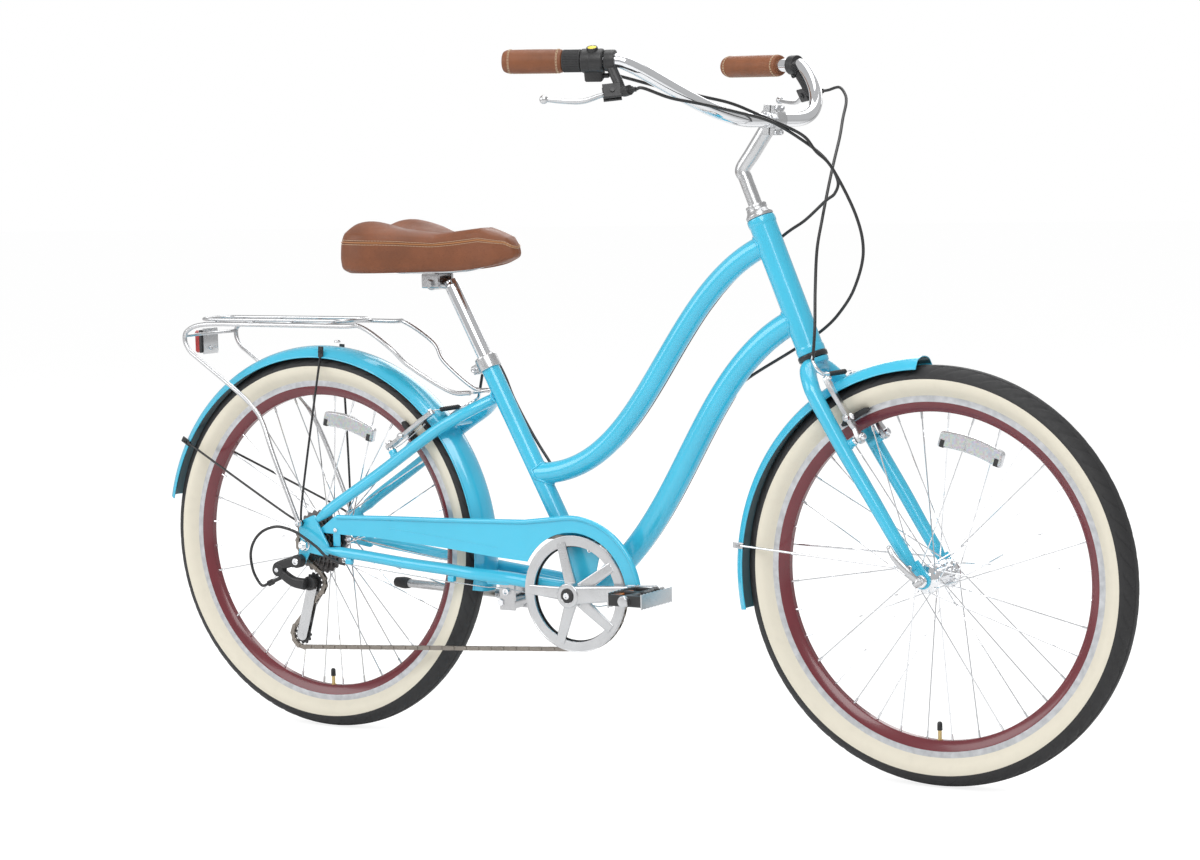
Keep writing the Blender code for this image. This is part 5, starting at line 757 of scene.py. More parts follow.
@dataclass(frozen=True)
class Metal(Finish):
    """Bare or plated metal: fine grain, faint smudges and a worn shade."""

    grain: float = 900.0
    depth: float = 0.00002
    worn: float = 0.06

    def make(self, n: Nodes) -> bpy.types.Material:
        """Metal whose roughness wanders between two values in smudges and grain.

        Args:
            n: writes the nodes of the finish's own material.

        Returns:
            The material.
        """
        smudge = n.noise(38.0, 5.0)
        dull = tuple(c * (1.0 - 1.2 * self.worn) for c in self.colour)
        n.set(Base_Color=n.ramp(smudge, [(0.3, dull), (0.62, self.colour)]), Metallic=1.0,
              Roughness=n.spread(n.noise(self.grain, 2.0), (0.25, max(self.rough - self.worn, 0.02)),
                                 (0.75, self.rough + self.worn)))
        n.bump(n.noise(self.grain, 3.0), self.depth, 0.5)
        return n.made


@dataclass(frozen=True)
class Moulded(Finish):
    """Moulded plastic or rubber: a fine stipple and slight scuffs."""

    stipple: float = 2600.0
    depth: float = 0.00003

    def make(self, n: Nodes) -> bpy.types.Material:
        """One colour with paler scuffs, and a stippled surface.

        Args:
            n: writes the nodes of the finish's own material.

        Returns:
            The material.
        """
        pale = tuple(c * 1.25 + 0.008 for c in self.colour)
        n.set(Base_Color=n.ramp(n.noise(70.0, 6.0), [(0.45, self.colour), (0.85, pale)]),
              Roughness=n.spread(n.noise(130.0, 4.0), (0.3, self.rough - 0.06), (0.8, self.rough + 0.08)))
        n.bump(n.cells(self.stipple), self.depth, 0.6)
        return n.made


@dataclass(frozen=True)
class Leather(Finish):
    """Brown leather: pebbled grain with painted shade in its valleys, fine creases and a burnished shade
    where it is touched.
    """

    def make(self, n: Nodes) -> bpy.types.Material:
        """Two browns in broad patches, darker in the grain's valleys.

        Args:
            n: writes the nodes of the finish's own material.

        Returns:
            The material.
        """
        c = self.colour
        burnt, pale = tuple(v * 0.78 for v in c), tuple(v * 1.22 for v in c)
        patch = n.ramp(n.noise(16.0, 4.0), [(0.30, burnt), (0.52, c), (0.78, pale)])
        grain = n.cells(640.0, "DISTANCE_TO_EDGE")
        # Painted shade: the colour is darkened in the grain's valleys.
        valley = n.ramp(grain, [(0.0, (0.62, 0.58, 0.55)), (0.16, (1, 1, 1))])
        n.set(Base_Color=n.blend(1.0, patch, valley, "MULTIPLY"), Specular_IOR_Level=0.45,
              Roughness=n.spread(n.noise(60.0, 4.0), (0.3, self.rough - 0.07), (0.75, self.rough + 0.1)))
        n.bump(n.math("MINIMUM", grain, 0.22), 0.0006, 0.55)
        n.bump(n.noise(1500.0, 3.0), 0.00006, 0.5)
        return n.made


@dataclass(frozen=True)
class Tyre(Finish):
    """Rubber tyre: cream side walls and black tread, by distance from the axle."""

    axle: tuple[float, float, float] = (0.0, 0.0, 0.33)

    def make(self, n: Nodes) -> bpy.types.Material:
        """The colour is read from the distance r = sqrt(x^2 + z^2) from the axle.

        Args:
            n: writes the nodes of the finish's own material.

        Returns:
            The material.
        """
        r = n.from_axle(self.axle)
        share = n.math("MULTIPLY", n.math("SUBTRACT", r, 0.2855), 20.0)
        black = (0.018, 0.018, 0.019)
        grime = tuple(c * 0.90 for c in self.colour)
        bands = n.ramp(share, [(0.0, self.colour), (0.476, black)], sharp=True)
        ring = n.math("SINE", n.math("MULTIPLY", r, 2600.0))
        white = n.blend(n.ramp(n.noise(60.0, 5.0), [(0.5, (0, 0, 0)), (0.9, (0.6,) * 3)]), bands, grime)
        is_wall = n.math("LESS_THAN", r, 0.3093)
        n.set(Base_Color=n.blend(is_wall, bands, white),
              Roughness=n.spread(n.noise(150.0, 4.0), (0.2, self.rough - 0.08), (0.8, self.rough + 0.1)))
        n.bump(n.math("MULTIPLY", ring,
                      n.ramp(share, [(0.06, (1, 1, 1)), (0.14, (0, 0, 0)), (0.40, (0, 0, 0)),
                                                        (0.47, (1, 1, 1)), (0.52, (0, 0, 0))])), 0.00012, 0.4)
        n.bump(n.noise(900.0, 4.0), 0.00008, 0.6)
        return n.made


@dataclass(frozen=True)
class Rim(Finish):
    """An enamelled rim with a bare, finely turned brake track near its outer edge."""

    axle: tuple[float, float, float] = (0.0, 0.0, 0.33)

    def make(self, n: Nodes) -> bpy.types.Material:
        """Inside r = 273.5 mm it is enamel; outside it is turned metal with fine rings.

        Args:
            n: writes the nodes of the finish's own material.

        Returns:
            The material.
        """
        r = n.from_axle(self.axle)
        bare = n.math("GREATER_THAN", r, 0.2735)
        paint = n.ramp(n.noise(20.0, 2.0), [(0.3, tuple(c * 0.85 for c in self.colour)), (0.7, self.colour)])
        scuffs = n.ramp(n.noise(90.0, 5.0), [(0.35, (0.50, 0.51, 0.53)), (0.7, (0.66, 0.67, 0.69))])
        n.set(Base_Color=n.blend(bare, paint, scuffs), Metallic=bare,
              Roughness=n.math("ADD", n.math("MULTIPLY", bare, 0.12), self.rough), Coat_Weight=0.35,
              Coat_Roughness=0.08)
        n.bump(n.math("MULTIPLY", n.math("SINE", n.math("MULTIPLY", r, 9000.0)), bare), 0.00002, 0.6)
        return n.made


@dataclass(frozen=True)
class Lens(Finish):
    """A moulded reflector: tinted clear plastic over a grid of small prisms."""

    cells_per_metre: float = 330.0

    def make(self, n: Nodes) -> bpy.types.Material:
        """Prisms show as a fine grid of squares with raised edges, each painted bright in its middle and dim
        towards its edges: painted glint and painted shade.

        Args:
            n: writes the nodes of the finish's own material.

        Returns:
            The material.
        """
        prism = n.add("ShaderNodeTexVoronoi", feature="F1", distance="CHEBYCHEV", Scale=self.cells_per_metre,
                      Randomness=0.0)
        n.link(n.where, prism.inputs["Vector"])
        spot = n.add("ShaderNodeTexVoronoi", feature="F1", Scale=self.cells_per_metre, Randomness=0.0)
        n.link(n.where, spot.inputs["Vector"])
        # Painted glint and shade: each prism is lit in its middle and dimmed towards its edges in the colour.
        dim = tuple(c * 0.55 for c in self.colour)
        tint_with_glint = n.ramp(prism.outputs["Distance"], [(0.12, self.colour), (0.5, dim)])
        n.set(Base_Color=n.blend(0.25, tint_with_glint, spot.outputs["Color"], "SOFT_LIGHT"), Roughness=self.rough,
              Coat_Weight=1.0, Coat_Roughness=0.03, Specular_IOR_Level=0.7)
        n.bump(prism.outputs["Distance"], 0.0010, 0.7)
        return n.made


@dataclass(frozen=True)
class Thread(Finish):
    """Twisted sewing thread: a fine slanted wave, in the bump and as painted shade between the strands, and
    soft roughness.
    """

    def make(self, n: Nodes) -> bpy.types.Material:
        """A wave along the slant darkens the thread between its strands, painted shade in the grooves.

        Args:
            n: writes the nodes of the finish's own material.

        Returns:
            The material.
        """
        wave = n.add("ShaderNodeTexWave", Scale=420.0, Distortion=0.6)
        wave.bands_direction = "DIAGONAL"
        n.link(n.where, wave.inputs["Vector"])
        # Painted shade: the wave's low parts darken the thread where its strands meet.
        n.set(Base_Color=n.ramp(wave.outputs["Fac"],
                                [(0.1, tuple(c * 0.7 for c in self.colour)), (0.7, self.colour)]),
              Roughness=self.rough, Sheen_Weight=0.3)
        n.bump(wave.outputs["Fac"], 0.0001, 0.5)
        return n.made


SKY = Enamel("sky_blue_gloss_paint", "sky_blue_enamel", (0.045, 0.50, 0.72), 0.22)
# Painted shade: a darkened copy of the sky-blue enamel, laid as a sheet inside the mudguards where their
# inside lies in shade.
INSIDE_SHADE_PAINT = Enamel("dark_teal_painted_shade", "sky_blue_enamel", (0.012, 0.10, 0.13), 0.35, coat=0.2)
SATIN = Metal("satin_silver_metal", "satin_alloy", (0.62, 0.625, 0.635), 0.30)
BRUSHED = Metal("bright_zinc_steel", "plated_steel", (0.56, 0.56, 0.57), 0.26)
CHROME = Metal("polished_chrome_plate", "chrome", (0.82, 0.83, 0.85), 0.07, grain=300.0, depth=0.000004,
               worn=0.02)
COG = Metal("dark_cog_plate", "dark_cog_steel", (0.20, 0.19, 0.19), 0.34)
CHAIN = Metal("oiled_chain_links", "oiled_chain_steel", (0.30, 0.27, 0.24), 0.34, worn=0.12)
BRASS = Metal("brass_valve_stem", "burgundy_rim", (0.62, 0.47, 0.22), 0.30)
BLACK = Moulded("black_moulded_plastic", "black_plastic", (0.020, 0.020, 0.021), 0.42)
BLACK_METAL = Moulded("black_painted_metal", "black_plastic", (0.016, 0.016, 0.017), 0.30, stipple=900.0,
                      depth=0.00001)
RUBBER = Moulded("black_rubber_skin", "black_rubber", (0.022, 0.022, 0.023), 0.62)
HOUSING = Moulded("black_cable_housing", "black_rubber", (0.020, 0.020, 0.021), 0.30, stipple=1200.0,
                  depth=0.00001)
HIDE = Leather("brown_saddle_leather", "brown_leather", (0.215, 0.070, 0.026), 0.42)
GRIP_HIDE = Leather("brown_grip_leather", "brown_leather", (0.235, 0.080, 0.030), 0.46)
CREAM_THREAD = Thread("cream_sewing_thread", "brown_leather", (0.72, 0.55, 0.36), 0.7)
TAN_PIPING = Thread("tan_edge_piping", "brown_leather", (0.42, 0.17, 0.045), 0.55)
CLEAR_LENS = Lens("clear_reflector_lens", "chrome", (0.80, 0.82, 0.84), 0.12)
RED_LENS = Lens("red_reflector_lens", "black_plastic", (0.55, 0.01, 0.012), 0.15)
AMBER_LENS = Lens("amber_reflector_lens", "black_plastic", (0.80, 0.22, 0.01), 0.15)
YELLOW = Moulded("yellow_dial_window", "black_plastic", (0.80, 0.62, 0.02), 0.35)
FRONT_TYRE = Tyre("front_tyre_rubber", "cream_wall_tyre", (0.70, 0.655, 0.545), 0.62,
                  axle=(1.180, 0.0, 0.330))
REAR_TYRE = Tyre("rear_tyre_rubber", "cream_wall_tyre", (0.70, 0.655, 0.545), 0.62, axle=(0.0, 0.0, 0.330))
FRONT_RIM = Rim("front_rim_enamel", "burgundy_rim", (0.150, 0.018, 0.026), 0.25, axle=(1.180, 0.0, 0.330))
REAR_RIM = Rim("rear_rim_enamel", "burgundy_rim", (0.150, 0.018, 0.026), 0.25, axle=(0.0, 0.0, 0.330))


def bars(starts: Array, ends: Array, radius: float, sides: int = 8) -> Solid:
    """Many straight round bars at once: point(i, e, k) = end(i, e) + radius (cos k A(i) + sin k B(i)).

    Args:
        starts: one end of each bar.
        ends: the other end of each.
        radius: of every bar.
        sides: points round each.

    Returns:
        All bars as one mesh.
    """
    along = unit(ends - starts)
    help_axis = np.where(np.abs(along[:, 1:2]) < 0.9, [[0.0, 1.0, 0.0]], [[1.0, 0.0, 0.0]])
    a = unit(np.cross(along, help_axis))
    b = np.cross(along, a)
    k = np.arange(sides) * TAU / sides
    ring = radius * (np.cos(k)[None, :, None] * a[:, None, :] + np.sin(k)[None, :, None] * b[:, None, :])
    points = np.stack([starts[:, None, :] + ring, ends[:, None, :] + ring], axis=1)
    base = (np.arange(len(starts)) * 2 * sides)[:, None, None]
    quads = (base + grid_faces(2, sides, False, True)[None]).reshape(-1, 4)
    caps = [list(range(s, s + sides))[::-1] for s in base.ravel()]
    caps += [list(range(s + sides, s + 2 * sides)) for s in base.ravel()]
    return Solid(points.reshape(-1, 3), quads, caps)


class Turn(Enum):
    """Which end of the bicycle a wheel is at."""

    FRONT = "front"
    REAR = "rear"


@dataclass
class Wheel:
    """A spoked wheel: tyre, rim, hub, spokes, valve and reflector."""

    place: Turn
    axle: Array
    tyre_finish: Finish
    rim_finish: Finish
    flanges: tuple[float, float]
    hub_ends: tuple[float, float]
    reflector_angle: float
    outer: float = 0.330
    half_width: float = 0.0256
    rim_outer: float = 0.2855
    rim_inner: float = 0.2575
    rim_half: float = 0.0135
    flange_radius: float = 0.0225
    spoke_radius: float = 0.0011
    blocks: int = 66

    @property
    def body(self) -> str:
        """The body that the wheel rides on."""
        return f"{self.place.value}_wheel"

    def build(self) -> None:
        """Builds every piece of the wheel."""
        name = self.place.value
        Part.place(f"{name}_tyre_carcass", self.tyre(), self.body, self.tyre_finish, [f"{name}_tyre"],
                   angle=32)
        Part.place(f"{name}_rim_hoop", self.rim(), self.body, self.rim_finish, [f"{name}_rim"], angle=30)
        Part.place(f"{name}_spoke_set", self.spokes(), self.body, CHROME, [f"{name}_spokes"])
        Part.place(f"{name}_hub_shell", self.hub(), self.body, CHROME, angle=35)
        self.reflector()
        self.valve()

    def tyre(self) -> Solid:
        """Torus of half axes w and h about radius c, with slanted tread blocks sunk between grooves.

        r(t) = c + h cos t, y(t) = w sin t; a groove lies where the fraction of
        (blocks a / 2 pi + slant |t|) is small, and along two lines of constant t.

        Returns:
            The tyre.
        """
        t = np.radians(np.concatenate([np.linspace(-146, -84, 9), np.linspace(-78, 78, 47),
                                       np.linspace(84, 146, 9)]))
        half_height = 0.0256
        c = self.outer - half_height
        bulge = 1.0 - 0.10 * np.exp(-((np.abs(t) - 2.3) / 0.35) ** 2)
        profile = np.column_stack([c + half_height * np.cos(t), self.half_width * np.sin(t) * bulge])
        bed = [(0.2790, 0.0098), (0.2740, 0.004), (0.2740, -0.004), (0.2790, -0.0098)]
        table = np.vstack([profile, bed])
        slope = np.concatenate([np.abs(t), np.full(4, 9.0)])

        def tread(angle: Array, row: Array) -> Array:
            """Depth of the grooves, in metres, at an angle and row.

            Args:
                angle: round the axle.
                row: row of the profile.

            Returns:
                The change of the radius, nought or less.
            """
            s = slope[row]
            side = np.sign(np.concatenate([t, np.zeros(4)])[row])
            turn = angle * self.blocks / TAU + 0.75 * s * 1.6 + np.where(side > 0, 0.5, 0.0)
            share = turn - np.floor(turn)
            across = np.clip((0.5 - np.abs(share - 0.5)) / 0.09 - 0.9, 0.0, 1.0)
            middle = np.clip(np.abs(np.abs(s) - 0.30) / 0.03 - 0.8, 0.0, 1.0)
            block = np.minimum(np.where(s > 0.30, across, 1.0), middle)
            fade = np.clip((1.12 - s) / 0.10, 0.0, 1.0)
            return (-0.0016 * (1.0 - block) - 0.0002) * fade

        return lathe(table, self.axle, vec(0, 1, 0), 792, loop=True, swell=tread)

    def rim(self) -> Solid:
        """A turned hoop: V below, flat brake tracks and hooked edges that hold the tyre.

        Returns:
            The hoop.
        """
        half = [(self.rim_inner, 0.0048), (self.rim_inner + 0.0015, 0.0068), (0.2700, 0.0124),
                (0.2733, 0.0133), (0.2740, self.rim_half), (self.rim_outer - 0.0010, self.rim_half),
                (self.rim_outer, self.rim_half - 0.0006), (self.rim_outer - 0.0002, self.rim_half - 0.0022),
                (0.2800, 0.0106), (0.2735, 0.0052)]
        lower = [(r, -y) for r, y in half]
        return lathe(np.array(lower + half[::-1]), self.axle, vec(0, 1, 0), 240, loop=True)

    def spoke_lines(self) -> tuple[Array, Array]:
        """Ends of the 36 spokes: at the flanges and at the rim, crossing three by three.

        Spoke j meets the rim at (j + 1/2) 10 degrees from the valve; its head lies 57 degrees
        before or after that on its flange.

        Returns:
            The ends at the flanges and the ends at the rim.
        """
        j = np.arange(36)
        at_rim = np.radians(-90.0 + 5.0 + 10.0 * j)
        lead = np.where((j // 2) % 2 == 0, 1.0, -1.0) * math.radians(57.0)
        y = np.where(j % 2 == 0, self.flanges[0], self.flanges[1]) + np.where(lead > 0, 0.0022, -0.0022)
        hub = self.flange_radius * 0.86
        start = np.column_stack([hub * np.cos(at_rim + lead), y, hub * np.sin(at_rim + lead)])
        edge = np.where(j % 2 == 0, -0.0022, 0.0022)
        end = np.column_stack([self.rim_inner * np.cos(at_rim), edge, self.rim_inner * np.sin(at_rim)])
        return start + self.axle, end + self.axle

    def spokes(self) -> Solid:
        """Spokes, the nipples at the rim and the heads at the flanges.

        Returns:
            All of them as one mesh.
        """
        start, end = self.spoke_lines()
        along = unit(end - start)
        nipples = bars(end - along * 0.011, end + along * 0.002, 0.0019, 8)
        heads = bars(start - vec(0, 0.0026, 0), start + vec(0, 0.0026, 0), 0.0019, 8)
        return bars(start, end, self.spoke_radius, 8) + nipples + heads

    def hub(self) -> Solid:
        """A turned hub: two flanges with a waisted shell between and stepped ends.

        Returns:
            The hub.
        """
        right, left = self.flanges
        f, s = self.flange_radius, 0.0125
        low, high = self.hub_ends
        flange = [(0.0100, -0.006), (0.0150, -0.0035), (f - 0.0006, -0.0018), (f, -0.001), (f, 0.001),
                  (f - 0.0006, 0.0018), (0.0165, 0.0035), (s + 0.001, 0.008), (s, 0.013)]
        table = [(0.0085, low), (0.0100, low + 0.001)]
        table += [(radius, right + inward) for radius, inward in flange]
        table += [(radius, left - inward) for radius, inward in flange[::-1]]
        table += [(0.0100, high - 0.001), (0.0085, high)]
        return lathe(table, self.axle, vec(0, 1, 0), 64)

    def reflector(self) -> None:
        """A long clear reflector between the spokes, with a raised frame and a clip at each end."""
        a = math.radians(self.reflector_angle)
        out, along = vec(math.sin(a), 0, math.cos(a)), vec(math.cos(a), 0, -math.sin(a))
        turn = np.column_stack([along, out, np.cross(along, out)])
        centre = self.axle + out * 0.215

        def plate(length: float, height: float) -> Array:
            """An outline with corners of 5 mm and a gentle arch that follows the rim.

            Args:
                length: along the rim.
                height: towards the rim.

            Returns:
                The outline, with y lowered by x^2 / 0.46.
            """
            x, y, r = length / 2, height / 2, 0.005
            o = np.vstack([arc2((x - r, -y + r), r, -90, 0, 5), arc2((x - r, y - r), r, 0, 90, 5),
                           np.column_stack([np.linspace(x - r, -x + r, 9)[1:-1], np.full(7, y)]),
                           arc2((-x + r, y - r), r, 90, 180, 5), arc2((-x + r, -y + r), r, 180, 270, 5),
                           np.column_stack([np.linspace(-x + r, x - r, 9)[1:-1], np.full(7, -y)])])
            o[:, 1] -= o[:, 0] ** 2 / 0.46
            return o

        name = self.place.value
        lens = slab(plate(0.106, 0.022), 0.0150, turn, centre, 0.0012)
        Part.place(f"{name}_wheel_reflector", lens, self.body, CLEAR_LENS)
        edge = slab(plate(0.110, 0.026), 0.0090, turn, centre, 0.0010)
        Part.place(f"{name}_reflector_edge", edge, self.body,
                   Metal("clear_lens_rim", "chrome", (0.75, 0.76, 0.78), 0.25))
        clips = together([box_solid((0.007, 0.012, 0.0175), turn,
                                    centre + along * s * 0.047 - out * 0.011) for s in (-1, 1)])
        Part.place(f"{name}_reflector_clips", clips, self.body, BLACK)

    def valve(self) -> None:
        """A brass valve stem at the bottom of the rim with its black cap."""
        foot = self.axle + vec(0, 0, -self.rim_inner - 0.001)
        stem = lathe([(0.0044, 0.0), (0.0044, 0.002), (0.0030, 0.0025), (0.0030, 0.018)], foot, vec(0, 0, 1),
                     20)
        Part.place(f"{self.place.value}_valve_stem", stem, self.body, BRASS)

        def ribs(angle: Array, row: Array) -> Array:
            """Fourteen ribs round the lower part of the cap."""
            return 0.00025 * np.sign(np.sin(angle * 14)) * (row < 3)

        cap = lathe([(0.0038, 0.0), (0.0040, 0.001), (0.0038, 0.011), (0.0026, 0.0135), (0.001, 0.014)],
                    foot + vec(0, 0, 0.016), vec(0, 0, 1), 56, swell=ribs)
        Part.place(f"{self.place.value}_valve_cap", cap, self.body, BLACK)


@dataclass(frozen=True)
class Boss:
    """Where a pair of rim brakes is bolted on: the right boss's foot, the way out and the way up its arm."""

    foot: tuple[float, float, float]
    out: tuple[float, float, float]
    up: tuple[float, float, float]


FRONT_BOSS = Boss((1.0466, -0.0470, 0.5315), (0.854135, 0.0, 0.520051), (-0.520051, 0.0, 0.854135))
REAR_BOSS = Boss((0.1878, -0.0465, 0.4825), (-0.554726, 0.0, 0.832036), (0.832036, 0.0, 0.554726))


def eased(outline: Array, reach: float, steps: int = 4) -> Array:
    """A closed outline whose corners are rounded: each is a quadratic curve from reach before to reach after.

    Args:
        outline: rows of x and y.
        reach: how far from a corner its curve begins.
        steps: parts of each curve.

    Returns:
        The rounded outline.
    """
    o = np.asarray(outline, dtype=float)
    before, after = np.roll(o, 1, axis=0) - o, np.roll(o, -1, axis=0) - o
    near = o + unit(before) * np.minimum(reach, 0.45 * np.linalg.norm(before, axis=1))[:, None]
    far = o + unit(after) * np.minimum(reach, 0.45 * np.linalg.norm(after, axis=1))[:, None]
    t = np.linspace(0.0, 1.0, steps + 1)[None, :, None]
    line = (1 - t) ** 2 * near[:, None] + 2 * t * (1 - t) * o[:, None] + t ** 2 * far[:, None]
    return line.reshape(-1, 2)


def soft_square(reach: float, steps: int) -> Array:
    """A square of half width one with rounded corners, to be scaled along a path."""
    return eased([(-1.0, -1.0), (1.0, -1.0), (1.0, 1.0), (-1.0, 1.0)], reach, steps)


def weld(foot: Array, along: Array, radius: float, core: Array, axis: Array, core_radius: float,
         bead: float = 0.0022) -> Solid:
    """A weld bead where a tube meets a round core: a wire along the curve |p - (p.axis) axis| = core_radius.

    Args:
        foot: a point of the tube's centre line.
        along: the way from the core out along the tube.
        radius: of the tube.
        core: a point on the core's axis.
        axis: the core's axis.
        core_radius: of the core.
        bead: radius of the bead.

    Returns:
        The bead, a little uneven along its length like a hand-laid one.
    """
    d, n = unit(np.asarray(along, dtype=float)), unit(np.asarray(axis, dtype=float))
    turn = basis(d, (0.0, 1.0, 0.01))
    a = np.arange(72) * TAU / 72
    ring = foot + radius * (np.cos(a)[:, None] * turn[:, 0] + np.sin(a)[:, None] * turn[:, 1]) - core
    flat, run = ring - (ring @ n)[:, None] * n, d - (d @ n) * n
    half_b, c = flat @ run, (flat ** 2).sum(1) - core_radius ** 2
    t = (-half_b + np.sqrt(np.maximum(half_b ** 2 - (run @ run) * c, 0.0))) / (run @ run)
    path = ring + core + t[:, None] * d
    return pipe(path, bead * (1.0 + 0.10 * np.sin(a * 24.0)), 10, loop=True)


def stud(foot: Array, out: Array) -> Solid:
    """The stepped stud that a brake arm turns on, out from its foot."""
    return spun([(0.0085, -0.004), (0.0085, 0.011), (0.0070, 0.013), (0.0070, STUD_REACH)], 0.001, foot,
                out, 32)


def mirror_pair(solid: Solid) -> Solid:
    """A right-hand piece together with its left-hand copy."""
    return solid + solid.mirrored()


@dataclass
class FrameTubes:
    """The painted frame: head tube, two curved tubes, seat tube, bracket shell, stays and dropouts."""

    head_radius: float = 0.0220
    head_length: float = 0.233
    top_radius: float = 0.0180
    down_radius: float = 0.0200
    seat_radius: float = 0.0159
    shell_radius: float = 0.0205
    shell_half: float = 0.0340
    stay_radius: float = 0.0100
    dropout_y: float = 0.0655

    def build(self) -> None:
        """Builds every piece of the frame."""
        self.head()
        self.main_tubes()
        self.seat_stays()
        self.chainstays()
        self.seat_collar()

    def head(self) -> None:
        """The head tube with its thickened ends, and the black lower cup."""
        r, top = self.head_radius, self.head_length
        profile = [(r - 0.003, 0.0), (r + 0.0010, 0.0006), (r + 0.0012, 0.010), (r, 0.013), (r, top - 0.013),
                   (r + 0.0012, top - 0.010), (r + 0.0010, top - 0.0006), (r - 0.003, top)]
        tube = spun(profile, 0.0012, HEAD_BOTTOM, HEAD_UP, 64)
        Part.place("head_tube_shell", tube, "frame", SKY, ["head_tube"], angle=50)
        cup = spun([(r - 0.002, -0.0084), (r + 0.0020, -0.0082), (r + 0.0024, -0.0020),
                    (r + 0.0014, 0.0006), (r - 0.002, 0.0006)], 0.0009, HEAD_BOTTOM, HEAD_UP, 64)
        Part.place("lower_headset_cup", cup, "frame", BLACK_METAL)

    def main_tubes(self) -> None:
        """The top tube, down tube, seat tube and bottom bracket shell, with the welds between them."""
        top = cubic(*TOP_TUBE, 72)
        Part.place("top_tube_shell", pipe(top, self.top_radius, 48), "frame", SKY, ["top_tube"])
        down = cubic(*DOWN_TUBE, 72)
        Part.place("down_tube_shell", pipe(down, self.down_radius, 48), "frame", SKY, ["down_tube"])
        Part.place("seat_tube_shell", rod(BRACKET, SEAT_TOP, self.seat_radius, 48), "frame", SKY,
                   ["seat_tube"])
        side, half, r = vec(0, 1, 0), self.shell_half, self.shell_radius
        shell = spun([(r - 0.003, -half), (r + 0.0008, -half + 0.0004), (r + 0.0008, -half + 0.006),
                      (r, -half + 0.008), (r, half - 0.008), (r + 0.0008, half - 0.006),
                      (r + 0.0008, half - 0.0004), (r - 0.003, half)], 0.0012, BRACKET, side, 64)
        Part.place("bracket_shell", shell, "frame", SKY, ["bottom_bracket_shell"])
        beads = [weld(TOP_TUBE_START, TOP_TUBE_LEAVES, self.top_radius, HEAD_BOTTOM, HEAD_UP,
                      self.head_radius),
                 weld(DOWN_TUBE_START, DOWN_TUBE_LEAVES, self.down_radius, HEAD_BOTTOM, HEAD_UP,
                      self.head_radius),
                 weld(TOP_TUBE_FOOT, TOP_TUBE_ARRIVES, self.top_radius, BRACKET, SEAT_UP, self.seat_radius),
                 weld(BRACKET, DOWN_TUBE_ARRIVES, self.down_radius, BRACKET, side, r),
                 weld(BRACKET, SEAT_UP, self.seat_radius, BRACKET, side, r, 0.0018)]
        Part.place("main_welds", together(beads), "frame", SKY, angle=80)

    def dropout(self) -> Solid:
        """The right dropout plate with its hanger.

        Returns:
            The plate.
        """
        x, z = REAR_AXLE[0], REAR_AXLE[2]
        corners = [(0.046, -0.0195), (0.050, 0.0), (0.030, 0.033), (0.022, 0.054), (-0.005, 0.0435),
                   (-0.0125, 0.040), (-0.0135, 0.015)]
        outline = np.vstack([arc2((x, z), 0.0140, 170, 290, 14), np.array(corners) + (x, z)])
        outline = np.vstack([outline[:14], eased(outline[13:], 0.006)[5:]])
        return slab(outline, 0.0050, SIDE_VIEW, (0, -self.dropout_y, 0), 0.0008)

    def seat_stays(self) -> None:
        """The seat stays with their bridge, brake bosses and welds."""
        points = [(0.026, -0.0645, 0.3755), (0.064, -0.058, 0.403), (0.154, -0.052, 0.460),
                  (0.262, -0.0445, 0.532), (0.322, -0.032, 0.566), (0.362, 0.0, 0.5895)]
        path = through(points, 12)
        radius = np.full(len(path), self.stay_radius)
        radius[:8] = self.stay_radius * np.linspace(0.55, 1.0, 8)
        right = pipe(path, radius, 32)
        foot, out = vec(*REAR_BOSS.foot), vec(-0.5547, 0.0, 0.832)
        right += stud(foot, out)
        stays = mirror_pair(right)
        reach = vec(0, 0.042, 0)
        bridge = vec(0.287, 0.0, 0.5475)
        stays += rod(bridge - reach, bridge + reach, 0.0065, 28)
        Part.place("seat_stay_tubes", stays, "frame", SKY, ["seat_stays"])
        at = path[-8]
        bead = mirror_pair(weld(at, at - path[-4], self.stay_radius, BRACKET, SEAT_UP, self.seat_radius,
                                0.0018))
        Part.place("seat_stay_welds", bead, "frame", SKY, angle=80)
        bolts = mirror_pair(bolt(foot + out * STUD_REACH, out, 0.0058, 0.0042))
        Part.place("rear_brake_bolts", bolts, "frame", CHROME)

    def chainstays(self) -> None:
        """The chainstays, dropouts, kickstand bracket and cable stops."""
        y = self.dropout_y
        points = [(0.040, -y, 0.3225), (0.113, -0.062, 0.317), (0.211, -0.056, 0.3065),
                  (0.287, -0.050, 0.300), (0.342, -0.045, 0.294), (0.405, -0.0355, 0.289),
                  (0.470, -0.032, 0.282), (0.536, -0.0195, 0.2745)]
        path = through(points, 10)
        radius = np.linspace(0.009, 0.012, len(path))
        radius[:6] *= np.linspace(0.55, 1.0, 6)
        right = pipe(path, radius, 32) + self.dropout()
        hanger = np.vstack([arc2((-0.0100, 0.3020), 0.0085, 170, 350, 16),
                            [(0.0085, 0.3180), (0.006, 0.332), (-0.012, 0.333)]])
        stays = mirror_pair(right) + slab(hanger, 0.0044, SIDE_VIEW, (0, -y, 0), 0.0008)
        stays += box_solid((0.044, 0.086, 0.010), np.eye(3), (0.385, 0.0, 0.283), 0.002)
        for x, z, stop_y in ((0.091, 0.3052, -0.0630), (0.296, 0.2845, -0.0495)):
            stays += box_solid((0.012, 0.0085, 0.010), np.eye(3), (x, stop_y, z), 0.0015)
        Part.place("chainstay_tubes", stays, "frame", SKY, ["chainstays"], angle=42)
        turn = np.eye(3)
        plates = box_solid((0.030, 0.040, 0.004), turn, (0.383, 0.008, 0.2755), 0.0012)
        plates += box_solid((0.030, 0.005, 0.048), turn, (0.383, 0.0265, 0.254), 0.0012)
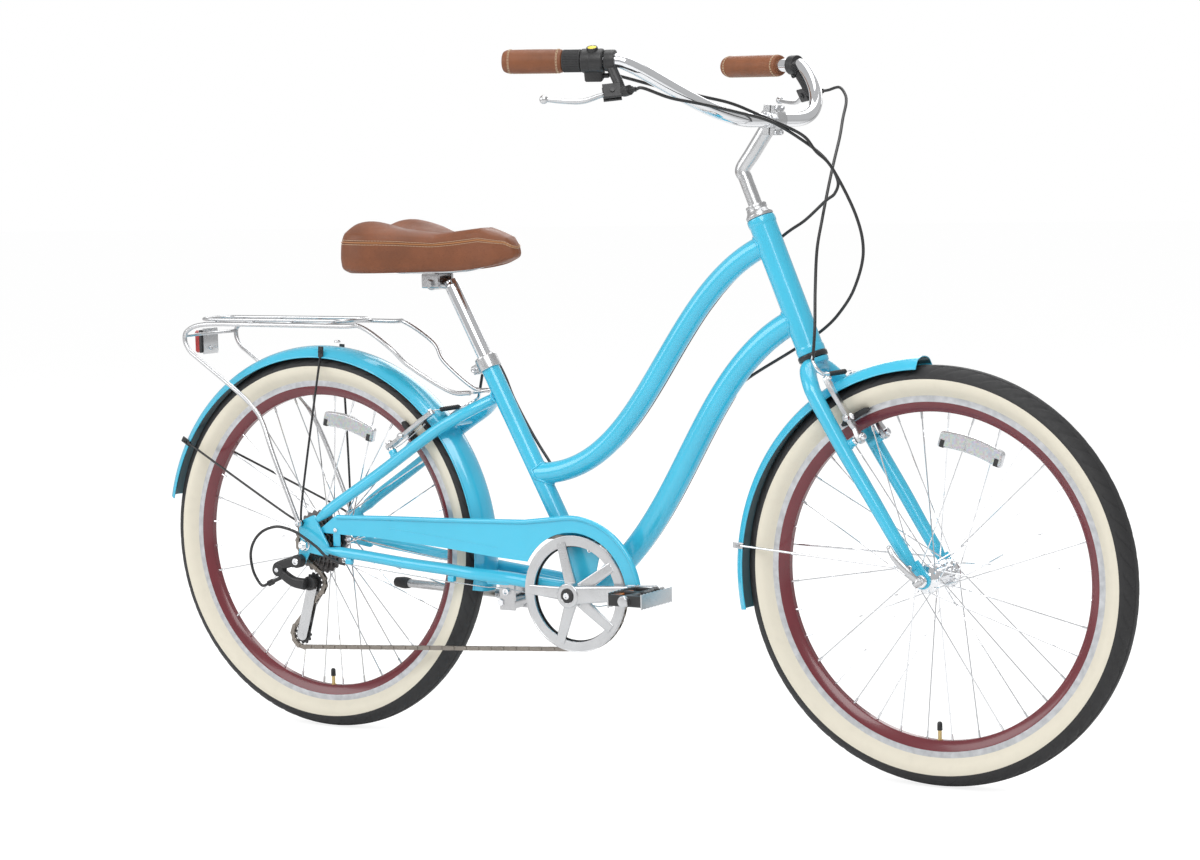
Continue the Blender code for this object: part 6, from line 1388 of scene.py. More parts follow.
        plates += box_solid((0.030, 0.005, 0.048), turn, (0.383, -0.0105, 0.254), 0.0012)
        plates += rod(vec(0.386, -0.012, 0.243), vec(0.386, 0.0285, 0.243), 0.0125, 32, 0.001)
        Part.place("kickstand_bracket", plates, "frame", BRUSHED, angle=35)
        heads = bolt(vec(0.383, -0.0130, 0.262), vec(0, -1, 0), 0.0065, 0.005)
        heads += nut(vec(0.371, -0.012, 0.243), vec(0, -1, 0), 0.0062, 0.004)
        Part.place("kickstand_bolts", heads, "frame", CHROME)
        eyelet = vec(-0.006, 0.0, 0.3685)
        small = bolt(eyelet + vec(0, -y - 0.0072, 0), vec(0, -1, 0), 0.0046, 0.0032)
        small += nut(eyelet + vec(0, -y + 0.0025, 0), vec(0, 1, 0), 0.0045, 0.003)
        Part.place("eyelet_bolts", mirror_pair(small), "frame", CHROME)

    def seat_collar(self) -> None:
        """The silver collar round the top of the seat tube, with its split and bolt behind."""
        low = SEAT_TOP - SEAT_UP * 0.020
        r = 0.0195
        ring = spun([(0.0129, 0.0005), (r - 0.0008, 0.0), (r, 0.0008), (r, 0.0215), (r - 0.001, 0.0238),
                     (0.0129, 0.0240)], 0.0008, low, SEAT_UP, 56, loop=True)
        back = vec(-SEAT_UP[2], 0.0, SEAT_UP[0])
        at = low + SEAT_UP * 0.012 + back * (r + 0.003)
        turn = np.column_stack([back, vec(0, 1, 0), np.cross(back, vec(0, 1, 0))])
        for side in (-1.0, 1.0):
            ring += box_solid((0.015, 0.0066, 0.0150), turn, at + vec(0, side * 0.0047, 0), 0.0012)
        Part.place("seat_collar", ring, "frame", SATIN, ["seat_clamp"], angle=40)
        centre = low + SEAT_UP * 0.012 + back * (r + 0.006)
        fixings = bolt(centre + vec(0, -0.0080, 0), vec(0, -1, 0), 0.0048, 0.0045)
        fixings += nut(centre + vec(0, 0.0080, 0), vec(0, 1, 0), 0.0046, 0.0042)
        Part.place("seat_collar_bolt", fixings, "frame", CHROME)


@dataclass
class Fenders:
    """Both mudguards: painted arches with a dark teal sheet of painted shade inside, rolled edges and wire
    stays.
    """

    crown: float = 0.3500
    shoulder: float = 0.3455
    edge: float = 0.3320
    half: float = 0.0310
    wall: float = 0.0014
    drop: float = 0.006

    def section(self, inset: float) -> Array:
        """The arch's section as rows of radius and y, taken in by inset.

        Args:
            inset: how far the section lies inside the outer one.

        Returns:
            The rows, from the right edge to the left one.
        """
        rows = [(self.edge, -self.half + inset), (self.shoulder - inset * 0.8, -0.0200 + inset * 0.3),
                (self.crown - inset, 0.0), (self.shoulder - inset * 0.8, 0.0200 - inset * 0.3),
                (self.edge, self.half - inset)]
        return through(rows, 8)

    def swept(self, centre: Array, start: float, end: float, rows: Array) -> Solid:
        """A closed section carried round the axle: point(a, k) = centre + r(k) (cos a X + sin a Z) + y(k) Y.

        Args:
            centre: of the arch.
            start: first angle in degrees.
            end: last angle in degrees.
            rows: radius and y of the section.

        Returns:
            The closed arch.
        """
        a = np.radians(np.linspace(start, end, int((end - start) * 1.1)))[:, None]
        r, y = rows[None, :, 0], rows[None, :, 1]
        points = np.stack([centre[0] + r * np.cos(a), y + 0.0 * a, centre[2] + r * np.sin(a)], axis=-1)
        n, m = a.shape[0], rows.shape[0]
        return Solid(points.reshape(-1, 3), grid_faces(n, m, False, True), end_caps(n, m))

    def arch(self, name: str, body: str, axle: Array, start: float, end: float, node: str) -> None:
        """One mudguard with its inside sheet of painted shade and its rolled edges.

        Args:
            name: front or rear.
            body: the body that it rides on.
            axle: the wheel's middle.
            start: first angle in degrees.
            end: last angle in degrees.
            node: the frame's node that it replaces.
        """
        centre = axle - vec(0, 0, self.drop)
        outer, middle, inner = self.section(0.0), self.section(self.wall), self.section(self.wall + 0.0004)
        shell = self.swept(centre, start, end, np.vstack([outer, middle[::-1]]))
        a = np.radians(np.linspace(start, end, int((end - start) * 1.1)))
        for y in (-self.half, self.half):
            line = np.column_stack([centre[0] + self.edge * np.cos(a), np.full(len(a), y * 0.985),
                                    centre[2] + self.edge * np.sin(a)])
            shell += pipe(line, 0.0016, 10)
        Part.place(f"{name}_fender_shell", shell, body, SKY, [node], angle=60)
        # The inside sheet is painted shade: dark teal where the sky-blue mudguard's inside lies in shade.
        inside_shade = self.swept(centre, start + 0.15, end - 0.15, np.vstack([middle[3:-3], inner[3:-3][::-1]]))
        Part.place(f"{name}_fender_lining", inside_shade, body, INSIDE_SHADE_PAINT, angle=60)

    def stay(self, low: Array, top: Array, wire_y: float, radius: float) -> Solid:
        """One wire stay from the eyelet to the mudguard's edge, bent near its foot and flattened at its eye.

        Args:
            low: the eyelet.
            top: the place at the mudguard's edge.
            wire_y: y of the wire above its foot.
            radius: of the wire.

        Returns:
            The wire with its eye.
        """
        knee = low + (top - low) * 0.12
        knee[1] = wire_y
        path = through([low, knee, low + (top - low) * 0.5 + vec(0, (wire_y - top[1]) * 0.10, 0), top], 10)
        eye = spun([(0.0022, -0.0011), (0.0052, -0.0011), (0.0052, 0.0011), (0.0022, 0.0011)], 0.0005, low,
                   vec(0, 1, 0), 24, loop=True)
        return pipe(path, radius, 12) + eye

    def build(self) -> None:
        """Builds both mudguards."""
        self.arch("rear", "frame", REAR_AXLE, -10.5, 167.7, "rear_fender")
        self.arch("front", "steering", FRONT_AXLE, 93.1, 190.7, "front_fender")
        eyelet = vec(-0.006, -0.0704, 0.3685)
        tops = (vec(0.0190, -0.0308, 0.663), vec(-0.2886, -0.0308, 0.498))
        rear = together(self.stay(eyelet, top, -0.0704, 0.0020) for top in tops)
        Part.place("rear_fender_stays", mirror_pair(rear), "frame", BLACK_METAL)
        low, top = vec(1.163, -0.0656, 0.350), vec(0.8456, -0.0308, 0.3658)
        Part.place("front_fender_stays", mirror_pair(self.stay(low, top, -0.0656, 0.0020)), "steering",
                   CHROME)
        clips = [self.clip(t, REAR_AXLE) for t in tops]
        Part.place("rear_stay_clips", mirror_pair(together(clips)), "frame", BLACK)
        Part.place("front_stay_clips", mirror_pair(self.clip(top, FRONT_AXLE)), "steering", BRUSHED)
        crown = bolt(vec(0.033, 0.0, 0.6797), vec(0.03, 0, 1), 0.0055, 0.0035)
        Part.place("rear_fender_bolt", crown, "frame", CHROME)

    @staticmethod
    def clip(top: Array, axle: Array) -> Solid:
        """The clip that holds a wire to the mudguard's edge, with its small screw.

        Args:
            top: the wire's end.
            axle: the wheel's middle.

        Returns:
            The clip.
        """
        out = unit((top - axle) * vec(1, 0, 1))
        turn = np.column_stack([np.cross(vec(0, 1, 0), out), out, vec(0, 1, 0)])
        at = np.array(top) + out * 0.002
        screw = bolt(at - vec(0, 0.0020, 0), vec(0, -1, 0), 0.0032, 0.0024)
        return box_solid((0.010, 0.019, 0.0045), turn, at, 0.0012) + screw


@dataclass
class ChainGuard:
    """The painted plate outside the chain, rolled at its upper edge, with its bracket and lug."""

    y: float = -0.0600
    outer: float = 0.1310
    cut: float = 0.1025
    wall: float = 0.0014

    def build(self) -> None:
        """Builds the guard."""
        centre = (BRACKET[0], BRACKET[2])
        front = arc2(centre, self.outer, 97, 10, 48)
        hollow = arc2(centre, self.cut, 12, 151, 56)
        back = [(0.390, 0.3280), (0.301, 0.3370), (0.155, 0.3480), (0.034, 0.352), (0.027, 0.358),
                (0.0605, 0.382), (0.075, 0.3845), (0.300, 0.3880), (0.465, 0.3925)]
        outline = np.vstack([np.array(back), front, hollow])[::-1]
        plate = slab(outline, self.wall, SIDE_VIEW, (0, self.y, 0), 0.0)
        roll = np.vstack([through([(0.066, 0.3808), (0.180, 0.3838), (0.300, 0.3858), (0.455, 0.3900)], 12),
                          arc2(centre, self.outer - 0.0040, 95, 10, 48)])
        path = np.column_stack([roll[:, 0], np.full(len(roll), self.y - 0.0008), roll[:, 1]])
        plate += pipe(path, 0.0040, 16)
        plate += box_solid((0.014, 0.002, 0.033), np.eye(3), (0.062, self.y + 0.0014, 0.3453), 0.0008)
        bracket_y = -0.0352
        wedge = np.vstack([arc2(centre, 0.0205, 180, 360, 24), arc2(centre, 0.1200, 66, 110, 20)])
        plate += slab(wedge, 0.0020, SIDE_VIEW, (0, bracket_y, 0), 0.0004)
        plate += box_solid((0.040, 0.0245, 0.002), np.eye(3),
                           (BRACKET[0], (bracket_y + self.y) / 2, BRACKET[2] + 0.115), 0.0)
        Part.place("chain_guard_shell", plate, "frame", SKY, ["chain_guard"], angle=40)
        crease = np.column_stack([np.linspace(0.175, 0.400, 30), np.full(30, self.y - 0.0006),
                                  np.linspace(0.3660, 0.3480, 30) - 0.004 * np.linspace(0, 1, 30) ** 2])
        Part.place("chain_guard_crease", pipe(crease, 0.0007, 8), "frame", SKY, angle=80)
        screws = [bolt(vec(x, -0.0362, z), vec(0, -1, 0), 0.0042, 0.0030)
                  for x, z in ((0.552, 0.3555), (0.566, 0.3450))]
        screws.append(bolt(vec(0.062, self.y - 0.0008, 0.358), vec(0, -1, 0), 0.0040, 0.0028))
        Part.place("chain_guard_screws", together(screws), "frame", CHROME)


@dataclass
class Fork:
    """The fork with its crown, curved blades, tips and brake bosses."""

    blade_y: float = 0.0550
    tip_y: float = 0.0530
    top_radius: float = 0.0135
    foot_radius: float = 0.0100

    def build(self) -> None:
        """Builds the fork."""
        crown = HEAD_BOTTOM - HEAD_UP * 0.0182
        points = [(crown[0], 0.0, crown[2]), (0.9745, -0.028, 0.6505), (0.990, -0.050, 0.628),
                  (1.004, -self.blade_y, 0.604), (1.048, -self.blade_y, 0.529), (1.098, -self.blade_y, 0.451),
                  (1.135, -0.0540, 0.392), (1.166, -self.tip_y, 0.346)]
        path = through(points, 12)
        share = np.linspace(0.0, 1.0, len(path))
        radius = self.top_radius + (self.foot_radius - self.top_radius) * share ** 1.5
        radius[-6:] *= np.linspace(1.0, 0.62, 6)
        right = pipe(path, radius, 36, hint=(0.4, 0.5, 0.7))
        foot, out = vec(*FRONT_BOSS.foot), vec(0.854, 0.0, 0.520)
        right += stud(foot, out)
        axle = (FRONT_AXLE[0], FRONT_AXLE[2])
        outline = np.vstack([arc2(axle, 0.0130, 200, 400, 28), [(1.172, 0.362), (1.153, 0.352)]])
        right += slab(outline, 0.0060, SIDE_VIEW, (0, -self.tip_y, 0), 0.0008)
        blades = mirror_pair(right)
        blades += spun([(0.0150, 0.0), (0.0222, 0.0012), (0.0230, 0.0088), (0.0150, 0.0100)], 0.001, crown,
                       HEAD_UP, 56)
        Part.place("fork_blades", blades, "steering", SKY, ["fork"], angle=42)
        bolts = mirror_pair(bolt(foot + out * STUD_REACH, out, 0.0058, 0.0042))
        bolts += bolt(vec(0.9905, 0.0, 0.640), vec(0.854, 0.0, 0.520), 0.0055, 0.0040)
        low = vec(1.163, -0.0668, 0.350)
        bolts += mirror_pair(bolt(low, vec(0, -1, 0), 0.0046, 0.0030))
        Part.place("fork_bolts", bolts, "steering", CHROME)


BAR_CLAMP = vec(0.905, 0.0, 1.043)
BAR_END = vec(0.632, -0.345, 1.140)
GRIP_START = vec(0.797, -0.2925, 1.1365)
BAR_FORWARD = unit(GRIP_START - BAR_END)
LEVER_PIVOT = vec(0.8000, -0.3130, 1.0886)
LEVER_BARREL = vec(0.8366, -0.3040, 1.0920)
LEVER_TIP = vec(0.7167, -0.3740, 1.0800)


def on_bar(distance: float) -> Array:
    """A point of the bar's straight right end, this far forward of its tip."""
    return BAR_END + BAR_FORWARD * distance


SHIFTER_START = 0.090 + 0.0003 + 0.028 + 0.0008
SHIFTER_LENGTH = 0.035


def under_shifter() -> Array:
    """The way that the shifter's cable box points: down and a little inboard, square to the bar.

    Returns:
        A direction of length one.
    """
    inboard = unit(vec(0, 1, 0) - BAR_FORWARD * BAR_FORWARD[1])
    down = np.cross(inboard, BAR_FORWARD)
    down = -down if down[2] > 0 else down
    return unit(down * 0.93 + inboard * 0.37)


def crosses(points: Array, along: Array, across: Array, size: float, out: Array,
            radius: float = 0.00034) -> Solid:
    """Cross stitches: at each point two threads that run over each other, slightly proud of the hide.

    Args:
        points: middles of the crosses.
        along: one direction at each.
        across: the other direction at each.
        size: length of a thread along either direction.
        out: the way off the hide at each.
        radius: of the thread.

    Returns:
        All threads as one mesh.
    """
    diagonal = (along + across) * size / 2
    other = (along - across) * size / 2
    lift = out * 0.00025
    return bars(np.vstack([points - diagonal, points - other + lift]),
                np.vstack([points + diagonal, points + other + lift]),
                radius, 5)


class Side(Enum):
    """Which side of the bicycle a piece is on: its sign turns the right-hand form into it."""

    RIGHT = 1
    LEFT = -1

    def of(self, solid: Solid) -> Solid:
        """The right-hand form, or its mirror image on the left."""
        return solid if self is Side.RIGHT else solid.mirrored()


@dataclass
class Cockpit:
    """Stem, bar, grips, twist shifter and the two brake levers."""

    bar_radius: float = 0.0111
    grip_radius: float = 0.0180
    right_grip: float = 0.090
    left_grip: float = 0.130

    def build(self) -> None:
        """Builds the whole cockpit."""
        self.headset()
        self.stem()
        self.bar()
        self.grip(Side.RIGHT, self.right_grip)
        self.grip(Side.LEFT, self.left_grip)
        self.shifter()
        self.levers()

    def headset(self) -> None:
        """The silver cone and locknut on top of the head tube."""
        profile = [(0.0140, 0.0004), (0.0222, 0.0004), (0.0222, 0.0056), (0.0200, 0.0085), (0.0174, 0.0132),
                   (0.0174, 0.0162), (0.0166, 0.0166), (0.0172, 0.0170), (0.0172, 0.0216), (0.0140, 0.0222)]

        def facets(angle: Array, row: Array) -> Array:
            """The locknut's rows get eight shallow flats."""
            return np.where(row >= 20, -0.0006 * (1 - np.abs(np.cos(4 * angle))), 0.0)

        cap = spun(profile, 0.0007, HEAD_TOP, HEAD_UP, 64, swell=facets)
        Part.place("headset_cone", cap, "steering", SATIN, ["headset_cap"], angle=40)

    def stem(self) -> None:
        """The quill stem's post, bend and arm, its clamp and the plate that closes it with four bolts."""
        bend_at = vec(0.848, 0.0, 0.966)
        rise = HEAD_TOP + HEAD_UP * 0.060
        bend = through([rise + HEAD_UP * 0.010, bend_at, bend_at + (BAR_CLAMP - bend_at) * 0.30], 18)
        path = np.vstack([HEAD_TOP - HEAD_UP * 0.010, rise - HEAD_UP * 0.01, rise, bend,
                          BAR_CLAMP - vec(0.008, 0, 0.010)])
        radius = np.concatenate([[0.0111] * 3, np.linspace(0.0111, 0.0125, len(bend)), [0.0128]])
        neck = pipe(path, radius, 44)
        c, s = math.cos(math.radians(4.0)), math.sin(math.radians(4.0))
        turn = np.column_stack([vec(c, 0, -s), vec(s, 0, c), vec(0, -1, 0)])
        front = np.vstack([[(0.0024, -0.0235), (0.0100, -0.0235), (0.0106, -0.0165)],
                           arc2((0, 0), 0.0185, -54, 54, 24),
                           [(0.0106, 0.0165), (0.0100, 0.0235), (0.0024, 0.0235)]])
        back = np.vstack([[(0.0016, 0.0235), (-0.0100, 0.0235), (-0.0106, 0.0165)],
                          arc2((0, 0), 0.0185, 126, 234, 24),
                          [(-0.0106, -0.0165), (-0.0100, -0.0235), (0.0016, -0.0235)]])
        neck += slab(back, 0.0300, turn, BAR_CLAMP, 0.0010)
        Part.place("stem_body", neck, "steering", SATIN, ["stem"], angle=40)
        plate = slab(front, 0.0300, turn, BAR_CLAMP, 0.0010)
        Part.place("stem_plate", plate, "steering", SATIN, ["stem_faceplate"], angle=40)
        heads = [bolt(BAR_CLAMP + turn @ vec(0.0098, z, y), turn[:, 0], 0.0036, 0.0032)
                 for z in (-0.0192, 0.0192) for y in (-0.0100, 0.0100)]
        Part.place("stem_bolts", together(heads), "steering", CHROME)

    def bar(self) -> None:
        """The swept chrome bar: a straight middle, one cubic each side and a straight run under each grip."""
        start = vec(BAR_CLAMP[0], -0.0678, BAR_CLAMP[2])
        sweep = cubic(start, start - vec(0, 0.1396, 0), GRIP_START + BAR_FORWARD * 0.0283, GRIP_START, 56)
        right = np.vstack([sweep, on_bar(0.12), on_bar(0.002)])
        left = right[::-1] * vec(1, -1, 1)
        bar = pipe(np.vstack([left, right]), self.bar_radius, 36, hint=(0.2, 0.1, 1.0))
        profile = rounded([(0.0108, -0.0260), (0.0128, -0.0215), (0.0128, 0.0215), (0.0108, 0.0260)], 0.0015)
        bar += lathe(profile, BAR_CLAMP, vec(0, 1, 0), 40)
        Part.place("swept_bar", bar, "steering", CHROME, ["handlebar"], angle=50)

    def grip(self, side: Side, length: float) -> None:
        """One grip of wrapped hide, its ends drawn in, with cross stitching round both ends and below.

        Args:
            side: which end of the bar.
            length: from the bar's tip.
        """
        r, name = self.grip_radius, side.name.lower()
        profile = [(0.0020, -0.0050), (0.0118, -0.0048), (0.0150, -0.0036), (r - 0.0012, -0.0006),
                   (r - 0.0002, 0.0030), (r, 0.012), (r + 0.0003, length * 0.5), (r, length - 0.012),
                   (r - 0.0004, length - 0.0032), (r - 0.0022, length - 0.0006), (0.0125, length)]
        hide = lathe(through(profile, 4), BAR_END, BAR_FORWARD, 72)
        Part.place(f"{name}_grip_hide", side.of(hide), "steering", GRIP_HIDE, [f"grip_{name}"], angle=60)
        turn = basis(BAR_FORWARD, (0, 0, -1))
        a = np.arange(26) * TAU / 26
        out = np.cos(a)[:, None] * turn[:, 0] + np.sin(a)[:, None] * turn[:, 1]
        around = np.cross(BAR_FORWARD[None], out)
        thread = Solid.empty()
        for h in (0.0065, length - 0.0075):
            thread = thread + crosses(on_bar(h) + out * (r + 0.00015), np.tile(BAR_FORWARD, (26, 1)), around,
                                      0.0031, out)
        count = int((length - 0.022) / 0.0042)
        line = BAR_END + np.linspace(0.012, length - 0.012, count)[:, None] * BAR_FORWARD
        down = np.tile(turn[:, 0], (count, 1))
        thread = thread + crosses(line + down * (r + 0.0003), np.tile(BAR_FORWARD, (count, 1)),
                                  np.tile(turn[:, 1], (count, 1)), 0.0032, down)
        Part.place(f"{name}_grip_stitching", side.of(thread), "steering", CREAM_THREAD, angle=30)

    def shifter(self) -> None:
        """The twist shifter: a ribbed sleeve, a collar with a cable box and guide, and a round window."""
        low = self.right_grip + 0.0003
        rows = rounded([(0.0125, 0.0), (0.0170, 0.0), (0.0174, 0.0012), (0.0168, 0.0024), (0.0168, 0.0256),
                        (0.0174, 0.0268), (0.0170, 0.0280), (0.0125, 0.0280)], 0.0005)

        def ribs(angle: Array, row: Array) -> Array:
            """Forty ribs between the sleeve's two lips."""
            inside = (row > 8) & (row < len(rows) - 9)
            wave = np.cos(40 * angle)
            return np.where(inside, 0.00045 * np.sign(wave) * np.abs(wave) ** 0.6, 0.0)

        sleeve = lathe(rows, on_bar(low), BAR_FORWARD, 240, swell=ribs)
        Part.place("ribbed_sleeve", sleeve, "shift_grip", RUBBER, ["shift_grip"], angle=35)
        start, length = SHIFTER_START, SHIFTER_LENGTH
        body = spun([(0.0120, 0.0), (0.0178, 0.0004), (0.0185, 0.0025), (0.0185, 0.0130), (0.0180, 0.0140),
                     (0.0185, 0.0150), (0.0185, length - 0.0030), (0.0165, length), (0.0120, length)],
                    0.0010, on_bar(start), BAR_FORWARD, 64)
        under = under_shifter()
        centre = on_bar(start + length / 2)
        turn = np.column_stack([under, np.cross(BAR_FORWARD, under), BAR_FORWARD])
        body += box_solid((0.024, 0.022, length * 0.8), turn, centre + under * 0.018, 0.0022)
        body += rod(centre + under * 0.024, centre + under * 0.024 + BAR_FORWARD * 0.022, 0.0038, 24, 0.0008)
        body += spun([(0.0088, 0.012), (0.0088, 0.0214), (0.0076, 0.0222), (0.0070, 0.0216)], 0.0006,
                     centre, -under, 40)
        Part.place("shifter_collar", body, "steering", BLACK, ["shifter_body"], angle=38)
        window = lathe([(0.0068, 0.0190), (0.0068, 0.0216), (0.0050, 0.0221), (0.0010, 0.0223)], centre,
                       -under, 32)
        Part.place("gear_window", window, "steering", YELLOW, angle=50)

    def levers(self) -> None:
        """Both brake levers with their black brackets, pins and barrel adjusters."""
        centre = on_bar(0.1635)
        back = unit(LEVER_TIP - LEVER_PIVOT)
        normal = unit(np.cross(back, centre - LEVER_PIVOT))
        up = np.cross(normal, back)
        clamp = spun([(0.0114, -0.008), (0.0158, -0.008), (0.0165, -0.0070), (0.0165, 0.0070),
                      (0.0158, 0.008), (0.0114, 0.008)], 0.0008, centre, BAR_FORWARD, 48)
        neck = through([centre - up * 0.012, LEVER_PIVOT + up * 0.020 - back * 0.010,
                        LEVER_PIVOT - back * 0.016, LEVER_PIVOT + (LEVER_BARREL - LEVER_PIVOT) * 0.75], 8)
        bracket = clamp + pipe(neck, 0.0078, 24)
        turn = np.column_stack([up, back, normal])
        for lift in (-1.0, 1.0):
            bracket += box_solid((0.023, 0.028, 0.0050), turn, LEVER_PIVOT + normal * lift * 0.0062, 0.0016)
        to_barrel = LEVER_BARREL - LEVER_PIVOT
        bracket += spun([(0.0062, 0.0), (0.0062, 0.010), (0.0055, 0.0115)], 0.0006,
                        LEVER_PIVOT + to_barrel * 0.40, to_barrel, 32)
        grip_bolt = bolt(centre - up * 0.0150 + normal * 0.0085, normal, 0.0042, 0.0040)
        run, reach = unit(to_barrel), float(np.linalg.norm(to_barrel))

        def knurl(angle: Array, row: Array) -> Array:
            """Fine ribs round the adjuster."""
            return np.where((row > 1) & (row < 8), 0.00035 * np.cos(18 * angle), 0.0)

        adjuster = spun([(0.0030, reach * 0.62), (0.0050, reach * 0.64), (0.0050, reach * 0.88),
                         (0.0038, reach * 0.90), (0.0038, reach)], 0.0005,
                        LEVER_PIVOT, run, 108, swell=knurl)
        pins = bolt(LEVER_PIVOT + normal * 0.0087, normal, 0.0046, 0.0022)
        pins += nut(LEVER_PIVOT - normal * 0.0087, -normal, 0.0042, 0.0022)
        blade_back = LEVER_TIP - LEVER_PIVOT
        line = through([LEVER_PIVOT, LEVER_PIVOT + blade_back * 0.18 - up * 0.004,
                        LEVER_PIVOT + blade_back * 0.45 - up * 0.010,
                        LEVER_PIVOT + blade_back * 0.75 - up * 0.006, LEVER_TIP], 14)
        share = np.linspace(0, 1, len(line))
        wide = 0.0044 + 0.0014 * np.sin(np.pi * share)
        blade = sweep(line, circle(1.0, 24), normal, scale=np.column_stack([wide, wide * 0.62]))
        blade += spun([(0.0060, -0.003), (0.0085, -0.003), (0.0085, 0.003), (0.0060, 0.003)], 0.0007,
                      LEVER_PIVOT, normal, 40)
        blade += ball(LEVER_TIP, 0.0068, 28)
        for side in Side:
            name = side.name.lower()
            Part.place(f"{name}_lever_bracket", side.of(bracket), "steering", BLACK,
                       [f"brake_bracket_{name}"], angle=40)
            Part.place(f"{name}_lever_fittings", side.of(adjuster + pins + grip_bolt), "steering",
                       BLACK_METAL)
            Part.place(f"{name}_lever_blade", side.of(blade), f"brake_lever_{name}", SATIN,
                       [f"brake_lever_{name}"])


@dataclass
class RimBrake:
    """One V-brake: two arms on their bosses, with their fittings, pads and springs."""

    name: str
    body: str
    boss: Boss
    pad_rise: float
    length: float = BRAKE_ARM_LENGTH
    pivot_y: float = 0.0430
    thickness: float = 0.0080

    @property
    def out(self) -> Array:
        """The direction of the boss's bolt."""
        return vec(*self.boss.out)

    @property
    def pivot(self) -> Array:
        """The middle of the right arm's pivot."""
        at = vec(*self.boss.foot) + self.out * (BOSS_LENGTH + BOSS_GAP + self.thickness / 2)
        return vec(at[0], -self.pivot_y, at[2])

    def build(self) -> None:
        """Builds both arms with their fittings and pads."""
        turn = np.column_stack([vec(0, 1, 0), vec(*self.boss.up), self.out])
        outline = np.vstack([arc2((0, 0), 0.0090, 175, 365, 20),
                             [(0.0085, 0.012), (0.0060, 0.022), (0.0045, 0.055), (0.0020, 0.085),
                              (0.0035, self.length), (-0.0075, self.length), (-0.0100, 0.085),
                              (-0.0075, 0.055), (-0.0075, 0.022)]])
        outline = np.vstack([outline[:20], eased(outline[19:], 0.006, 5)[6:]])
        arm = slab(outline, self.thickness, turn, self.pivot, 0.0012)
        inner = self.pivot_y - 0.0135 - 0.0020
        rise = self.pad_rise

        def local(x: float, y: float, z: float = 0.0) -> Array:
            """A place on the arm in the bicycle's coordinates."""
            return self.pivot + turn @ vec(x, y, z)

        metal = bolt(local(0, 0, 0.004), self.out, 0.0062, 0.0046)
        metal += nut(local(-0.0075, rise), vec(0, -1, 0), 0.0058, 0.0050)
        metal += rod(local(-0.0170, rise), local(inner - 0.010, rise), 0.0030, 20)
        metal += spun([(0.0040, 0.0), (0.0072, 0.0), (0.0072, 0.0022), (0.0050, 0.0030)], 0.0004,
                      local(0.0036, rise), vec(0, 1, 0), 32)
        metal += bolt(local(-0.002, self.length - 0.006, 0.004), self.out, 0.0036, 0.0032)
        spring = through([local(0.0060, 0.004, -0.0070), local(0.0085, 0.020, -0.0072),
                          local(0.0075, 0.050, -0.0068), local(0.0050, 0.078, -0.0066),
                          local(0.0015, 0.080, -0.0062)], 8)
        metal += pipe(spring, 0.0009, 10)
        length, height, deep = 0.052, 0.0085, 0.0105
        bend = np.linspace(-0.5, 0.5, 22)
        centre_x = inner - deep / 2
        path = np.stack([local(centre_x, rise - 0.0016 * (2 * b) ** 2, b * length) for b in bend])
        block = eased(np.array([(-deep / 2, -height / 2), (deep / 2, -height / 2), (deep / 2, height / 2),
                                (-deep / 2, height / 2)]), 0.0016, 3)
        end = np.clip((0.5 - np.abs(bend)) * 14, 0.55, 1.0)
        pad = sweep(path, block, (0, 1, 0), scale=np.column_stack([np.ones(22), end]))
        for side in Side:
            tag, rides = side.name.lower(), f"{self.name}_brake_arm_{side.name.lower()}"
            Part.place(f"{self.name}_{tag}_arm", side.of(arm), rides, SATIN, [rides], angle=40)
            Part.place(f"{self.name}_{tag}_arm_fittings", side.of(metal), rides, CHROME)
            Part.place(f"{self.name}_{tag}_pad", side.of(pad), rides, RUBBER, angle=50)


def toothed(teeth: int, depth: float, tip: float, steps: int = 10) -> Array:
    """The outline of a sprocket, its teeth rounded: r = root + (tip - root) * peak(angle).

    Args:
        teeth: how many.
        depth: from root to tip.
        tip: radius of the tips.
        steps: points per tooth.

    Returns:
        The outline about the origin, against the clock.
    """
    a = np.arange(teeth * steps) / (teeth * steps) * TAU
    wave = 0.5 + 0.5 * np.cos(teeth * a)
    radius = tip - depth + depth * wave ** 0.8
    return np.column_stack([radius * np.cos(a), radius * np.sin(a)])


def disc(outline: Array, inner: float, centre: Array, thickness: float) -> Solid:
    """A flat ring that stands across Y: the outline outside, a circle inside, a small chamfer on both rims.

    Args:
        outline: rows of x and z about the middle.
        inner: radius of the hole.
        centre: of the ring.
        thickness: along Y.

    Returns:
        The ring.
    """
    count = len(outline)
    a = np.arctan2(outline[:, 1], outline[:, 0])
    hole = np.column_stack([np.cos(a), np.sin(a)]) * inner
    half = thickness / 2
    shy = outline * (1 - 0.0004 / np.linalg.norm(outline, axis=1))[:, None]
    rings = [(hole, half), (shy, half), (outline, half * 0.5), (outline, -half * 0.5), (shy, -half),
             (hole, -half)]
    rows = [np.column_stack([r[:, 0], np.full(count, y), r[:, 1]]) + centre for r, y in rings]
    return Solid(np.vstack(rows), grid_faces(len(rows), count, True, True), [])


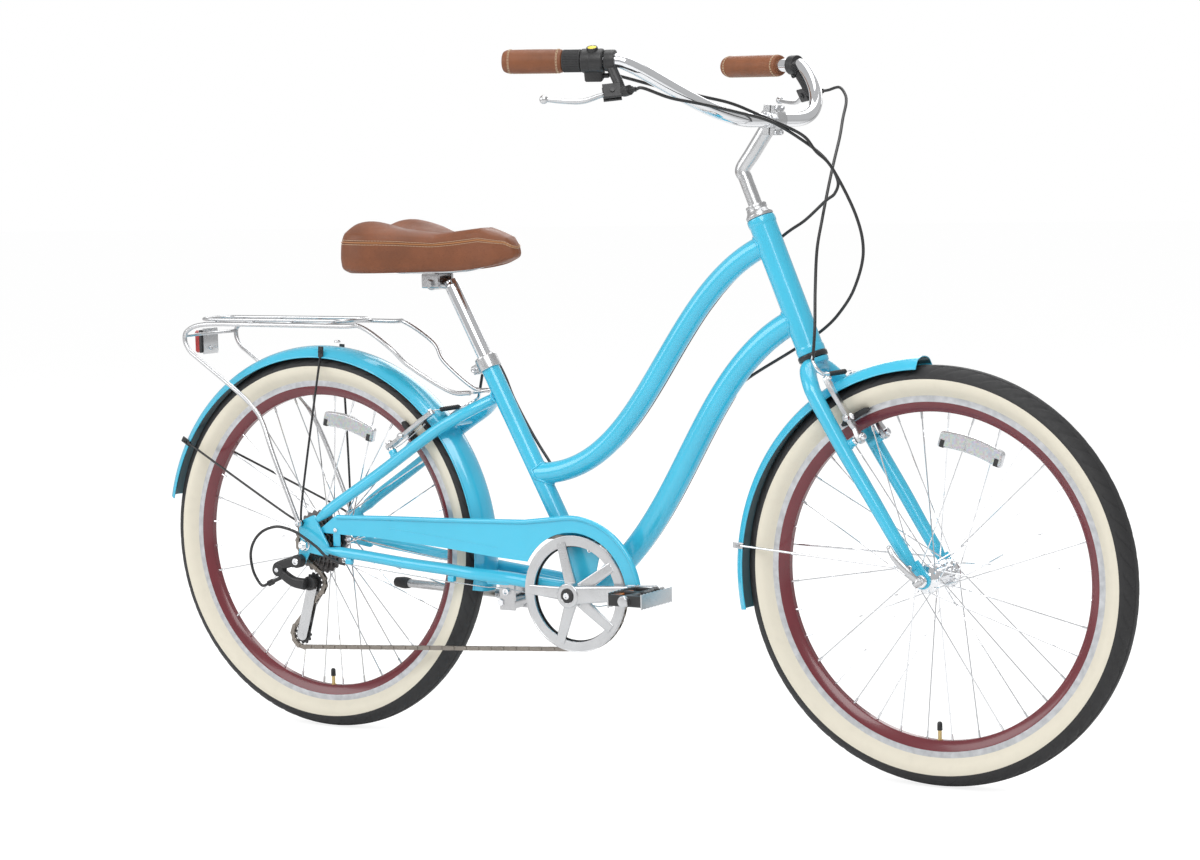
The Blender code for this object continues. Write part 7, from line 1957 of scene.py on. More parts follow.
@dataclass
class Axles:
    """Axle nuts, cones and the front quick release."""

    rear_face: float = 0.0683
    front_face: float = 0.0563

    def build(self) -> None:
        """Builds both axles and the lever."""
        y = vec(0, 1, 0)
        rear = rod(REAR_AXLE - y * 0.083, REAR_AXLE + y * 0.083, 0.0050, 28, 0.0008)
        for sign in (-1.0, 1.0):
            rear += nut(REAR_AXLE + y * sign * (self.rear_face + 0.0016), y * sign, 0.0094, 0.0074)
            rear += spun([(0.0052, 0.0), (0.0104, 0.0), (0.0104, 0.0016), (0.0052, 0.0016)], 0.0003,
                         REAR_AXLE + y * sign * self.rear_face, y * sign, 40)
            rear += lathe([(0.0050, 0.0), (0.0080, 0.0), (0.0080, 0.0040), (0.0050, 0.0040)],
                          REAR_AXLE + y * sign * 0.0580, y * sign, 32)
        Part.place("rear_axle_and_nuts", rear, "frame", CHROME, ["rear_axle"], angle=35)
        front = rod(FRONT_AXLE - y * 0.0640, FRONT_AXLE + y * 0.0655, 0.0045, 28, 0.0006)
        profile = rounded([(0.0046, 0.0), (0.0100, 0.0), (0.0100, 0.0028), (0.0084, 0.0080), (0.0060, 0.0092),
                           (0.0046, 0.0092)], 0.0006)
        front += lathe(profile, FRONT_AXLE + y * self.front_face, y, 44)
        front += spun([(0.0046, 0.0), (0.0100, 0.0), (0.0100, 0.0060), (0.0085, 0.0074), (0.0046, 0.0077)],
                      0.0006, FRONT_AXLE - y * self.front_face, -y, 44)
        for sign in (-1.0, 1.0):
            front += lathe([(0.0046, 0.0), (0.0078, 0.0), (0.0078, 0.0040), (0.0046, 0.0040)],
                           FRONT_AXLE + y * sign * 0.0468, y * sign, 32)
        Part.place("front_skewer", front, "steering", CHROME, ["front_axle"], angle=35)
        hinge = FRONT_AXLE - y * 0.0705
        half_hub = unit((0.749, 0, 0.663)) * 0.0075
        hub = rod(hinge - half_hub, hinge + half_hub, 0.0062, 32, 0.0009)
        line = through([hinge, hinge + vec(-0.012, -0.0065, 0.014), hinge + vec(-0.034, -0.0085, 0.036),
                        hinge + vec(-0.046, -0.0050, 0.052)], 12)
        share = np.linspace(0, 1, len(line))
        wide = 0.0054 + 0.0014 * np.sin(np.pi * share) - 0.0012 * share
        handle = sweep(line, circle(1.0, 24), (0, 1, 0), scale=np.column_stack([wide * 0.62, wide]))
        handle += ball(line[-1], 0.0040, 20)
        Part.place("quick_release", hub + handle, "front_qr_lever", SATIN, ["front_qr_lever"], angle=45)


@dataclass
class Crankset:
    """The right crank with its guard ring, spider and toothed ring, and the left crank with the spindle."""

    length: float = CRANK_LENGTH
    ring_y: float = CHAIN_LINE_Y
    guard_y: float = -0.0560
    pitch: float = 0.09306

    def arm(self, side: float, way: float) -> Solid:
        """One crank arm from its boss to its eye, rounded on every edge.

        Args:
            side: -1 right, 1 left.
            way: 1 forward, -1 backward along the arms' common direction.

        Returns:
            The arm.
        """
        forward = heading(CRANK_ANGLE) * way
        middle = BRACKET + vec(0, side * 0.0725, 0)
        share = np.linspace(0, 1, 26)
        line = middle + forward * (self.length * share)[:, None]
        wide = 0.0160 - 0.0050 * share ** 0.7
        deep = 0.0065 * np.ones(26) - 0.0004 * np.sin(np.pi * share)
        body = sweep(line, soft_square(0.42, 6), (0, side, 0), scale=np.column_stack([deep, wide]))
        up = vec(0, side, 0)
        eye = rounded([(0.0040, -0.0066), (0.0112, -0.0066), (0.0120, -0.0056), (0.0120, 0.0056),
                       (0.0112, 0.0066), (0.0040, 0.0066)], 0.0008)
        body += lathe(eye, middle + forward * self.length, up, 48)
        body += spun([(0.0060, -0.0140), (0.0196, -0.0140), (0.0206, -0.0126), (0.0206, 0.0066),
                      (0.0190, 0.0081), (0.0125, 0.0081), (0.0118, 0.0066)], 0.0010, middle, up, 64)
        return body

    @staticmethod
    def dust_cap(out: Array) -> Solid:
        """The domed cap at the outer end of the spindle, on the side that out points to.

        Args:
            out: the way out from the bicycle.

        Returns:
            The cap.
        """
        profile = rounded([(0.0060, 0.0), (0.0116, 0.0), (0.0116, 0.0016), (0.0100, 0.0028), (0.0050, 0.0031),
                           (0.0005, 0.0031)], 0.0005)
        return lathe(profile, BRACKET + out * 0.0790, out, 40)

    def build(self) -> None:
        """Builds both cranks and everything bolted to them."""
        y = vec(0, 1, 0)
        body = self.arm(-1.0, 1.0)
        arms = 34.0 + 72.0 * np.arange(5)
        for angle in arms:
            ray = heading(angle)
            share = np.linspace(0, 1, 14)
            line = BRACKET + y * -0.0600 + ray * (0.016 + 0.0715 * share)[:, None]
            line = line + y * (0.0032 * share ** 2)[:, None]
            size = np.column_stack([0.0034 - 0.0009 * share, 0.0105 - 0.0025 * share])
            body += sweep(line, soft_square(0.45, 5), (0, -1, 0), scale=size)
        Part.place("right_crank_body", body, "crankset", SATIN, ["crank_right"], angle=42)
        circle_out = circle(0.0973, 192)
        guard = disc(circle_out, 0.0800, BRACKET + y * self.guard_y, 0.0036)
        rim = rounded([(0.0950, -0.0018), (0.0973, -0.0018), (0.0973, 0.0024), (0.0958, 0.0024),
                       (0.0950, 0.0016)], 0.0006, 2)
        lip = lathe(rim, BRACKET + y * self.guard_y, -y, 192, loop=True)
        Part.place("guard_ring", guard + lip, "crankset", SATIN, angle=40)
        heads = [bolt(BRACKET + y * (self.guard_y - 0.0020) + heading(angle) * 0.0836, -y, 0.0044, 0.0012)
                 for angle in arms]
        Part.place("ring_bolts", together(heads), "crankset", CHROME, angle=35)
        tip = self.pitch - 0.0041 - 0.0008
        ring = disc(toothed(46, 0.0042, tip), 0.0780, BRACKET + y * self.ring_y, 0.0022)
        for angle in arms:
            spot = BRACKET + heading(angle) * 0.0828
            ring += rod(spot + y * self.ring_y, spot + y * self.guard_y, 0.0046, 20)
        Part.place("toothed_ring", ring, "crankset", BLACK_METAL, ["chainring"], angle=40)
        Part.place("crank_dust_cap", self.dust_cap(-y), "crankset", BLACK, angle=40)
        Part.place("crank_bolt", bolt(BRACKET - y * 0.0820, -y, 0.0056, 0.0026), "crankset", CHROME, angle=35)
        left = self.arm(1.0, -1.0)
        left += lathe([(0.0080, 0.0480), (0.0206, 0.0480), (0.0206, 0.0600), (0.0080, 0.0600)],
                      BRACKET, y, 48)
        left += rod(BRACKET - y * 0.0560, BRACKET + y * 0.0600, 0.0080, 32)
        Part.place("left_crank_body", left, "crankset", SATIN, ["crank_left"], angle=42)
        left_cap = self.dust_cap(y) + bolt(BRACKET + y * 0.0822, y, 0.0056, 0.0022)
        Part.place("left_dust_cap", left_cap, "crankset", BLACK, angle=40)


@dataclass
class Pedals:
    """Both pedals: black bodies, serrated silver cages, amber reflectors."""

    near: float = 0.082
    far: float = 0.177
    reach: float = CRANK_LENGTH

    def build(self) -> None:
        """Builds the right pedal and its mirror image on the left."""
        forward = heading(CRANK_ANGLE)
        for side, along in ((Side.RIGHT, 1.0), (Side.LEFT, -1.0)):
            eye = BRACKET + forward * self.reach * along
            name = side.name.lower()
            y = vec(0, 1, 0)
            mid = -(self.near + self.far) / 2
            at = vec(eye[0], 0.0, eye[2])
            core = rod(at - y * 0.0790, at - y * (self.near + 0.002), 0.0045, 24)
            core += spun([(0.0045, 0.0), (0.0090, 0.0), (0.0096, 0.0040), (0.0088, 0.0200),
                          (0.0088, 0.0750), (0.0098, 0.0900), (0.0098, 0.0950), (0.0040, 0.0950)], 0.0010,
                         at - y * self.near, -y, 40)
            for place in (-self.near - 0.0050, mid, -self.far + 0.0050):
                core += box_solid((0.060, 0.0090, 0.0180), np.eye(3), at + y * place, 0.0018)
            core += box_solid((0.044, 0.0800, 0.0060), np.eye(3), at + y * mid, 0.0016)
            Part.place(f"{name}_pedal_body", side.of(core), f"pedal_{name}", BLACK, [f"pedal_{name}"],
                       angle=40)
            cage = Solid.empty()
            for front in (-1.0, 1.0):
                teeth = 9
                run = np.linspace(-self.near, -self.far, teeth * 4 + 1)
                wave = 0.0125 - 0.0016 * (0.5 - 0.5 * np.cos(np.linspace(0, TAU * teeth, teeth * 4 + 1)))
                top = np.column_stack([run, wave])
                outline = np.vstack([top, (top * vec(1, -1))[::-1]])[::-1]
                turn = np.column_stack([vec(0, 1, 0), vec(0, 0, 1), vec(1, 0, 0)])
                cage += slab(outline, 0.0022, turn, at + vec(front * 0.0310, 0, 0), 0.0)
            Part.place(f"{name}_pedal_cage", side.of(cage), f"pedal_{name}", SATIN, angle=35)
            amber = Solid.empty()
            for front in (-1.0, 1.0):
                amber += box_solid((0.0040, 0.0480, 0.0130), np.eye(3), at + vec(front * 0.0275, mid, 0),
                                   0.0010)
            Part.place(f"{name}_pedal_reflectors", side.of(amber), f"pedal_{name}", AMBER_LENS, angle=40)
            end = spun([(0.0092, 0.0), (0.0092, 0.0060), (0.0080, 0.0078), (0.0005, 0.0080)], 0.0008,
                       at - y * self.far, -y, 32)
            Part.place(f"{name}_pedal_cap", side.of(end), f"pedal_{name}", SATIN, angle=40)


LOWER_PULLEY = vec(-0.0240, 0.0, 0.1685)
UPPER_PULLEY = vec(0.0035, 0.0, 0.2620)


def belt(circles: Sequence[tuple[Array, float, int]], pitch: float) -> tuple[Array, Array]:
    """Places and directions, one pitch apart, along a closed belt round circles in the XZ plane.

    Args:
        circles: centre (x, z), radius and sense (1 clockwise, -1 anticlockwise) in the belt's order.
        pitch: the wished step; the count is rounded so that the loop closes.

    Returns:
        Points and unit tangents.
    """
    leave, arrive = [], []
    count = len(circles)
    for i in range(count):
        (a, ra, sa), (b, rb, sb) = circles[i], circles[(i + 1) % count]
        gap = b - a
        span = float(np.linalg.norm(gap))
        along = gap / span
        left = np.array([-along[1], along[0]])
        lean = (sa * ra - sb * rb) / span
        normal = along * lean + left * math.sqrt(1 - lean * lean)
        leave.append(a + normal * ra * sa)
        arrive.append(b + normal * rb * sb)
    dense: list[Array] = []
    for i in range(count):
        centre, radius, sense = circles[i]
        start = math.atan2(*(arrive[i - 1] - centre)[::-1])
        end = math.atan2(*(leave[i] - centre)[::-1])
        turn = (end - start) % TAU if sense < 0 else -((start - end) % TAU)
        a = start + np.linspace(0, turn, 60)
        dense.append(centre + radius * np.column_stack([np.cos(a), np.sin(a)]))
        dense.append(leave[i] + (arrive[i] - leave[i]) * np.linspace(0, 1, 40)[1:-1, None])
    line = np.vstack(dense + [dense[0][:1]])
    far = np.concatenate([[0], np.cumsum(np.linalg.norm(np.diff(line, axis=0), axis=1))])
    number = int(round(far[-1] / pitch))
    at = (np.arange(number) + 0.5) / number * far[-1]
    points = np.column_stack([np.interp(at, far, line[:, k]) for k in range(2)])
    ahead = np.column_stack([np.interp((at + 0.001) % far[-1], far, line[:, k]) for k in range(2)])
    step = ahead - points
    return points, step / np.linalg.norm(step, axis=1)[:, None]


@dataclass
class DriveTrain:
    """Chain, seven cogs, derailleur and its two pulleys."""

    line_y: float = CHAIN_LINE_Y
    pitch: float = CHAIN_PITCH
    cogs: tuple[int, ...] = (14, 16, 18, 20, 22, 24, 28)

    def build(self) -> None:
        """Builds the whole drive train but the crankset."""
        self.chain()
        self.freewheel()
        self.derailleur()

    def link_outline(self) -> Array:
        """The waisted outline of one link plate, its two eyes a pitch apart.

        Returns:
            Rows of x and y.
        """
        a = np.linspace(0, TAU, 24, endpoint=False)
        r = 0.0041
        x = r * np.cos(a) + np.where(np.cos(a) > 0, 1, -1) * self.pitch / 2
        y = r * np.sin(a) * np.where(np.abs(np.cos(a)) < 0.35, 0.86, 1.0)
        return np.column_stack([x, y])

    def chain(self) -> None:
        """Inner and outer links in turn with rollers and pins, each set one mesh repeated by numpy."""
        circles = [(BRACKET[[0, 2]], 0.0931, 1), (LOWER_PULLEY[[0, 2]], PULLEY_PITCH_RADIUS, 1),
                   (UPPER_PULLEY[[0, 2]], PULLEY_PITCH_RADIUS, -1), (REAR_AXLE[[0, 2]], 0.02854, 1)]
        points, tangents = belt(circles, self.pitch)
        plates = Solid.empty()
        kinds = []
        for offset in (0.0021, 0.0031):
            one = Solid.empty()
            for sign in (-1, 1):
                one += slab(self.link_outline(), 0.0009, SIDE_VIEW, vec(0, sign * offset, 0), 0.0)
            kinds.append(one)
        for i, (point, tangent) in enumerate(zip(points, tangents)):
            spin = np.column_stack([vec(tangent[0], 0, tangent[1]), vec(0, 1, 0),
                                    vec(-tangent[1], 0, tangent[0])])
            plates += kinds[i % 2].turned(spin, vec(point[0], self.line_y, point[1]))
            hinge = point + tangent * self.pitch / 2
            at = vec(hinge[0], self.line_y, hinge[1])
            plates += rod(at - vec(0, 0.0038, 0), at + vec(0, 0.0038, 0), 0.0018, 10)
            plates += rod(at - vec(0, 0.0016, 0), at + vec(0, 0.0016, 0), 0.0037, 12)
        Part.place("chain_links", plates, "frame", CHAIN, ["chain"], angle=40)

    def freewheel(self) -> None:
        """Seven toothed cogs on their core."""
        cogs = Solid.empty()
        for i, teeth in enumerate(self.cogs):
            pitch = self.pitch / 2 / math.sin(math.pi / teeth)
            tip = pitch - 0.0001 if i else pitch - 0.0049
            cogs += disc(toothed(teeth, 0.0038, tip), 0.0180,
                         vec(0, self.line_y + 0.0045 * i, 0) + REAR_AXLE, 0.0018)
        Part.place("cogs", cogs, "freewheel", COG, ["freewheel"], angle=40)
        profile = rounded([(0.0120, 0.0190), (0.0200, 0.0190), (0.0200, 0.0530), (0.0185, 0.0540),
                           (0.0120, 0.0540)], 0.0006)
        Part.place("freewheel_core", lathe(profile, REAR_AXLE, vec(0, -1, 0), 56), "freewheel", BLACK_METAL)

    def cage_outline(self, reach: float) -> Array:
        """The outline of a cage plate: a waisted loop round both pulleys, anticlockwise.

        Args:
            reach: how far the plate's edge lies from a pulley's middle.

        Returns:
            Rows of x and z.
        """
        low, high = LOWER_PULLEY[[0, 2]], UPPER_PULLEY[[0, 2]]
        along = (high - low) / np.linalg.norm(high - low)
        start = math.degrees(math.atan2(along[1], along[0]))
        top = arc2(high, reach, start - 88, start + 88, 16)
        foot = arc2(low, reach, start + 92, start + 268, 16)
        return np.vstack([top, foot])

    def derailleur(self) -> None:
        """Body, knuckle, cage and pulleys."""
        y = vec(0, 1, 0)
        arm_y = -(0.0683 + 0.0003 + 0.0080)
        pin, heel = vec(-0.0100, arm_y, 0.3020), vec(-0.0560, arm_y, 0.2890)
        knuckle = vec(UPPER_PULLEY[0], arm_y, UPPER_PULLEY[2])
        line = through([pin, (pin + heel) / 2 + vec(0, 0, 0.002), heel, heel + vec(0.010, 0, -0.010),
                        (heel + knuckle) / 2 + vec(0.004, 0, -0.010), knuckle], 10)
        share = np.linspace(0, 1, len(line))
        wide = 0.0098 - 0.0020 * np.sin(np.pi * share)
        size = np.column_stack([np.full(len(line), 0.0066), wide])
        body = sweep(line, soft_square(0.6, 6), (0, 1, 0), scale=size)
        body += spun([(0.0030, -0.0076), (0.0110, -0.0076), (0.0115, -0.0065), (0.0115, 0.0068),
                      (0.0102, 0.0080), (0.0060, 0.0080)], 0.0010, pin, -y, 44)
        body += spun([(0.0020, -0.0076), (0.0105, -0.0076), (0.0118, -0.0060), (0.0118, 0.0058),
                      (0.0100, 0.0078), (0.0030, 0.0080)], 0.0012, heel + vec(0.004, 0, -0.004), -y, 44)
        Part.place("derailleur_body_shell", body, "frame", BLACK, ["derailleur_body"], angle=45)
        start, end = vec(-0.0740, -0.0830, 0.2590), vec(-0.0440, arm_y, 0.2730)

        def knurl(angle: Array, row: Array) -> Array:
            """Sixteen ribs round the adjuster's cap."""
            return np.where((row > 1) & (row < 7), 0.0004 * np.cos(16 * angle), 0.0)

        adjuster = spun([(0.0028, 0.0), (0.0048, 0.0010), (0.0048, 0.0120), (0.0034, 0.0135),
                         (0.0034, 0.0280)], 0.0005, start, end - start, 96, swell=knurl)
        Part.place("barrel_adjuster", adjuster, "frame", BLACK_METAL)
        bolts = bolt(pin - y * 0.0080, -y, 0.0062, 0.0026)
        bolts += bolt(heel + vec(0.004, -0.0080, -0.004), -y, 0.0040, 0.0022)
        Part.place("derailleur_bolts", bolts, "frame", CHROME, angle=35)
        near, far = self.line_y - 0.0045 - 0.0012 - 0.0008, arm_y + 0.0088
        core = spun([(0.0030, -near), (0.0120, -near), (0.0125, -near + 0.0008), (0.0125, -far - 0.0008),
                     (0.0118, -far), (0.0030, -far)], 0.0006, vec(UPPER_PULLEY[0], 0, UPPER_PULLEY[2]), -y,
                    48)
        Part.place("spring_knuckle", core, "derailleur_knuckle", BLACK, ["derailleur_knuckle"], angle=45)
        plates = together(slab(self.cage_outline(0.0105), 0.0012, SIDE_VIEW,
                               y * (self.line_y + sign * 0.0051), 0.00025)
                          for sign in (-1, 1))
        for pulley in (LOWER_PULLEY, UPPER_PULLEY):
            at = pulley + y * self.line_y
            plates += rod(at - y * 0.0055, at + y * 0.0055, 0.0030, 20)
            plates += bolt(at - y * 0.0057, -y, 0.0034, 0.0006)
        Part.place("cage_plates", plates, "derailleur_cage", SATIN, ["derailleur_cage"], angle=38)
        for name, pulley in (("lower", LOWER_PULLEY), ("upper", UPPER_PULLEY)):
            wheel = disc(toothed(11, 0.0035, 0.0177), 0.0036, pulley + y * self.line_y, 0.0030)
            Part.place(f"{name}_guide_wheel", wheel, f"{name}_pulley", BLACK, [f"{name}_pulley"], angle=40)


@dataclass
class Kickstand:
    """The folded kickstand leg with its hinge barrel, spring and rubber foot."""

    reach: float = 0.265

    def build(self) -> None:
        """Builds the leg in its folded place."""
        pivot = vec(0.3710, 0.0405, 0.2470)
        folded, lowered = unit((-0.9915, 0.1290, 0.0110)), unit((-0.2, 0.46, -0.865))
        axis = unit(np.cross(folded, lowered))
        line = through([pivot, pivot + folded * 0.050, pivot + folded * 0.14, pivot + folded * self.reach], 8)
        leg = pipe(line, 0.0075, 28)
        leg += spun([(0.0040, -0.0105), (0.0084, -0.0105), (0.0090, -0.0096), (0.0090, 0.0096),
                     (0.0084, 0.0105), (0.0040, 0.0105)], 0.0008, pivot, axis, 40)
        Part.place("stand_leg", leg, "kickstand_leg", SATIN, ["kickstand_leg"], angle=45)
        toe = pivot + folded * self.reach
        foot = spun([(0.0074, -0.0120), (0.0090, -0.0118), (0.0104, -0.0020), (0.0104, 0.0030),
                     (0.0085, 0.0200), (0.0005, 0.0200)], 0.0010, toe, folded, 36)
        Part.place("stand_foot", foot, "kickstand_leg", RUBBER, angle=50)
        turn = basis(folded, (0, 0, 1))
        a = np.linspace(0, TAU * 9, 9 * 12)
        around = np.cos(a)[:, None] * turn[:, 0] + np.sin(a)[:, None] * turn[:, 1]
        coil = pivot + folded * (0.016 + 0.030 * a / a[-1])[:, None] + 0.0086 * around
        Part.place("stand_spring", pipe(coil, 0.0008, 8), "kickstand_leg", CHROME, angle=60)


SADDLE_PLAN = [(0.1020, 0.0), (0.1040, 0.050), (0.1180, 0.095), (0.1480, 0.112), (0.1900, 0.106),
               (0.2350, 0.078), (0.2750, 0.050), (0.3300, 0.033), (0.3850, 0.025), (0.4120, 0.014),
               (0.4170, 0.0)]


@dataclass
class Seat:
    """Chrome post, head, rails, black base and the padded hide cover of the saddle."""

    post_radius: float = 0.0127
    middle: float = 0.230
    low_edge: float = 0.8050

    def build(self) -> None:
        """Builds the seat from the post up."""
        self.post()
        self.rails()
        self.cover()

    def post(self) -> None:
        """The chrome post with its drawn-in top, the clamp's barrel, cheeks and bolts."""
        y = vec(0, 1, 0)
        foot, top, head = SEAT_TOP - SEAT_UP * 0.090, vec(0.2755, 0, 0.7877), vec(0.250, 0, 0.784)
        reach = float(np.linalg.norm(top - foot))
        profile = rounded([(0.0005, 0.0), (0.0120, 0.0), (self.post_radius, 0.0010),
                           (self.post_radius, reach - 0.010), (0.0112, reach - 0.004),
                           (0.0112, reach - 0.0006), (0.0100, reach), (0.0005, reach)], 0.0012)
        Part.place("chrome_post", lathe(profile, foot, top - foot, 56), "seat", CHROME, ["seatpost"],
                   angle=45)
        clamp = rod(head - y * 0.020, head + y * 0.020, 0.0115, 40, 0.0010)
        clamp += pipe(np.stack([top - SEAT_UP * 0.010, (top + head) / 2 + vec(0, 0, -0.002), head]), 0.0095,
                      28)
        for sign in (-1.0, 1.0):
            clamp += box_solid((0.034, 0.0058, 0.024), np.eye(3), head + vec(0, sign * 0.020, 0.004), 0.0018)
            clamp += nut(head + y * sign * 0.0232, y * sign, 0.0072, 0.0056)
        Part.place("seat_head", clamp, "seat", BRUSHED, angle=40)

    def rails(self) -> None:
        """Two rails with their bridges under the cover."""
        points = [vec(0.150, -0.040, 0.820), vec(0.185, -0.030, 0.806), vec(0.215, -0.0205, 0.8045),
                  vec(0.290, -0.0205, 0.805), vec(0.332, -0.015, 0.812), vec(0.368, -0.009, 0.824)]
        rails = mirror_pair(pipe(through(points, 12), 0.0035, 20))
        for x, y, z in ((0.150, 0.040, 0.8200), (0.368, 0.009, 0.8240)):
            rails += rod(vec(x, -y, z), vec(x, y, z), 0.0035, 20)
        Part.place("saddle_wire_rails", rails, "seat", BRUSHED, ["saddle_rails"], angle=50)
        half = through([vec(a, -b, 0) for a, b in SADDLE_PLAN], 4)
        plan = np.vstack([half, (half * vec(1, -1, 1))[::-1][1:-1]])
        plan = np.column_stack([plan[:, 0] + (self.middle - plan[:, 0]) * 0.16, plan[:, 1] * 0.68])
        Part.place("saddle_base_plate", slab(plan, 0.0030, np.eye(3), vec(0, 0, 0.8310), 0.0006), "seat",
                   BLACK, ["saddle_base"])

    def crown(self, x: Array, y: Array) -> Array:
        """Height of the cover's top: a line along the middle, two raised wings and a slight channel.

        Args:
            x: places along the saddle.
            y: places across it.

        Returns:
            z of the top at each.
        """
        share = (x - 0.102) / 0.315
        line = np.interp(share, [0.0, 0.10, 0.30, 0.55, 0.80, 0.95, 1.0],
                         [0.874, 0.879, 0.876, 0.869, 0.878, 0.866, 0.850])
        wing = 0.014 * np.exp(-((x - 0.160) / 0.055) ** 2) * np.exp(-((np.abs(y) - 0.060) / 0.034) ** 2)
        channel = 0.0018 * np.exp(-(y / 0.010) ** 2) * np.clip((0.36 - x) / 0.05, 0, 1)
        return line + wing - channel

    def rings(self, table: Array, edge: Array) -> Array:
        """Rows of the cover: p = plan drawn to the middle by inset, z = low + (crown - low) * blend + puff.

        Args:
            table: rows of (inset, blend, puff).
            edge: the plan outline, anticlockwise.

        Returns:
            Points by row and place along the outline.
        """
        inset, lift, puff = table[:, 0:1], table[:, 1:2], table[:, 2:3]
        x = edge[None, :, 0] + (self.middle - edge[None, :, 0]) * inset
        y = edge[None, :, 1] * (1 - inset)
        low = self.low_edge + 0.018 * (np.maximum(0.0, x - 0.28) / 0.13) ** 2
        z = low + (self.crown(x, y) - low) * lift - puff
        return np.stack([x, y, z], axis=-1)

    def cover(self) -> None:
        """The padded cover, drawn in along its seams, with piping between the panels and stitches."""
        half = through([vec(a, -b, 0) for a, b in SADDLE_PLAN], 14)
        edge = np.vstack([half, (half * vec(1, -1, 1))[::-1][1:-1]])
        knots = np.array([(0.13, 0.02, 0.0), (0.10, 0.0, 0.0), (0.02, 0.10, 0.0), (0.0, 0.30, 0.0),
                          (0.0, 0.45, 0.0), (0.006, 0.62, 0.0), (0.012, 0.70, 0.0), (0.035, 0.83, 0.0),
                          (0.07, 0.90, 0.0), (0.20, 0.98, 0.0), (0.45, 1.0, 0.0), (0.80, 1.0, 0.0),
                          (0.999, 1.0, 0.0)])
        table = through([vec(*row) for row in knots], 5)
        seam = np.exp(-((table[:, 1] - 0.70) / 0.022) ** 2) * (table[:, 0] < 0.03)
        rows = self.rings(table, edge)
        pull = (rows - np.array([self.middle, 0, 0.84])) * vec(1, 1, 0.4)
        rows = rows - pull / np.linalg.norm(pull, axis=-1, keepdims=True) * (0.0016 * seam)[:, None, None]
        count, columns = rows.shape[:2]
        cover = Solid(rows.reshape(-1, 3), grid_faces(count, columns, False, True), [])
        foot, crown = np.arange(columns)[::-1], (count - 1) * columns + np.arange(columns)
        cover.caps.extend([foot, crown])
        made = Part.place("hide_cover", cover, "seat", HIDE, ["saddle_cover"], angle=70)
        line = self.rings(np.array([(0.0115, 0.70, 0.0)]), edge)[0]
        Part.place("saddle_piping", pipe(line, 0.0011, 10, hint=(0, 0, 1), loop=True), "seat", TAN_PIPING,
                   angle=60)
        for lift, draw in ((0.655, 0.0075), (0.745, 0.0165)):
            fine = self.rings(np.array([(draw, lift, 0.0)]), edge)[0]
            step = np.linalg.norm(np.diff(np.vstack([fine, fine[:1]]), axis=0), axis=1)
            far = np.concatenate([[0], np.cumsum(step)])
            at = np.arange(0, far[-1], 0.0052)
            loop = np.vstack([fine, fine[:1]])
            start = np.column_stack([np.interp(at, far, loop[:, k]) for k in range(3)])
            end = np.column_stack([np.interp(at + 0.0036, far, loop[:, k]) for k in range(3)])
            Part.place(f"saddle_stitch_{round(lift * 1000)}", bars(start, end, 0.0004, 5), "seat",
                       CREAM_THREAD, angle=30)


@dataclass
class Rack:
    """The silver wire rack with its struts, deck, plates and the clear reflector."""

    rail: float = 0.0040
    cross: float = 0.0030
    half: float = 0.0720

    def build(self) -> None:
        """Builds rails, struts, cross wires, deck loop and reflector."""
        front = [vec(0.330, -0.028, 0.5995), vec(0.293, -0.036, 0.603), vec(0.223, -0.052, 0.645),
                 vec(0.193, -0.065, 0.6765), vec(0.135, -0.065, 0.711)]
        side = [(0.094, 0.713), (-0.100, 0.714), (-0.205, 0.713), (-0.243, 0.702), (-0.250, 0.685),
                (-0.240, 0.666), (-0.2175, 0.650), (-0.139, 0.598), (-0.108, 0.574), (-0.083, 0.545),
                (-0.055, 0.484), (-0.0075, 0.3735)]
        struts = [vec(x, -self.half, z) for x, z in side]
        struts[-1][1] = struts[-2][1] = -0.0780
        rails = pipe(through(front + struts, 8), self.rail, 20, hint=(0.1, 1.0, 0.2))
        eye = vec(-0.0060, -0.0780, 0.3685)
        rails += rod(eye - vec(0, 0.0030, 0), eye + vec(0, 0.0030, 0), 0.0068, 28, 0.0006)
        wire = mirror_pair(rails)
        for x in (-0.205, -0.120, -0.035, 0.055):
            wire += rod(vec(x, -self.half, 0.7145), vec(x, self.half, 0.7145), self.cross, 18)
        wire += rod(vec(-0.248, -self.half, 0.693), vec(-0.248, self.half, 0.693), self.cross, 18)
        corner = np.vstack([arc2((-0.217, -0.010), 0.030, 180, 270, 10),
                            arc2((0.055, -0.010), 0.030, 270, 360, 10)])
        loop = np.vstack([corner, (corner * vec(1, -1))[::-1]])
        deck = np.column_stack([loop, np.full(len(loop), 0.7200)])
        wire += pipe(deck, self.cross, 18, hint=(0, 0, 1), loop=True)
        wire += box_solid((0.0022, 0.040, 0.046), np.eye(3), vec(-0.2515, 0, 0.679), 0.0004)
        wire += box_solid((0.012, 0.060, 0.004), np.eye(3), vec(0.332, 0, 0.600), 0.0010)
        Part.place("wire_rack", wire, "frame", SATIN, ["rack"], angle=50)
        eye_bolt = bolt(eye - vec(0, 0.0034, 0), (0, -1, 0), 0.0042, 0.0024)
        bolts = bolt(vec(-0.2503, 0, 0.6665), (1, 0, 0), 0.0040, 0.0024) + mirror_pair(eye_bolt)
        Part.place("rack_bolts", bolts, "frame", CHROME, angle=35)
        at = vec(-0.2598, 0, 0.679)
        shell = box_solid((0.0050, 0.0470, 0.0410), np.eye(3), at + vec(0.0044, 0, 0), 0.0012)
        Part.place("reflector_shell", shell, "frame", BLACK, angle=40)
        lens = box_solid((0.0092, 0.0460, 0.0400), np.eye(3), at - vec(0.0026, 0, 0), 0.0030)
        Part.place("reflector_lens", lens, "frame", RED_LENS, ["rack_reflector"], angle=40)


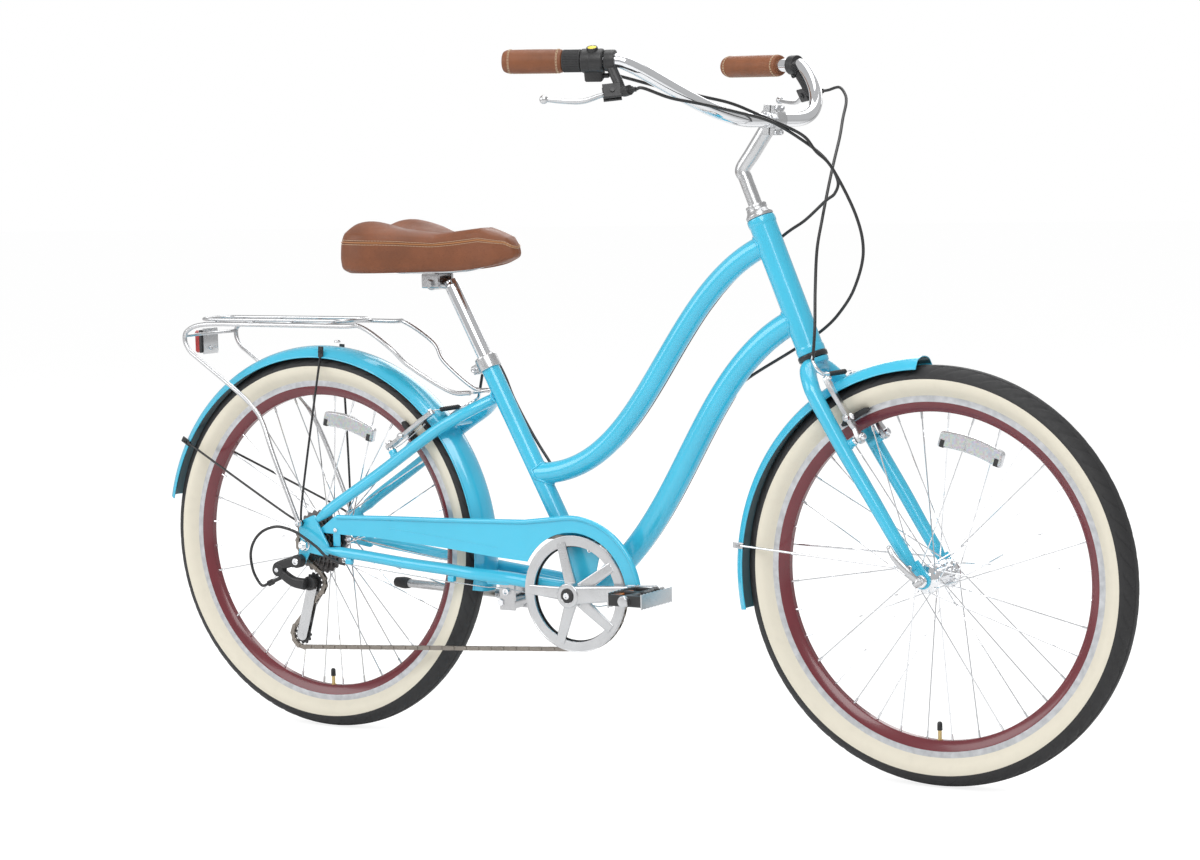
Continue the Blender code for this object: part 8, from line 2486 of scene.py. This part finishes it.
FRONT_CABLE = [(0.872, 0.294, 1.097), (0.890, 0.280, 1.085), (0.901, 0.262, 1.070), (0.911, 0.230, 1.045),
               (0.925, 0.190, 1.014), (0.943, 0.130, 0.969), (0.956, 0.085, 0.930), (0.968, 0.040, 0.883),
               (0.979, 0.000, 0.837), (0.993, -0.035, 0.776), (1.000, -0.052, 0.719)]
REAR_CABLE_HEAD = [(0.8715, -0.262, 1.078), (0.8963, -0.215, 1.0685), (0.9183, -0.145, 1.0556),
                   (0.9380, -0.070, 1.040), (0.962, -0.012, 1.0105), (0.986, 0.020, 0.980),
                   (0.997, 0.040, 0.946), (0.989, 0.045, 0.925), (0.971, 0.047, 0.913), (0.936, 0.043, 0.883),
                   (0.901, 0.034, 0.859)]
REAR_CABLE_TAIL = [(0.446, 0.0245, 0.490), (0.416, 0.0225, 0.535), (0.385, 0.0225, 0.587),
                   (0.366, 0.025, 0.625), (0.346, 0.029, 0.650), (0.322, 0.033, 0.650)]
SHIFT_HEAD = [(0.829, -0.220, 1.096), (0.871, -0.170, 1.081), (0.900, -0.125, 1.069), (0.925, -0.080, 1.050),
              (0.9645, -0.0195, 1.0195), (0.981, -0.0015, 0.992), (1.0017, 0.013, 0.965),
              (1.0252, 0.045, 0.891), (1.030, 0.060, 0.832), (1.014, 0.060, 0.776), (0.990, 0.055, 0.737),
              (0.964, 0.045, 0.709), (0.920, 0.030, 0.678)]
SHIFT_WIRE = [(0.600, 0.000, 0.2590), (0.570, -0.004, 0.2475), (0.540, -0.008, 0.2485),
              (0.394, -0.035, 0.2710), (0.362, -0.044, 0.2730), (0.3050, -0.0495, 0.2780),
              (0.2900, -0.0495, 0.2783), (0.0970, -0.0630, 0.2990), (0.0850, -0.0630, 0.2990)]
SHIFT_LOOP = [(0.0820, -0.0635, 0.2992), (0.0700, -0.0690, 0.3030), (0.052, -0.0800, 0.315),
              (0.035, -0.0840, 0.331), (0.000, -0.0870, 0.352), (-0.024, -0.0880, 0.360),
              (-0.049, -0.0880, 0.362), (-0.077, -0.0880, 0.353), (-0.097, -0.0880, 0.335),
              (-0.106, -0.0880, 0.311), (-0.103, -0.0870, 0.283), (-0.095, -0.0840, 0.264),
              (-0.0860, -0.0830, 0.2555), (-0.0745, -0.0830, 0.2588)]


@dataclass
class Cables:
    """Both brake cables and the shift cable, whole from control to brake or derailleur."""

    housing: float = 0.0025
    bare: float = 0.0009

    def build(self) -> None:
        """Builds the three cables with their pipes and boots."""
        self.front_brake()
        self.rear_brake()
        self.shift()

    def hose(self, points: Sequence[Sequence[float]]) -> Solid:
        """A housing along a smooth line through points."""
        return wire(points, self.housing, 10, 14)

    @staticmethod
    def bent_pipe(cable: Sequence[Array], bend: list[Array]) -> Solid:
        """The plated pipe over the end of a cable, from just before its last point and round the bend."""
        return wire([cable[-2] * 0.15 + bend[0] * 0.85] + bend, 0.0026, 10, 14)

    def along(self, tube: Sequence[Array], radius: float, near: float, far: float, steps: int) -> list[Array]:
        """Points beside a curved frame tube, on its lower left.

        Args:
            tube: the four points of the tube's cubic.
            radius: of the tube.
            near, far: shares of the cubic.
            steps: how many points.

        Returns:
            The points, each a housing's radius and a slight gap off the tube.
        """
        start, leave, arrive, end = tube
        t = np.linspace(near, far, steps)[:, None]
        u = 1 - t
        line = u ** 3 * start + 3 * u ** 2 * t * leave + 3 * u * t ** 2 * arrive + t ** 3 * end
        slope = 3 * u ** 2 * (leave - start) + 6 * u * t * (arrive - leave) + 3 * t ** 2 * (end - arrive)
        ahead = unit(slope)
        under = np.column_stack([ahead[:, 2], np.zeros(steps), -ahead[:, 0]])
        under = np.where(under[:, 2:3] > 0, -under, under)
        away = unit(under * 0.50 + vec(0.0, 0.87, 0.0))
        return list(line + away * (radius + self.housing + 0.0008))

    def ends(self, boss: Boss, side: float) -> tuple[list[Array], Solid, Solid]:
        """The bent pipe's points over one arm, the ribbed boot between the arms and the bare wire's end.

        Args:
            boss: where the brake is bolted on.
            side: sign of y at the bent pipe.

        Returns:
            The pipe's points, the boot and the wire's end.
        """
        up = vec(*boss.up)
        top = vec(*boss.foot) + vec(*boss.out) * (BOSS_LENGTH + BOSS_GAP + 0.004)
        top = top + up * (BRAKE_ARM_LENGTH + self.housing + 0.0003)
        bend = [vec(top[0], side * y, top[2]) + up * rise
                for y, rise in ((0.057, 0.026), (0.0575, 0.012), (0.051, 0.003), (0.042, 0.0002),
                                (0.030, 0.0))]
        middle = vec(top[0], 0.0, top[2])
        a = np.linspace(-0.027, 0.027, 55)
        ribs = 0.0036 + 0.0006 * np.cos(a / 0.054 * TAU * 9)
        profile = [(0.0010, -0.0272)] + list(zip(ribs, a)) + [(0.0010, 0.0272)]
        boot = lathe(profile, middle, vec(0, 1, 0), 24)
        tail = rod(vec(top[0], side * -0.027, top[2]), vec(top[0], side * -0.046, top[2]), self.bare, 10)
        tail += rod(vec(top[0], side * -0.0425, top[2]), vec(top[0], side * -0.0465, top[2]), 0.0013, 12,
                    0.0003)
        return bend, boot, tail

    def front_brake(self) -> None:
        """The left lever's cable: it turns with the fork and ends over the front arms."""
        out = unit(LEVER_BARREL - LEVER_PIVOT) * vec(1, -1, 1)
        mouth = LEVER_BARREL * vec(1, -1, 1)
        bend, boot, tail = self.ends(FRONT_BOSS, -1.0)
        line = [mouth + out * 0.0003, mouth + out * 0.012] + list(np.array(FRONT_CABLE)) + bend[:1]
        Part.place("front_brake_housing", self.hose(line), "steering", HOUSING, ["front_brake_cable"],
                   angle=60)
        Part.place("front_brake_pipe", self.bent_pipe(line, bend), "steering", CHROME, angle=60)
        Part.place("front_brake_boot", boot, "steering", RUBBER, angle=40)
        Part.place("front_brake_wire", tail, "steering", CHROME)

    def rear_brake(self) -> None:
        """The right lever's cable: round the head, under the top tube, up to the rear arms and over them."""
        out = unit(LEVER_BARREL - LEVER_PIVOT)
        run = self.along(TOP_TUBE, 0.018, 0.14, 0.95, 12)
        mouth = LEVER_BARREL
        head = [mouth + out * 0.0003, mouth + out * 0.012] + list(np.array(REAR_CABLE_HEAD)) + run[:2]
        made = Part.free("rear_brake_front_run", self.hose(head), HOUSING, ["rear_brake_cable"], angle=60)
        Part.world(vec(*REAR_CABLE_HEAD[3]))
        Part.world(vec(*REAR_CABLE_HEAD[9]))
        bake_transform(made)
        bend, boot, tail = self.ends(REAR_BOSS, 1.0)
        back = run[1:] + list(np.array(REAR_CABLE_TAIL)) + bend[:1]
        Part.place("rear_brake_housing", self.hose(back), "frame", HOUSING, angle=60)
        Part.place("rear_brake_pipe", self.bent_pipe(back, bend), "frame", CHROME, angle=60)
        Part.place("rear_brake_boot", boot, "frame", RUBBER, angle=40)
        Part.place("rear_brake_wire", tail, "frame", CHROME)

    def shift(self) -> None:
        """The shifter's cable: housing down the tube, bare wire under the frame, and the rear loop."""
        run = self.along(DOWN_TUBE, 0.020, 0.26, 0.90, 11)
        mouth = on_bar(SHIFTER_START + SHIFTER_LENGTH / 2) + under_shifter() * 0.0240 + BAR_FORWARD * 0.0223
        head = [mouth, mouth + BAR_FORWARD * 0.012] + list(np.array(SHIFT_HEAD)) + run[:2]
        made = Part.free("shift_front_run", self.hose(head), HOUSING, ["shift_cable"], angle=60)
        Part.world(vec(*SHIFT_HEAD[4]))
        Part.world(vec(*SHIFT_HEAD[11]))
        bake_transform(made)
        Part.place("shift_tube_run", self.hose(run[1:]), "frame", HOUSING, angle=60)
        bare = [run[-1], run[-1] + vec(-0.012, 0.0, -0.010)] + list(np.array(SHIFT_WIRE))
        Part.place("shift_bare_wire", wire(bare, self.bare, 8, 10), "frame", BRUSHED, angle=60)
        Part.place("shift_loop", self.hose(SHIFT_LOOP), "frame", HOUSING, angle=60)


@dataclass
class Studio:
    """The pale floor, the soft lamps, the world and the camera."""

    focal: float = 2960.9
    eye: tuple[float, float, float] = (3.1494, -4.143, 0.9993)
    yaw: float = 0.5571
    pitch: float = 0.0936
    roll: float = -0.0248
    frame_size: tuple[int, int] = (1200, 860)
    lamp_power: float = 60.0
    sky: float = 0.55

    def build(self) -> None:
        """Sets out the stage."""
        self.floor()
        self.world()
        self.lamps()
        self.camera()
        bpy.context.scene.view_settings.view_transform = "Standard"

    def floor(self) -> None:
        """A wide floor that the camera sees as nearly white, with the bicycle's shadow on it."""
        mesh = bpy.data.meshes.new("floor")
        mesh.from_pydata([(-30, -30, -0.0006), (30, -30, -0.0006), (30, 30, -0.0006), (-30, 30, -0.0006)],
                         [], [(0, 1, 2, 3)])
        floor = bpy.data.objects.new("floor", mesh)
        bpy.context.scene.collection.objects.link(floor)
        n = Nodes("pale_floor")
        n.set(Base_Color=(0.86, 0.86, 0.86), Roughness=0.9, Specular_IOR_Level=0.0)
        glow = n.add("ShaderNodeEmission", Color=(1, 1, 1, 1), Strength=1.31)
        ray = n.add("ShaderNodeLightPath")
        mix = n.add("ShaderNodeMixShader")
        seen = n.math("MAXIMUM", ray.outputs["Is Camera Ray"], ray.outputs["Is Transmission Ray"])
        n.link(n.math("MULTIPLY", seen, 0.62), mix.inputs[0])
        n.link(n.shader.outputs[0], mix.inputs[1])
        n.link(glow.outputs[0], mix.inputs[2])
        n.link(mix.outputs[0], n.tree.nodes["Material Output"].inputs["Surface"])
        mesh.materials.append(n.made)

    def world(self) -> None:
        """A soft grey light from all round that the camera sees as white."""
        world = bpy.data.worlds.new("studio")
        world.use_nodes = True
        tree = world.node_tree
        back = tree.nodes["Background"]
        ray = tree.nodes.new("ShaderNodeLightPath")
        seen = tree.nodes.new("ShaderNodeMath")
        seen.operation = "MAXIMUM"
        tree.links.new(ray.outputs["Is Camera Ray"], seen.inputs[0])
        tree.links.new(ray.outputs["Is Transmission Ray"], seen.inputs[1])
        level = tree.nodes.new("ShaderNodeMapRange")
        level.inputs["To Min"].default_value = self.sky
        level.inputs["To Max"].default_value = 1.0
        tree.links.new(seen.outputs[0], level.inputs["Value"])
        back.inputs["Color"].default_value = (1, 1, 1, 1)
        tree.links.new(level.outputs[0], back.inputs["Strength"])
        bpy.context.scene.world = world

    def lamps(self) -> None:
        """A large key lamp above on the camera's right, a fill on its left and a rim lamp behind."""
        for name, at, size, power in (("key", (1.6, -3.2, 3.4), 2.6, 1.5),
                                      ("fill", (-2.6, -2.8, 2.2), 2.4, 0.8),
                                      ("top", (0.0, 0.6, 4.2), 3.0, 1.1),
                                      ("behind", (-1.0, 3.4, 2.4), 2.2, 0.6)):
            data = bpy.data.lights.new(name, "AREA")
            data.energy = self.lamp_power * power
            data.size = size
            lamp = bpy.data.objects.new(name, data)
            bpy.context.scene.collection.objects.link(lamp)
            turn = basis(unit(np.array(at) - vec(0, 0, 0.5)), (1, 0, 0))
            lamp.matrix_world = self.matrix(turn, np.array(at))

    @staticmethod
    def matrix(turn: Array, place: Array) -> Matrix:
        """A four by four placing matrix from its turning and its place.

        Args:
            turn: three columns.
            place: a point.

        Returns:
            The matrix.
        """
        whole = np.eye(4)
        whole[:3, :3], whole[:3, 3] = turn, place
        return Matrix(whole.tolist())

    def camera(self) -> None:
        """The camera at the photograph's place and angle: right, up and backward are its axes."""
        look = vec(-math.sin(self.yaw) * math.cos(self.pitch), math.cos(self.yaw) * math.cos(self.pitch),
                   -math.sin(self.pitch))
        right = unit(np.cross(look, vec(0, 0, 1)))
        up = np.cross(right, look)
        c, s = math.cos(self.roll), math.sin(self.roll)
        right, up = c * right + s * up, c * up - s * right
        data = bpy.data.cameras.new("camera")
        data.sensor_width = 36.0
        data.lens = self.focal * 36.0 / self.frame_size[0]
        camera = bpy.data.objects.new("camera", data)
        bpy.context.scene.collection.objects.link(camera)
        camera.matrix_world = self.matrix(np.column_stack([right, up, -look]), Part.world(np.array(self.eye)))
        bpy.context.scene.camera = camera


def main() -> None:
    """Builds every sub-assembly in order."""
    logging.basicConfig(level=logging.INFO)
    Studio().build()
    FrameTubes().build()
    Fenders().build()
    ChainGuard().build()
    Fork().build()
    Cockpit().build()
    RimBrake("front", "steering", FRONT_BOSS, 0.0373).build()
    RimBrake("rear", "frame", REAR_BOSS, 0.0340).build()
    Axles().build()
    Crankset().build()
    Pedals().build()
    DriveTrain().build()
    Kickstand().build()
    Seat().build()
    Rack().build()
    Cables().build()
    Wheel(Turn.FRONT, FRONT_AXLE, FRONT_TYRE, FRONT_RIM, (-0.0375, 0.0375), (-0.0465, 0.0465), 16.7).build()
    Wheel(Turn.REAR, REAR_AXLE, REAR_TYRE, REAR_RIM, (-0.0135, 0.0345), (-0.0172, 0.0575), 14.8).build()


if __name__ == "__main__":
    main()
